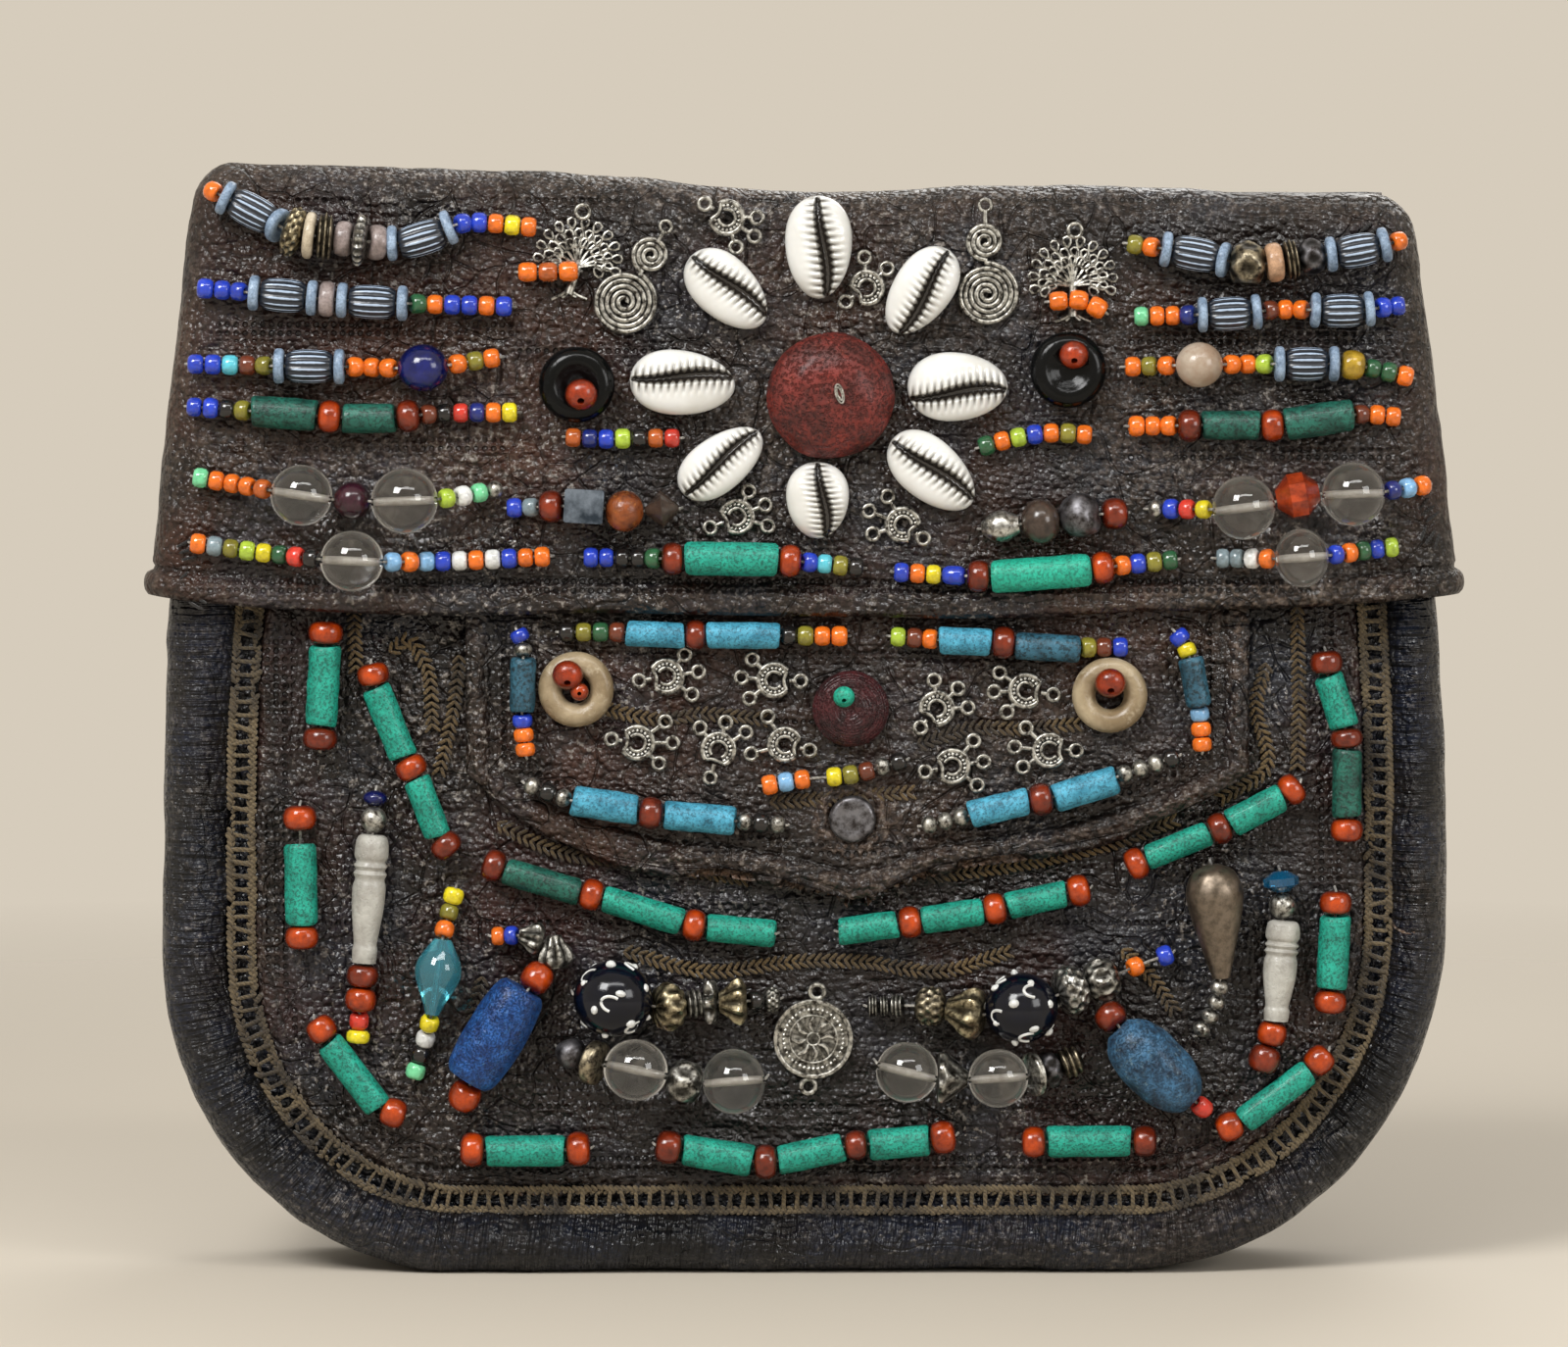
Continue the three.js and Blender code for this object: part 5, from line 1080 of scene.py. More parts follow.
# Turned beads: the outline, its share of the length, the hole, steps along and round, the finish
TURNED = {
    "bead": ([(-1, 0.5), (-0.8, 0.82), (-0.3, 1), (0.3, 1), (0.8, 0.82), (1, 0.5)], 0.96, 0.5, 14, 22,
             None),
    "spindle": ([(-1, 0.66), (-0.95, 0.88), (-0.82, 0.98), (-0.66, 0.98), (-0.58, 0.84), (-0.52, 0.99),
                 (-0.45, 0.85), (-0.39, 0.99), (-0.31, 0.86), (-0.2, 0.96), (0.1, 0.95), (0.45, 0.8),
                 (0.72, 0.68), (0.78, 0.74), (1, 0.7)], 0.98, 0.6, 70, 26, "white_glass"),
    "drop": ([(-1, 0.35), (-0.75, 0.62), (-0.35, 0.95), (-0.1, 1), (0.3, 0.8), (0.7, 0.48), (1, 0.3)],
             0.98, 0.5, 26, 26, "sea_glass"),
    "teardrop": ([(-1, 0.25), (-0.88, 0.72), (-0.6, 0.98), (-0.45, 1), (0, 0.84), (0.5, 0.58), (1, 0.3)],
                 0.98, 0.5, 34, 30, "taupe"),
}
RED_TONES = {"": "red_bead", "dark": "dark_red_bead", "amber": "amber_glass"}
# Metal beads: rows of grains round and along the bead, and how far they stand out
KNOBS = {"disc": (0, 0, 0), "swirl": (5, 2, 0.1), "granule": (12, 4, 0.08), "flower": (8, 1, 0.16),
         "coil": (0, 7, 0.09), "rope": (18, 1, 0.07), "cluster": (6, 1, 0.25), "metal": (6, 2, 0.07),
         "filigree": (10, 2, 0.1)}


def bead_body(kind, tone, length, width):
    """(points, faces, finish, values) of one bead along X, in millimetres, round its own middle."""
    radius = width / 2
    if kind == "ring":
        points, faces = spun(rounded(length * 0.8, radius, 1.0, 0.7), 30)
        return [(points, faces, "pale_ring", {})]
    if kind in TURNED:
        outline, share, hole, steps, sides, finish = TURNED[kind]
        points, faces = spun(shaped(length * share, radius, outline, hole, steps), sides)
        return [(points, faces, finish or RED_TONES.get(tone, tone), {})]
    if kind == "barrel":
        points, faces = spun(shaped(length * 0.97, radius, [(-1, 0.74), (-0.85, 0.88), (-0.4, 0.98),
                                                            (0, 1), (0.4, 0.98), (0.85, 0.88), (1, 0.74)],
                                    0.7, 14), 84)
        angle = np.arctan2(points[:, 2], points[:, 1])
        rib = 0.5 + 0.5 * np.cos(14 * angle)
        solid = np.hypot(points[:, 1], points[:, 2]) > 1.0
        points[:, 1:] *= np.where(solid, 0.93 + 0.09 * rib, 1)[:, None]
        ends = np.clip(1.1 - (np.abs(points[:, 0]) / (length / 2)) ** 4 * 0.9, 0, 1)
        return [(points, faces, "ribbed", {"rib": rib * ends * solid})]
    if kind == "tube":
        ends = [(-0.48 * length, 0.7), (-0.485 * length, radius * 0.86), (-0.46 * length, radius * 0.97)]
        middle = [(t * length, radius) for t in np.linspace(-0.42, 0.42, 12)]
        points, faces = spun(ends + middle + flipped(ends), 26)
        seed = int(length * 10 + width * 100)
        points[:, 1:] *= (1 + 0.035 * hash_noise(points, 2.4, seed))[:, None]
        slant = np.sign(points[:, 0]) * (np.abs(points[:, 0]) > 0.4 * length) * (1 if seed % 2 else -1)
        points[:, 0] += 0.1 * points[:, 1] * slant
        return [(points, faces, (tone or "green") + "_tube", {})]
    if kind == "crystal":
        points, faces = spun(sphere_profile(length * 0.99, radius, 0.55, 24), 40)
        drill = spun(rounded(length * 0.9, 0.6, 0.36, 0.8, 8), 14)
        return [(points, faces, "quartz", {}), (*drill, "drill_hole", {})]
    if kind == "ball":
        points, faces = spun(sphere_profile(length * 0.98, radius, 0.55, 18), 30)
        return [(points, faces, tone, {})]
    if kind == "faceted":
        half = [(-0.48 * length, 0.6), (-0.46 * length, radius * 0.45), (-0.17 * length, radius)]
        points, faces = spun(half + flipped(half), 8)
        return [(points, faces, tone, {})]
    if kind in KNOBS:
        points, faces = spun(shaped(length * 0.96, radius, METAL_OUTLINES.get(kind, ROUND_OUTLINE), 0.6,
                                    26), 54)
        points, deep = knobs(points, length, *KNOBS[kind])
        if kind == "disc":
            angle = np.arctan2(points[:, 2], points[:, 1])
            deep = np.clip(np.cos(20 * angle), 0, 1) * 0.5 * (np.abs(points[:, 0]) > 0.3 * length)
        return [(points, faces, tone or "silver", {"recess": deep})]
    if kind == "band":
        points, faces = spun(rounded(length * 0.9, radius, 0.9, 0.75), 30)
        return [(points, faces, tone, {})]
    if kind == "oval":
        outline, hole, steps, sides = (BLUE_OVAL if tone == "blue_stone" else OVAL), 0.7, 30, 34
        points, faces = spun(shaped(length * 0.98, radius, outline, hole, steps), sides)
        points[:, 1:] *= (1 + 0.03 * hash_noise(points, 4, 3))[:, None]
        return [(points, faces, tone, {})]
    if kind == "cube":
        half = radius * 0.82
        left = [(-0.47 * length, 0.8), (-0.47 * length, half * 1.28), (-0.42 * length, half * 1.4)]
        points, faces = spun(left + flipped(left), 4)
        turned = points.copy()
        c = math.cos(math.pi / 4)
        turned[:, 1], turned[:, 2] = c * (points[:, 1] - points[:, 2]), c * (points[:, 1] + points[:, 2])
        return [(turned, faces, "steel", {})]
    if kind == "smoky":
        points, faces = spun([(-0.48 * length, 0.6), (-0.4 * length, 1.2), (0, radius),
                              (0.4 * length, 1.2), (0.48 * length, 0.6)], 8)
        return [(points, faces, "smoky", {})]
    if kind == "leaf":
        points, faces = spun(shaped(length * 0.96, radius, [(-1, 0.4), (-0.4, 0.95), (0.2, 1), (1, 0.55)],
                                    0.5, 16), 24)
        angle = np.arctan2(points[:, 2], points[:, 1])
        deep = np.clip(np.cos(8 * angle + 3 * points[:, 0] / length), 0, 1) * 0.6
        return [(points, faces, "bright_silver", {"recess": deep})]
    if kind == "pebble":
        points, faces = spun(sphere_profile(length * 0.98, radius, 0.6, 16), 24)
        points *= (1 + 0.14 * hash_noise(points, 3.2, 17))[:, None]
        return [(points, faces, "iron", {})]
    if kind == "cone":
        points, faces = spun(shaped(length * 0.96, radius, [(-1, 0.95), (-0.7, 1), (0, 0.72), (1, 0.3)],
                                    0.6, 20), 48)
        points, deep = knobs(points, length, 8, 2, 0.08)
        return [(points, faces, "silver", {"recess": deep})]
    if kind == "lamp":
        points, faces = spun(sphere_profile(length * 0.99, radius, 0.8, 22), 40)
        parts = [(points, faces, "navy_glass", {})]
        rise = radius * 1.01
        for k in range(16):
            a, b = k * 2.399, math.acos(1 - 2 * (k + 0.5) / 16)
            spot = np.array([math.cos(b) * 0.98, math.sin(b) * math.cos(a),
                             math.sin(b) * math.sin(a)]) * rise * 0.985
            dot, dot_faces = spun(sphere_profile(1.5 + 0.7 * (k % 3 == 0), 0.75 + 0.25 * (k % 2), 0.05,
                                                 6), 8)
            parts.append((dot + spot, dot_faces, "white_trail", {}))
        for k in range(7):
            a, b = 0.6 + k * 2.4, math.acos(0.8 - 1.6 * (k + 0.5) / 7)
            out = np.array([math.cos(b), math.sin(b) * math.cos(a), math.sin(b) * math.sin(a)])
            side = np.cross(out, [1.0, 0.2, 0.1])
            side /= np.linalg.norm(side)
            over = np.cross(out, side)
            bend = np.linspace(0, math.radians(200 - 20 * (k % 3)), 14)
            trail = out + 0.2 * np.cos(bend)[:, None] * side + 0.3 * np.sin(bend)[:, None] * over
            trail *= radius / np.linalg.norm(trail, axis=1, keepdims=True)
            parts.append((*tube(trail, 0.34, 6), "white_trail", {}))
        return parts
    raise ValueError("no such bead: " + kind)


USUAL = {
    "seed": (3.2, 4.1), "bead": (4.7, 6.5), "ring": (2.4, 7.2), "disc": (3.4, 9.0), "barrel": (8.8, 6.6),
    "tube": (13.0, 6.4),
    "ball": (12.4, 12.4), "crystal": (12.4, 12.4), "faceted": (12.4, 12.4), "spindle": (20.4, 7.1),
    "drop": (14.6, 9.6),
    "teardrop": (23.4, 11.8), "oval": (21.0, 13.6), "thread": (3.0, 0.9),
}


def read_beads(text):
    """'seeds:obb bead tube:green/13/6' becomes a list of (kind, tone, length, width)."""
    beads = []
    for word in text.split():
        name, *size = word.split("/")
        kind, _, tone = name.partition(":")
        if kind == "seeds":
            beads += [("seed", letter, *USUAL["seed"]) for letter in tone]
            continue
        length, width = USUAL.get(kind, (4.0, 7.0))
        length = float(size[0]) if size else length
        width = float(size[1]) if len(size) > 1 else width
        beads.append((kind, tone, length, width))
    return beads


SEEDS = {"flap": [], "bag": []}
OUT = np.array([0.0, -1.0, 0.0])


def lay_strand(course, text, face):
    """Where each bead of a strand lies: a list of (bead, middle, along), and the thread's line."""
    line = smooth_course(course)
    room = length_of(line)
    reach = np.concatenate([[0], np.cumsum(np.linalg.norm(np.diff(line, axis=0), axis=1))])
    beads = read_beads(text)
    scale = room / sum(b[2] for b in beads)
    at, laid = 0.0, []
    for bead in beads:
        half = bead[2] * scale / 2
        laid.append((bead, at + half, half))
        at += 2 * half

    def lift(s):
        return max(b[3] / 2 - THREAD_SLOPE * max(0, abs(s - middle) - half) for b, middle, half in laid)

    def spot(s):
        x, z = np.interp(s, reach, line[:, 0]), np.interp(s, reach, line[:, 1])
        return np.array([x, face - SEAT - lift(s), z])

    placed = []
    for bead, middle, half in laid:
        start, end = spot(middle - half * 0.9), spot(middle + half * 0.9)
        along = (end - start) / max(np.linalg.norm(end - start), 1e-6)
        height = spot(middle)
        height[1] = face - SEAT - bead[3] / 2 if lift(middle) <= bead[3] / 2 + 0.05 else height[1]
        placed.append((bead, height, along, 2 * half))
    thread = [spot(s) for s in np.linspace(0, room, max(24, int(room)))]
    first, last = thread[0], thread[-1]
    tail_in = first - (thread[1] - first) / np.linalg.norm(thread[1] - first) * 0.6
    tail_out = last + (last - thread[-2]) / np.linalg.norm(last - thread[-2]) * 0.6
    tail_in[1], tail_out[1] = face + 0.3, face + 0.3
    return placed, np.array([tail_in, first, *thread[1:-1], last, tail_out])


def string_beads(assembly, body, course, text, face):
    """Adds a strand's large beads and thread to the assembly, and its seed beads to the body's list."""
    placed, thread = lay_strand(course, text, face)
    points, faces = tube(even(thread, max(16, len(thread))), 0.27, 6)
    assembly.add(points, faces, "pale_thread")
    for number, ((kind, tone, _, width), middle, along, room) in enumerate(placed):
        if kind == "thread":
            continue
        across = np.cross(along, OUT)
        across /= max(np.linalg.norm(across), 1e-6)
        out = np.cross(across, along)
        turn = Matrix((along, across, out)).transposed().to_euler()
        if kind == "seed" and tone != "s":
            jitter = hash_noise(middle[None] * 7, 1.0, 5)[0]
            colour = np.array(linear(PAINTS[tone]))
            colour[:3] *= 1 + 0.18 * jitter
            SEEDS[body].append((middle, (turn.x + 0.06 * jitter, turn.y, turn.z + 0.08 * jitter),
                                (room * (0.98 + 0.04 * jitter), width * (1 + 0.07 * jitter),
                                 width * (1 + 0.07 * jitter)), colour))
            continue
        if kind == "seed":
            kind, tone, width = "ball", "silver", width * 0.92
        spin = 0.9 * number
        basis = np.array([along, across * math.cos(spin) + out * math.sin(spin),
                          out * math.cos(spin) - across * math.sin(spin)])
        if kind == "cube":
            basis = np.array([along, across, out])
        for points, faces, finish, values in bead_body(kind, tone, room, width):
            assembly.add(points @ basis + middle, faces, finish, **values)


FLAP_ROWS = {
    "flap_row_left_1": ([(-121, 222), (-112, 217.5), (-103, 213), (-94, 211.8), (-83, 210.8),
                         (-77, 211.8), (-69, 214.8), (-54, 214)],
                        "seeds:o ring barrel/9 ring granule:gold/4/9.6 band:cream/2.4/9.6 "
                        "coil:dark_brass/3.6/9 band:mauve/3.6/7.2 "
                        "rope:bright_silver/2.8/9.6 band:mauve/3.6/7.2 ring barrel/9 ring seeds:bboyo"),
    "flap_row_left_2": ([(-123, 201.8), (-107, 200.4), (-89, 199), (-59, 198)],
                        "seeds:bbb ring barrel/8.4 ring band:mauve/3.2/7.2 ring barrel ring "
                        "seeds:gobbob"),
    "flap_row_left_3": ([(-125, 186.4), (-107, 186), (-91, 185.8), (-77, 185.6), (-61.5, 187.8)],
                        "seeds:bbtnv ring barrel ring seeds:ooo ball:lapis/9.6/9.6 seeds:ovo"),
    "flap_row_left_4": ([(-125.2, 177.8), (-105, 176.4), (-88, 175.4), (-73, 176.4), (-58, 176.6)],
                        "seeds:bbkv tube:dark/13.2 bead tube:dark/10.8/6 bead:dark seeds:nkrdoy"),
    "flap_row_left_5": ([(-124, 163.6), (-110, 161.2), (-92, 158.8), (-73, 159.2), (-61, 161.2)],
                        "seeds:mooof crystal ball:purple/7.6/7.6 crystal/13.4/13.4 seeds:lwms"),
    "flap_row_left_6": ([(-124.6, 150.2), (-107, 147.8), (-92.2, 146.6), (-74, 146.4), (-51.4, 147.4)],
                        "seeds:oevlygrk crystal seeds:popbwowboo"),
    "flap_row_right_1": ([(65.4, 210.8), (79.4, 208.6), (90.6, 206.6), (102, 208), (112, 209.3),
                          (122, 211.6)],
                         "seeds:vo ring barrel ring swirl:dark_brass/6.8/8.4 band:tan/3.6/8 "
                         "coil:dark_brass/3/7.6 metal:iron/5/7 "
                         "ring barrel/8 ring seeds:o"),
    "flap_row_right_2": ([(66.8, 196), (87, 196.6), (97, 197.4), (110, 197.2), (122, 198.3)],
                         "seeds:mood ring barrel/8.6 ring seeds:noo ring barrel/8.6 ring seeds:bb"),
    "flap_row_right_3": ([(65, 185.8), (79.4, 186.2), (102, 186.4), (111, 186.2), (123.6, 183.6)],
                         "seeds:ovo ball:agate/9.2/9.2 seeds:ool ring barrel/8 ring bead:amber/4.8/6 "
                         "seeds:ggo"),
    "flap_row_right_4": ([(65.8, 173.8), (87, 174), (96, 174), (113, 176.2), (121.2, 175.6)],
                         "seeds:ooo bead:dark tube:dark/11.6/5.8 bead tube:dark/13.6/6.6 seeds:noo"),
    "flap_row_right_5": ([(69.8, 157), (89.6, 157.4), (101.8, 160), (113.6, 160.2), (127, 162)],
                         "seeds:sbry crystal/13/13 faceted:carnelian/9.6/9.6 crystal/13/13 seeds:dpo"),
    "flap_row_right_6": ([(83.6, 147), (100.4, 147.2), (120.8, 149.4)],
                         "seeds:eewo crystal/12/12 seeds:bogbl"),
    "big_bead_row_left": ([(-60.4, 157.2), (-44, 157.6), (-36, 156.6), (-25.2, 157.2)],
                          "seeds:be bead:dark cube/8/8.4 ball:amber/7.6/8.4 smoky/6.8/8"),
    "big_bead_row_right": ([(36, 153), (48.6, 154.6), (57.4, 155.8), (65.6, 156.2)],
                           "leaf/8/6.4 ball:smoky/8/9.2 pebble/8.4/8.8 bead:dark/5.2/6.4"),
    "tube_row_left": ([(-44.8, 147.2), (-30, 147), (-4, 146.6), (12.2, 145)],
                      "seeds:bbkkg bead:dark tube:green/19.2/6.8 bead seeds:btvk"),
    "tube_row_right": ([(18.2, 144.2), (36, 143.4), (48.2, 144), (61, 145.2), (76, 146.8)],
                       "seeds:boy seed:b/5/4.1 bead:dark tube:bright/20/6.8 bead seeds:obvg"),
}

FLAP_SHORT_ROWS = [
    ([(-48.4, 171.6), (-41, 171.2), (-35.6, 171.3), (-25, 171.4)], "seeds:fdblkfr"),
    ([(35.4, 169.4), (42.8, 171.4), (50, 172.4), (58.6, 172)], "seeds:golbovo"),
]

UNDER_FLAP_ROWS = [
    ([(-50, 131.8), (-37, 131.8), (-30, 131.4), (-12, 131.2), (9, 131)],
     "seeds:kvgn tube:turquoise/11.2/5.2 bead:dark/4/6 tube:turquoise/14/5.4 seeds:kvoo"),
    ([(17.6, 131), (32.6, 130), (40, 129.8), (49, 128.8), (66.2, 128.8)],
     "seeds:lno tube:turquoise/10.4/5.6 bead:dark tube:dusk/12.8/5.6 seeds:vnb"),
    ([(-58.6, 132.4), (-57.4, 130), (-57.2, 123), (-57.4, 115), (-56.6, 106.4)],
     "seeds:bs tube:dusk/12.2/5.2 seeds:boo"),
    ([(75.6, 132), (77.8, 129), (80.6, 116.4), (81.4, 107.4)], "seeds:by tube:dusk/10.4/5.2 seeds:poo"),
    ([(-57, 101), (-47.6, 97.6), (-39, 96.4), (-30.4, 94.9), (-21.4, 94), (-3.6, 92.4)],
     "seeds:sks tube:turquoise/13/6.2 bead:dark tube:turquoise/14/6 seeds:sks"),
    ([(24, 92.2), (33, 94.2), (40.6, 96.2), (57.2, 99.8), (65, 102.8), (76.6, 106.6)],
     "seeds:sss tube:turquoise/12/5.6 bead:dark tube:turquoise/13.2/6 seeds:sssk"),
    ([(-8.6, 100.4), (0, 101.8), (10, 102.8), (21, 105.8)], "seeds:opo thread seeds:yvnsk"),
]

POCKET_TUBE_ROWS = [
    ([(-97.4, 134), (-98, 122.6), (-98.9, 107.6)], "bead/5/7 tube/17.6/6.6 bead:dark/5/7"),
    ([(-88.4, 125.4), (-87, 119.8), (-81.4, 106), (-79.6, 103), (-74.4, 89.8), (-71.4, 86.4)],
     "bead tube/15.6/6 bead tube/12.6/5.6 bead:dark"),
    ([(-65.6, 84.8), (-53.6, 80.7), (-43.2, 78), (-33, 74.8), (-22.4, 71.8), (-5.6, 70)],
     "bead:dark tube:dark/16/5.6 bead tube/17/5.6 bead tube/14.4/5.6"),
    ([(7, 70.4), (21.8, 72.4), (38.4, 75), (58.6, 79.4)],
     "tube/12.2/5.6 bead tube/12.4/5.6 bead tube/12.4/5.6 bead"),
    ([(66, 83.4), (70.6, 85.6), (83.8, 91), (86.6, 92.3), (97.8, 98.2), (101.5, 101)],
     "bead tube/14.4/5.2 bead:dark tube/12.6/6 bead"),
    ([(106.6, 128), (107, 123.4), (110.6, 112), (111, 108.4), (111, 93.8), (111, 88.8)],
     "bead:dark/5/6.6 tube/11.6/6 bead:dark/4.2/6.6 tube:dark/14.4/6 bead/5/6.6"),
    ([(-103, 96.4), (-102.8, 80), (-102.6, 66.8)], "bead/5/6.8 thread/2.4 tube/16/6.6 bead/4.8/6.8"),
    ([(108.9, 78.8), (108.4, 65.6), (107.6, 53.6)], "bead/4.8/6.6 tube/15.2/6.4 bead/4.8/6.6"),
    ([(-100.2, 52.6), (-97, 48), (-86.2, 34.2), (-81.4, 32.6)], "bead/5.4/6 tube/17.4/6 bead/5.4/6"),
    ([(107.6, 46), (103, 41.6), (89.8, 31.6), (84.6, 29.4)], "bead/5.4/6 tube/16.6/5.6 bead/5.4/6"),
    ([(-70.4, 25.8), (-56.8, 25.4), (-43.6, 26)], "bead/5/7 tube/16.4/6.4 bead/5/7"),
    ([(-30.4, 26.6), (-16.6, 24.4), (-7.6, 23.2), (1.8, 24.9), (11, 26.6), (20.6, 27.2), (31.2, 28.6)],
     "bead:dark/5.2/6.8 tube/14/6.6 bead:dark/4.6/7 tube/13.2/6 bead:dark/4.6/6 tube/12/6.4 bead/5/6.8"),
    ([(44.6, 27.2), (58.8, 27.4), (72.4, 27.4)], "bead/4.8/6.4 tube/16.6/6.4 bead:dark/4.8/6.4"),
]

POCKET_ROWS = {
    "centre_row_1": ("silver", [(-47, 58), (-39.2, 57.2), (-29, 55.4), (-19.4, 56), (-4.8, 56.6)],
                     "lamp/15.6/15.6 filigree:gold/6/9.2 coil:silver/4/5.6 cluster:bright_silver/2.8/8 "
                     "flower:gold/5.6/9.2 seed:k/3.2/4.1 granule:silver/3.2/5"),
    "centre_row_2": ("quartz", [(-50.4, 46.6), (-42, 43.6), (-33.2, 42.2), (-23.8, 39.8), (-7.8, 40.6)],
                     "pebble/6/6.4 disc:dark_brass crystal/12.6/12.6 metal:silver/6.8/8.6 "
                     "crystal/12.2/13.4"),
    "centre_row_3": ("silver", [(13, 55), (27, 55.2), (36, 53.8), (45.4, 55.4), (54, 58.6), (60, 60.4),
                                (75.6, 66)],
                     "coil:silver/2.2/4.4 coil:silver/2.2/4 coil:silver/3/4.4 thread/2 "
                     "granule:dark_brass/6/7.6 flower:gold/7.6/10 lamp/14.4/14.4 "
                     "granule:bright_silver/6/9.6 filigree:silver/6.8/8.4 thread/2 seeds:o thread "
                     "seeds:b"),
    "centre_row_4": ("quartz", [(15, 43.8), (24.4, 41.2), (40.8, 40.7), (50.4, 42.2), (57, 44.6)],
                     "crystal/12.4/12.4 cone/6/10.6 crystal/12/12 disc:silver/2/9 metal:iron/4.4/7.2 "
                     "coil:dark_brass/4.8/6"),
    "drop_1": ("shell", [(-87.5, 99.4), (-89, 77), (-91.4, 47.4)],
               "ball:lapis/3.2/5 ball:silver/5.4/5.4 spindle/26.2/7 bead:dark bead/5/6.4 seed:r/3.6/4.1 "
               "seed:y/2.8/4.8"),
    "drop_2": ("glass", [(-71.2, 79.4), (-73.6, 70), (-76, 54), (-80, 40)], "seeds:yvo drop seeds:ywkm"),
    "drop_3": ("stone", [(-64, 69.4), (-56, 69.4), (-50.8, 66.8), (-54, 61.8), (-63, 49.6),
                         (-70.6, 34.2)],
               "seed:o/2.8/4.1 seed:b/2.8/4.1 flower:silver/5.2/6 flower:silver/6.8/6.8 bead/6/6.4 "
               "oval:blue_stone/22/12.4 bead/6/6.6"),
    "drop_4": ("silver", [(83.2, 84.6), (84.4, 72), (85, 60), (83.8, 54), (80.6, 49)],
               "teardrop seeds:ssss"),
    "drop_5": ("shell", [(97.4, 83), (98, 75.4), (97.4, 62), (96, 50), (93.4, 41.6)],
               "faceted:teal_glass/4.4/7.2 ball:silver/5.4/5.6 spindle bead/5/6 bead:dark/5.6/6.4"),
    "drop_6": ("stone", [(61, 55.2), (72.2, 42.8), (83, 33.4)],
               "bead:dark/5/6.4 oval:dusty_blue/21/13.6 seed:r/4/4.1"),
}


def make_beadwork():
    """All strung rows: a piece for each row that is one in the CAD, and one for those sewn to a panel."""
    for name, (course, text) in FLAP_ROWS.items():
        row = Assembly()
        string_beads(row, "flap", course, text, FLAP_FRONT)
        row.finish(name + "_beads", "flap", (name,), "glass", 34)
    short = Assembly()
    for course, text in FLAP_SHORT_ROWS:
        string_beads(short, "flap", course, text, FLAP_FRONT)
    short.finish("short_row_threads", "flap", (), "glass")
    for name, rows, face in (("under_flap_beads", UNDER_FLAP_ROWS, UNDER_FLAP_FRONT),
                             ("pocket_tubes", POCKET_TUBE_ROWS, POCKET_FRONT)):
        work = Assembly()
        for course, text in rows:
            string_beads(work, "bag", course, text, face)
        work.finish(name, "bag", (), "glass")
    for name, (slot, course, text) in POCKET_ROWS.items():
        row = Assembly()
        string_beads(row, "bag", course, text, POCKET_FRONT)
        row.finish(name + "_beads", "bag", (name,), slot)


# ---------------------------------------------------------------- shells, buttons and charms


def cowrie(name, length, width, spot, degrees, lean):
    """A cowrie on its back, its mouth open between two toothed lips; lean says where the mouth lies."""
    stations, columns, teeth = 120, 78, 13
    t = np.linspace(-1, 1, stations)[:, None]
    bulge = np.sqrt(np.clip(1 - np.abs(t) ** 2.15, 0.0006, 1)) * (1 - 0.13 * t) / 1.01
    k = np.linspace(-1, 1, columns)[None, :]
    k = np.sign(k) * np.abs(k) ** 1.35
    half, tall = width / 2 * bulge, width * 0.52 * (0.3 + 0.7 * bulge)
    across, rise = half * np.sin(2.0 * k), np.cos(2.0 * k)
    height = tall * (0.42 + 0.58 * np.where(rise > 0, np.abs(rise) ** 0.75, -0.9 * np.abs(rise)))
    middle = width * (lean + 0.075 * np.sin(2.2 * t + 0.3))
    beside = (across - middle) / width
    within = np.clip((1.0 - np.abs(t)) / 0.08, 0, 1)
    wide = 0.028 + 0.066 * np.clip(1 - t ** 2, 0, 1) ** 0.8 * (1 + 0.4 * t)
    mouth = np.clip(1.25 - np.abs(beside) / wide, 0, 1) * within * (rise > 0)
    bite = np.cos(math.pi * teeth * (1.08 * t + 0.12 * np.sign(beside)))
    lips = peak(np.abs(beside) - wide, 0.07, 0.1) * within * (rise > 0)
    height = height - 0.17 * width * mouth ** 0.7 * (0.35 + 0.65 * bulge) + 0.02 * width * lips * bite
    reach = np.clip(1.3 - (np.abs(beside) - wide) / 0.13, 0, 1) * within * (rise > 0)
    # Painted shade: the gaps between the teeth are painted grey, the lips a faint grey, the mouth dark
    # and the middle of the opening near black
    gaps = np.clip(-1.6 * bite - 0.1, 0, 1) * reach
    dark = np.clip(gaps + 0.06 * reach + 2 * mouth, 0, 1)
    slit_shade = np.clip((mouth - 0.3 - 0.25 * bite) * 5, 0, 1)
    turn = math.radians(degrees)
    c, s = math.cos(turn), math.sin(turn)
    x = t * length / 2 * np.ones_like(across)
    points = np.stack([spot[0] + c * x - s * across, FLAP_FRONT - SEAT - height - 0.02,
                       spot[1] + s * x + c * across], 2)
    faces = grid_faces(stations, columns)
    faces += [tuple(range(columns)), tuple((stations - 1) * columns + i for i in range(columns))]
    for r in range(stations - 1):
        faces.append((r * columns, (r + 1) * columns, (r + 2) * columns - 1, (r + 1) * columns - 1))
    mesh = build_mesh(name + "_shell", points.reshape(-1, 3), faces, ["shell"], None,
                      {"mouth": dark.ravel(), "slit_shade": slit_shade.ravel()}, sharp=70)
    finish_piece(name + "_shell", mesh, "flap", (name,))


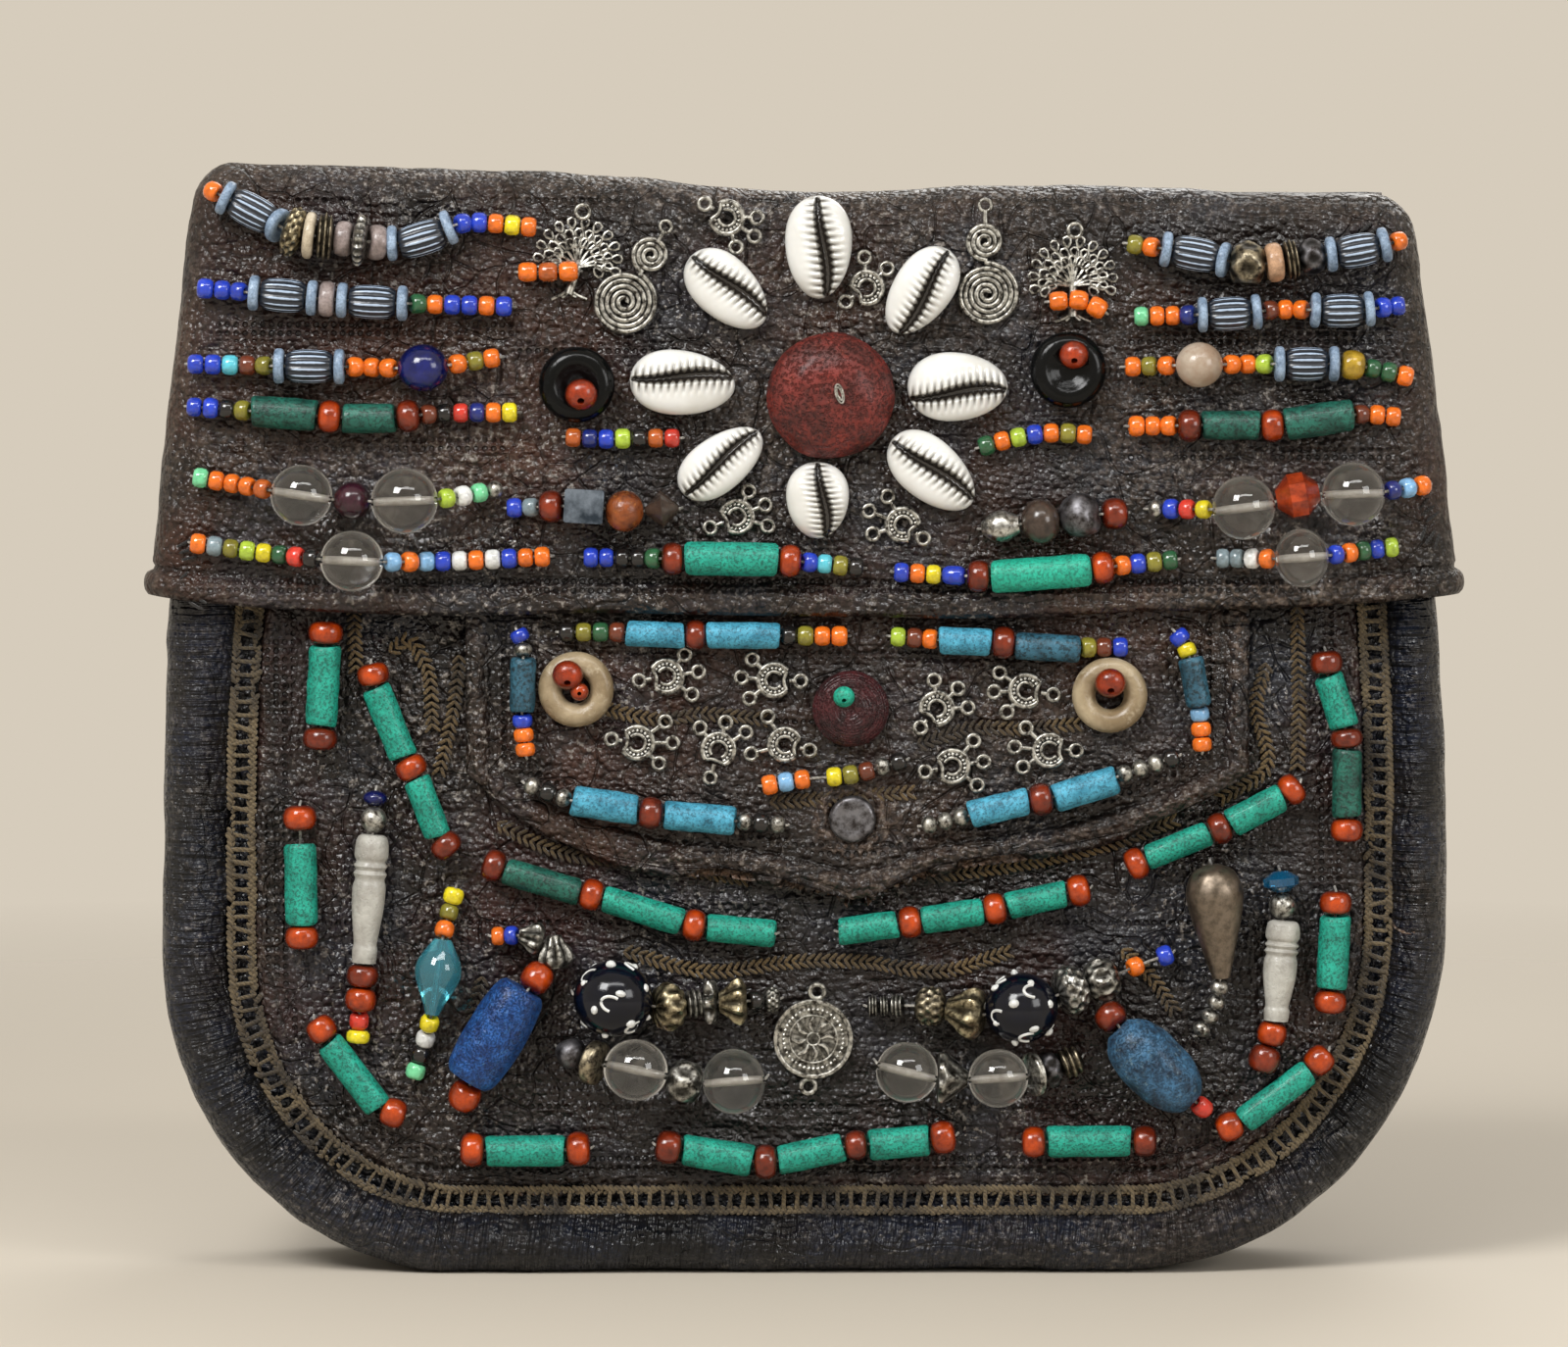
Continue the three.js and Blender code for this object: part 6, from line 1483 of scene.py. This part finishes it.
COWRIES = {
    "cowrie_top": (20.8, 13.6, (3, 210), -90, 0.06),
    "cowrie_upper_left": (20, 12.4, (-15.6, 201.4), -43, 0.09),
    "cowrie_left": (21.4, 13.2, (-24.6, 182.6), -4, 0.08),
    "cowrie_lower_left": (20, 11.2, (-16.8, 166.4), 37, 0.0),
    "cowrie_bottom": (15.6, 12.8, (2.8, 158.8), -90, 0.08),
    "cowrie_upper_right": (20, 12, (23.8, 201.2), 235, 0.07),
    "cowrie_right": (20.4, 14, (31.2, 181.8), 0, -0.1),
    "cowrie_lower_right": (20.8, 12.4, (26, 164.6), -40, 0.04),
}


def on_face(profile, spot, face, sides):
    """Turned round an axis that stands out from a face; profile is (radius, height above the face)."""
    points, faces = spun([(h, r) for r, h in profile], sides, closed=False)
    placed = np.stack([spot[0] + points[:, 1], face - SEAT - points[:, 0], spot[1] + points[:, 2]], 1)
    return placed, faces


def round_bead(spot, radius, y, finish, assembly, hole_turn):
    """A round pierced bead whose hole is turned towards the eye by hole_turn."""
    points, faces = spun(sphere_profile(radius * 1.7, radius, radius * 0.22, 14), 22)
    c, s = math.cos(hole_turn), math.sin(hole_turn)
    x, a, b = points.T
    assembly.add(np.stack([spot[0] + a, y - (c * x + s * b), spot[1] + (c * b - s * x)], 1), faces,
                 finish)


def turned_button(profile, spot, face, sides, finish):
    """A button turned from (radius, height) pairs, lying on a face."""
    button = Assembly()
    points, faces = on_face([(max(0.02, r), h) for r, h in profile], spot, face, sides)
    button.add(points, faces, finish)
    return button


def make_buttons():
    """The shells, then the turned buttons: the dome, the black discs, the horn rings, the maroon one and
    the press stud's cap."""
    for name, values in COWRIES.items():
        cowrie(name, *values)
    dome = Assembly()
    outline = smooth_course([(0.05, 9.0), (3.6, 8.9), (8.4, 7.8), (11.9, 5.2), (13.0, 2.4), (12.2, 0.4),
                             (11.4, 0.0)], 40)
    points, faces = on_face([(r, h) for r, h in outline], (5.6, 180), FLAP_FRONT, 72)
    swell = 0.032 * hash_noise(points, 8, 3) + 0.012 * hash_noise(points, 2.2, 4)
    points = points + (points - [5.6, FLAP_FRONT + 4, 180]) * swell[:, None]
    dome.add(points, faces, "brick")
    for wide, tall in ((0.8, 1.9), (0.45, 1.3)):
        loop = [(7.2 + wide * math.cos(a) - 0.4 * math.sin(a),
                 FLAP_FRONT - SEAT - 9.1 - 0.3 * math.sin(a / 2), 180.4 + tall * math.sin(a))
                for a in np.linspace(0, 2 * math.pi, 20)]
        points, faces = tube(loop, 0.24, 6)
        dome.add(points, faces, "bright_silver")
    dome.finish("dome_button_stone", "flap", ("dome_button",), "stone")

    disc_profile = smooth_course([(0.05, 3.9), (1.8, 4.0), (3.4, 4.7), (5.0, 5.4), (6.6, 4.9), (7.7, 3.0),
                                  (7.3, 1.0), (6.2, 0.0)], 44)
    for name, spot, bead, radius in (("black_disc_left", (-46, 182.2), (-45, 180.2), 3.3),
                                     ("black_disc_right", (53.6, 185.2), (54.6, 188.2), 3.0)):
        disc = turned_button(disc_profile, spot, FLAP_FRONT, 56, "jet")
        round_bead(bead, radius, FLAP_FRONT - SEAT - 5.8, "red_thread_bead", disc, 0.5)
        disc.finish(name + "_button", "flap", (name,), "black")

    ring_profile = [(2.9, 1.4), (3.4, 0.5), (5.3, 0.0), (7.1, 0.7), (7.7, 2.3), (7.0, 4.0), (5.4, 4.6),
                    (3.8, 3.9), (2.9, 2.4)]
    ring_profile = smooth_course(ring_profile, 40)
    for name, spot, bead, radius in (("horn_ring_left", (-46.4, 120.2), (-48, 123.2), 3.2),
                                     ("horn_ring_right", (62.4, 119), (62.4, 121.6), 3.2)):
        ring = Assembly()
        points, faces = spun([(h, r) for r, h in ring_profile], 56)
        ring.add(np.stack([spot[0] + points[:, 1], UNDER_FLAP_FRONT - SEAT - points[:, 0],
                           spot[1] + points[:, 2]], 1), faces, "horn")
        round_bead(bead, radius, UNDER_FLAP_FRONT - SEAT - 5.0, "red_thread_bead", ring, 0.6)
        if name.endswith("left"):
            round_bead((bead[0] + 2.4, bead[1] - 3.4), 1.9, UNDER_FLAP_FRONT - SEAT - 4.4, "red_bead",
                       ring, 0.2)
        ring.finish(name + "_button", "bag", (name,), "horn")

    profile = smooth_course([(0.05, 4.6), (2.0, 5.0), (4.6, 4.5), (6.9, 3.0), (7.8, 1.6), (7.2, 0.3),
                             (6.4, 0.0)], 60)
    profile[:, 1] += 0.07 * np.sin(np.arange(60) * 1.9)
    button = turned_button(profile, (9.6, 116.2), UNDER_FLAP_FRONT, 60, "maroon")
    round_bead((8.2, 118.8), 2.2, UNDER_FLAP_FRONT - SEAT - 5.2, "bright_tube", button, 0.4)
    button.finish("maroon_button_turned", "bag", ("maroon_button",), "stone")

    profile = smooth_course([(0.05, 1.5), (2.2, 1.6), (3.4, 1.75), (4.2, 1.6), (4.75, 0.9), (4.7, 0.2),
                             (4.2, 0.0)], 26)
    stud = turned_button(profile, SNAP_PLACE, UNDER_FLAP_FRONT, 44, "iron")
    stud.finish("press_stud_cap", "bag", ("snap_cap",), "silver")


def coil_line(spot, radius, turns, end_turn, pitch_power, count):
    """A flat coil round a spot, from its middle out to its end."""
    share = np.linspace(0, 1, count)
    reach = 0.5 + (radius - 0.5) * share ** pitch_power
    turn = end_turn - (1 - share) * turns * 2 * math.pi
    return np.stack([spot[0] + reach * np.cos(turn), spot[1] + reach * np.sin(turn)], 1)


def wire_on(assembly, line, face, radius, finish="silver", sides=8, lift=None):
    """A wire along (x, z) points on a face, its middle lifted off it by its radius or by lift."""
    line = np.asarray(line, dtype=float)
    height = radius if lift is None else lift
    points, faces = tube(np.stack([line[:, 0], face - SEAT - height + 0 * line[:, 0], line[:, 1]], 1),
                         radius, sides)
    assembly.add(points, faces, finish)


def hoop(assembly, spot, radius, wire, face, finish="silver", count=28, lift=None):
    """A ring of wire lying on a face."""
    turn = np.linspace(0, 2 * math.pi, count)
    line = np.stack([spot[0] + radius * np.cos(turn), spot[1] + radius * np.sin(turn)], 1)
    wire_on(assembly, line, face, wire, finish, 7, lift)


def make_charms():
    """Two double spirals of wire, and two trees of wire with leaves, roots and three beads."""
    for name, large, large_radius, small, hook in (
            ("spiral_charm_left", (-36.4, 199), 6.8, (-31, 208.4), (-28.4, 213.4)),
            ("spiral_charm_right", (37.2, 200.6), 6.6, (36.8, 211.2), (36.8, 217.6))):
        charm = Assembly()
        towards = math.atan2(small[1] - large[1], small[0] - large[0])
        lower = coil_line(large, large_radius - 0.35, 5.2, towards, 0.95, 260)
        upper = coil_line(small, 3.7, 3.1, towards + math.pi, 0.95, 140)
        wire_on(charm, np.concatenate([lower, upper[::-1]]), FLAP_FRONT, 0.52)
        rise = math.atan2(hook[1] - small[1], hook[0] - small[0])
        root = (small[0] + 3.2 * math.cos(rise), small[1] + 3.2 * math.sin(rise))
        wire_on(charm, np.linspace(root, hook, 8), FLAP_FRONT, 0.5)
        hoop(charm, (hook[0] + 0.9 * math.cos(rise), hook[1] + 0.9 * math.sin(rise)), 1.2, 0.36,
             FLAP_FRONT)
        charm.finish(name + "_wire", "flap", (name,), "silver", 60)

    for name, crown, ring, foot, beads, tones in (
            ("tree_charm_left", (-45.8, 207.4), (-44.8, 217.2), (-47.6, 200.6),
             [(-58, 205), (-52.2, 205), (-45.6, 205.2)], "seeds:ofo"),
            ("tree_charm_right", (54.6, 203.6), (55, 213.4), (54.6, 196),
             [(49.6, 199), (56.4, 199.2), (61.2, 196.8)], "seeds:ooo")):
        tree = Assembly()
        hoop(tree, ring, 1.4, 0.42, FLAP_FRONT, lift=0.8)
        fork = np.array([crown[0], crown[1] - 1.4])
        wire_on(tree, np.linspace(foot, fork, 10), FLAP_FRONT, np.linspace(1.0, 0.75, 10), lift=0.8)
        for k in range(12):
            angle = math.radians(-16 + 212 * k / 11)
            tip = np.array([crown[0] + 6.9 * math.cos(angle), crown[1] + 6.6 * math.sin(angle)])
            middle = (fork + tip) / 2 + np.array([0.6 * math.cos(angle * 3), 0.5])
            branch = smooth_course([fork, middle, tip], 12)
            wire_on(tree, branch, FLAP_FRONT, np.linspace(0.4, 0.22, 12), sides=5, lift=0.55)
            for share, way in ((0.5, -1), (0.72, 1), (0.98, -0.2)):
                at = fork + (tip - fork) * share
                lean_to = angle + 0.55 * way
                along = np.array([math.cos(lean_to), math.sin(lean_to)])
                beside = np.array([-along[1], along[0]])
                ring = np.linspace(0, 2 * math.pi, 9)
                leaf = [at + along * (1.15 - 1.1 * math.cos(a))
                        + beside * 0.62 * math.sin(a) * (1.2 - 0.5 * math.cos(a)) for a in ring]
                wire_on(tree, leaf, FLAP_FRONT, 0.27, sides=5, lift=0.75)
        for way in (-1, -0.4, 0.4, 1):
            end = (foot[0] + 3.6 * way, foot[1] - 0.6 - 0.5 * abs(way))
            wire_on(tree, smooth_course([(foot[0], foot[1] + 1), (foot[0] + 1.4 * way, foot[1] - 0.1),
                                         end], 8), FLAP_FRONT, 0.32, sides=5, lift=0.6)
        string_beads(tree, "flap", beads, tones, FLAP_FRONT)
        tree.finish(name + "_wire", "flap", (name,), "silver", 60)


# Connectors: place of the ring, the three loops on one side and the single one on the other
FLAP_CONNECTORS = [
    ((-15.6, 216), [(-9, 216), (-9.6, 212), (-13.6, 209.6)], (-20.4, 219)),
    ((12.8, 201.8), [(12.2, 208.4), (17.2, 206)], (8.2, 198.8)),
    ((-13.6, 155.4), [(-11, 161), (-7.4, 158), (-6.8, 153.4)], (-19.4, 153)),
    ((20.2, 153.8), [(16.8, 160), (12.8, 156.8), (13.6, 151.8)], (24.6, 150.8)),
]
UNDER_FLAP_CONNECTORS = [
    ((-28, 122.8), [(-24, 127.6), (-21, 123.8), (-22.4, 118.8)], (-34, 121.8)),
    ((-6, 122), [(-10.8, 126.6), (-13.2, 122.6), (-11.4, 118)], (-0.2, 121.8)),
    ((-34, 109.2), [(-27.8, 113.8), (-26.2, 109.2), (-29.2, 104.6)], (-39.6, 110)),
    ((-17.4, 107.8), [(-21.4, 112.6), (-15.8, 113.8), (-11.4, 111.6)], (-19.2, 101.6)),
    ((-3.8, 108.8), [(-7.6, 115), (-11.2, 106.8)], (1.6, 107.6)),
    ((27.2, 116.2), [(26.6, 122.4), (31.8, 120.6), (34, 116.4)], (23.6, 112)),
    ((45.4, 119.8), [(39.6, 123.8), (38.4, 119.6), (41.2, 115.2)], (51.4, 119)),
    ((30.4, 104.4), [(35, 110), (37.2, 105.4), (35.8, 100.2)], (24.4, 103.2)),
    ((50.2, 107.6), [(45, 112.6), (42.6, 108.4), (44.4, 104)], (56, 107.6)),
]


def make_connectors():
    """The ring connectors, with grains of metal round each large ring."""
    for name, body, places, face in (("flap_connectors", "flap", FLAP_CONNECTORS, FLAP_FRONT),
                                     ("under_flap_connectors", "bag", UNDER_FLAP_CONNECTORS,
                                      UNDER_FLAP_FRONT)):
        work = Assembly()
        grains = []
        for ring, loops, single in places:
            ring = np.array(ring, dtype=float)
            away = np.array(single) - ring
            facing = math.atan2(away[1], away[0])
            for radius, wire in ((3.25, 0.58), (1.75, 0.4)):
                turn = facing + math.radians(38) + np.linspace(0, math.radians(284), 30)
                arc = np.stack([ring[0] + radius * np.cos(turn), ring[1] + radius * np.sin(turn)], 1)
                wire_on(work, arc, face, wire, lift=0.7)
            for k in range(15):
                turn = facing + math.radians(44 + 272 * k / 14)
                grains.append(((ring[0] + 2.5 * math.cos(turn), face - SEAT - 1.0,
                                ring[1] + 2.5 * math.sin(turn)), (0, 0, 0), (0.75, 0.75, 0.75)))
            bend = [ring + 3.2 * np.array([math.cos(facing + s * 0.66), math.sin(facing + s * 0.66)])
                    for s in (1, 0, -1)]
            wire_on(work, smooth_course([bend[0], ring + 0.62 * away * 0.55, bend[2]], 14), face, 0.42,
                    lift=0.7)
            for spot in [*loops, single]:
                spot = np.array(spot, dtype=float)
                gap = spot - ring
                reach = np.linalg.norm(gap)
                unit = gap / reach
                centre = ring + unit * max(4.6, reach * 0.93)
                wire_on(work, [ring + unit * 3.1, centre - unit * 1.2], face, 0.5, lift=0.7)
                hoop(work, centre, 1.25, 0.44, face, lift=0.7, count=20)
        work.finish(name, body, (), "silver", 60)
        set_down(name + "_grains", GRAIN_SHAPE, grains, "bright_silver", body, "silver")


def make_coin():
    """The round connector plate: a rosette inside a dotted ring."""
    coin = Assembly()
    spot = np.array([2.0, 48.2])
    profile = [(0.05, 1.0), (7.1, 1.0), (7.2, 1.5), (7.6, 1.75), (8.1, 1.6), (8.2, 1.2), (8.2, 0.3),
               (8.0, 0.0)]
    points, faces = on_face(profile, spot, POCKET_FRONT, 72)
    coin.add(points, faces, "silver", recess=np.where(np.hypot(points[:, 0] - 2,
                                                               points[:, 2] - 48.2) < 7.1, 0.8, 0))
    for side, way in ((0.8, 1), (-1.0, -1)):
        hoop(coin, (spot[0] + side, spot[1] + way * 9.75), 1.5, 0.5, POCKET_FRONT, lift=0.8)
    for radius in (1.3, 4.9):
        hoop(coin, spot, radius, 0.2, POCKET_FRONT, "bright_silver", 50, lift=1.15)
    for k in range(8):
        a = math.pi * k / 4
        petal = [spot + 1.5 * np.array([math.cos(a), math.sin(a)]),
                 spot + 3.0 * np.array([math.cos(a + 0.22), math.sin(a + 0.22)]),
                 spot + 4.6 * np.array([math.cos(a), math.sin(a)])]
        wire_on(coin, smooth_course(petal, 10), POCKET_FRONT,
                np.array([0.16, 0.3, 0.42, 0.5, 0.52, 0.5, 0.42, 0.34, 0.25, 0.14]), "bright_silver", 6,
                lift=1.1)
    coin.finish("coin_connector_disc", "bag", ("coin_connector",), "silver", 50)
    grains = [((spot[0] + 6.1 * math.cos(a), POCKET_FRONT - SEAT - 1.1, spot[1] + 6.1 * math.sin(a)),
               (0, 0, 0), (0.8, 0.8, 0.8)) for a in np.arange(40) / 40 * 2 * math.pi]
    set_down("coin_grains", GRAIN_SHAPE, grains, "bright_silver", "bag", "silver")


# ---------------------------------------------------------------- cords and stitches


def along_line(line, pitch):
    """Points with their direction every pitch millimetres along an (x, z) line."""
    count = max(2, int(length_of(line) / pitch) + 1)
    spots = even(line, count)
    ways = np.gradient(spots, axis=0)
    ways /= np.linalg.norm(ways, axis=1, keepdims=True)
    return spots, ways


def slanted(spots, ways, offset, angle, y, size):
    """One stitch at each point, beside the line by offset and slanted to it by angle."""
    made = []
    for (x, z), (a, b) in zip(spots, ways):
        heading = math.atan2(b, a) + angle
        made.append(((x - b * offset, y, z + a * offset), (0, -heading, 0), size))
    return made


def make_braid():
    """Two chains of loops with rungs across, and a thinner rung lying under each."""
    line = body_outline(BRAID_INSET, BODY_TOP - 8, PANEL_SHIFT)
    stitches = []
    for number, (pitch, offset, angle, size, height) in enumerate((
            (1.25, -2.45, 0.62, (1.9, 1.0, 1.1), 1.5), (1.25, 2.35, -0.62, (1.9, 1.0, 1.1), 1.5),
            (1.4, -1.7, -0.5, (1.5, 0.75, 0.9), 1.25), (1.4, 1.6, 0.5, (1.5, 0.75, 0.9), 1.25),
            (2.75, 0.15, 1.5, (4.3, 0.85, 0.9), 1.75), (2.75, -0.1, 1.62, (3.6, 0.6, 0.7), 1.45))):
        spots, ways = along_line(line, pitch)
        flat = np.stack([spots[:, 0], 0 * spots[:, 0], spots[:, 1]], 1)
        slip, tilt, swell = (hash_noise(flat, 1.3, 10 * number + k) for k in (1, 2, 3))
        for spot, way, a, b, c in zip(spots, ways, slip, tilt, swell):
            if c > -0.75:
                stretch = tuple(side * (1 + 0.2 * c) for side in size)
                stitches += slanted([spot], [way], offset + 0.22 * a, angle + 0.22 * b,
                                    WALL_FRONT - height - 0.2 * a, stretch)
    set_down("edge_braid_cord", STITCH_SHAPE, stitches, "braided_cord", "bag", "cord",
             stands_for=("edge_braid",), Size_Spread=0.0002, Turn_Spread=0.2)


EMBROIDERY = [
    ([(-92, 136), (-91.6, 124)], POCKET_FRONT),
    ([(101, 136), (101.4, 118), (101.2, 104)], POCKET_FRONT),
    ([(-70.4, 126), (-71.6, 116), (-74.6, 103)], POCKET_FRONT),
    ([(94.6, 124.4), (92.6, 116.4), (95, 104.2), (85.6, 97.6)], POCKET_FRONT),
    ([(-84, 128), (-81, 130), (-77, 124), (-76, 112)], POCKET_FRONT),
    ([(-62, 92), (-50, 86.5), (-30, 84), (-12, 81)], POCKET_FRONT),
    ([(26, 81.5), (44, 84), (62, 88), (76, 93)], POCKET_FRONT),
    ([(-36, 66), (-20, 62), (-2, 64), (12, 64), (28, 62), (42, 66)], POCKET_FRONT),
    ([(-66, 60), (-68, 50), (-64, 42)], POCKET_FRONT),
    ([(66, 66), (72, 60), (76, 54)], POCKET_FRONT),
    ([(-40, 116), (-30, 114), (-20, 115), (-8, 114)], UNDER_FLAP_FRONT),
    ([(24, 109), (34, 112), (46, 112), (56, 113)], UNDER_FLAP_FRONT),
    ([(-6, 97), (8, 98), (22, 99)], UNDER_FLAP_FRONT),
]


def make_embroidery():
    """Rows of stitches in herringbone on the front, round the back and at the corners of the flap."""
    by_hand = []
    for course, face in EMBROIDERY:
        spots, ways = along_line(smooth_course(course, 80), 1.5)
        for side in (-1, 1):
            by_hand += slanted(spots, ways, side * 0.75, side * math.radians(42), face - 0.25,
                               (2.3, 0.75, 0.8))
    set_down("herringbone_stitches", STITCH_SHAPE, by_hand, "embroidery", "bag", "cord",
             Size_Spread=0.0001, Turn_Spread=0.2)
    # The hidden back is sewn along its edge, and the feet of the strap loops are sewn down
    back_line = body_outline(6.5, 214)
    spots, ways = along_line(back_line, 4.6)
    sewn = slanted(spots, ways, 0, 0, BODY_DEPTH / 2 + 0.5, (3.2, 0.9, 0.9))
    for node in ("strap_loop_left", "strap_loop_right"):
        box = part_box(node)
        middle = (box[0][0] + box[1][0]) * 500
        for height in (186.2, 207.8):
            for k in range(5):
                sewn.append(((middle - 6 + 3 * k, BODY_DEPTH / 2 + 2.9, height), (0, 0, 0),
                             (2.0, 0.8, 0.8)))
    set_down("back_stitches", STITCH_SHAPE, sewn, "braided_cord", "bag", "cord", Turn_Spread=0.12)
    black = []
    for x, z, angle in ((-116, 221, 60), (-118, 217, 75), (-126, 150, 20), (-126.5, 143, 40),
                        (-122, 140, -30), (126, 158, 35), (126, 152, 60), (124, 143, 80), (114, 214, 40),
                        (116, 209, 70)):
        heading = math.radians(angle)
        for k in range(3):
            black.append(((x + 1.6 * k * math.sin(heading), FLAP_FRONT - 0.2,
                           z - 1.6 * k * math.cos(heading)), (0, -heading, 0), (3.4, 0.7, 0.7)))
    set_down("corner_stitches", STITCH_SHAPE, black, "black_thread", "flap", "cord", Turn_Spread=0.3,
             Size_Spread=0.0001)


# ---------------------------------------------------------------- camera, stage and light


def make_stage():
    """The camera, the floor, the world and the lights."""
    camera = bpy.data.cameras.new("camera")
    camera.lens, camera.sensor_width, camera.sensor_fit = 146.8, 36, "HORIZONTAL"
    camera.clip_start, camera.clip_end = 0.05, 30
    eye = bpy.data.objects.new("camera", camera)
    scene.collection.objects.link(eye)
    target = Vector((-0.004, (FLAP_FRONT + SHIFT_Y) / 1000, 0.1235))
    eye.location = target + Vector((0, -1.3, 0.0605))
    eye.rotation_euler = (target - eye.location).to_track_quat("-Z", "Y").to_euler()
    scene.camera = eye

    # The floor keeps the shadow, and further out it fades into the plain backdrop
    floor_finish, tree, shader, spot = surface("pale_floor", 0.75, Base_Color="#cdc3b3")
    away = add(tree, "VectorMath", {0: spot}, "Value", operation="LENGTH")
    fade = add(tree, "MapRange", {0: away, 1: 0.32, 2: 0.95})
    clear = add(tree, "BsdfTransparent", {})
    both = add(tree, "MixShader", {0: fade, 1: shader.outputs[0], 2: clear})
    tree.links.new(both, tree.nodes["Material Output"].inputs["Surface"])
    mesh = bpy.data.meshes.new("floor")
    size = 6.0
    mesh.from_pydata([(-size, -size, -0.0004), (size, -size, -0.0004), (size, size, -0.0004),
                      (-size, size, -0.0004)], [], [(0, 1, 2, 3)])
    mesh.materials.append(floor_finish)
    floor = bpy.data.objects.new("floor", mesh)
    scene.collection.objects.link(floor)

    world = bpy.data.worlds.new("studio")
    world.use_nodes = True
    tree = world.node_tree
    light = tree.nodes["Background"]
    light.inputs["Color"].default_value = linear("#f2efe9")
    light.inputs["Strength"].default_value = 0.3
    # What the eye, metal and glass see is a pale backdrop; what lights the bag is the softer light above
    backdrop = add(tree, "Background", {"Color": "#d6ccbc", "Strength": 1.0})
    ray = add(tree, "LightPath", {}, "Is Camera Ray").node.outputs
    seen = add(tree, "Math", {0: ray["Is Camera Ray"], 1: ray["Is Transmission Ray"]},
               operation="MAXIMUM")
    seen = add(tree, "Math", {0: seen, 1: ray["Is Glossy Ray"]}, operation="MAXIMUM")
    both = add(tree, "MixShader", {0: seen, 1: light.outputs[0], 2: backdrop})
    tree.links.new(both, tree.nodes["World Output"].inputs["Surface"])
    scene.world = world

    for name, place, size, width, power in (
            ("window_light", (-0.5, -0.8, 0.85), 0.42, 0.42, 11.5),
            ("fill_light", (0.75, -0.7, 0.4), 0.4, 0.4, 3.2),
            ("strip_light", (0.1, -0.7, 0.9), 0.9, 0.14, 3.5),
            ("back_light", (0.25, 0.7, 0.8), 0.6, 0.6, 3.5)):
        lamp = bpy.data.lights.new(name, "AREA")
        lamp.shape, lamp.size, lamp.size_y, lamp.energy = "RECTANGLE", size, width, power
        holder = bpy.data.objects.new(name, lamp)
        scene.collection.objects.link(holder)
        holder.location = place
        holder.rotation_euler = (Vector((0, 0, 0.12)) - Vector(place)).to_track_quat("-Z", "Y").to_euler()
    scene.view_settings.view_transform = "Standard"


make_stage()
make_body()
make_pocket()
make_under_flap()
make_flap()
make_strap_loops()
make_beadwork()
make_buttons()
make_charms()
make_connectors()
make_coin()
for body, spots in SEEDS.items():
    set_down(f"seed_beads_{body}", SEED_SHAPE, spots, "seed_glass", body, "glass")
make_braid()
make_embroidery()

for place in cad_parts["snap_stud"].material_slots:
    place.material = FINISHES["iron"]
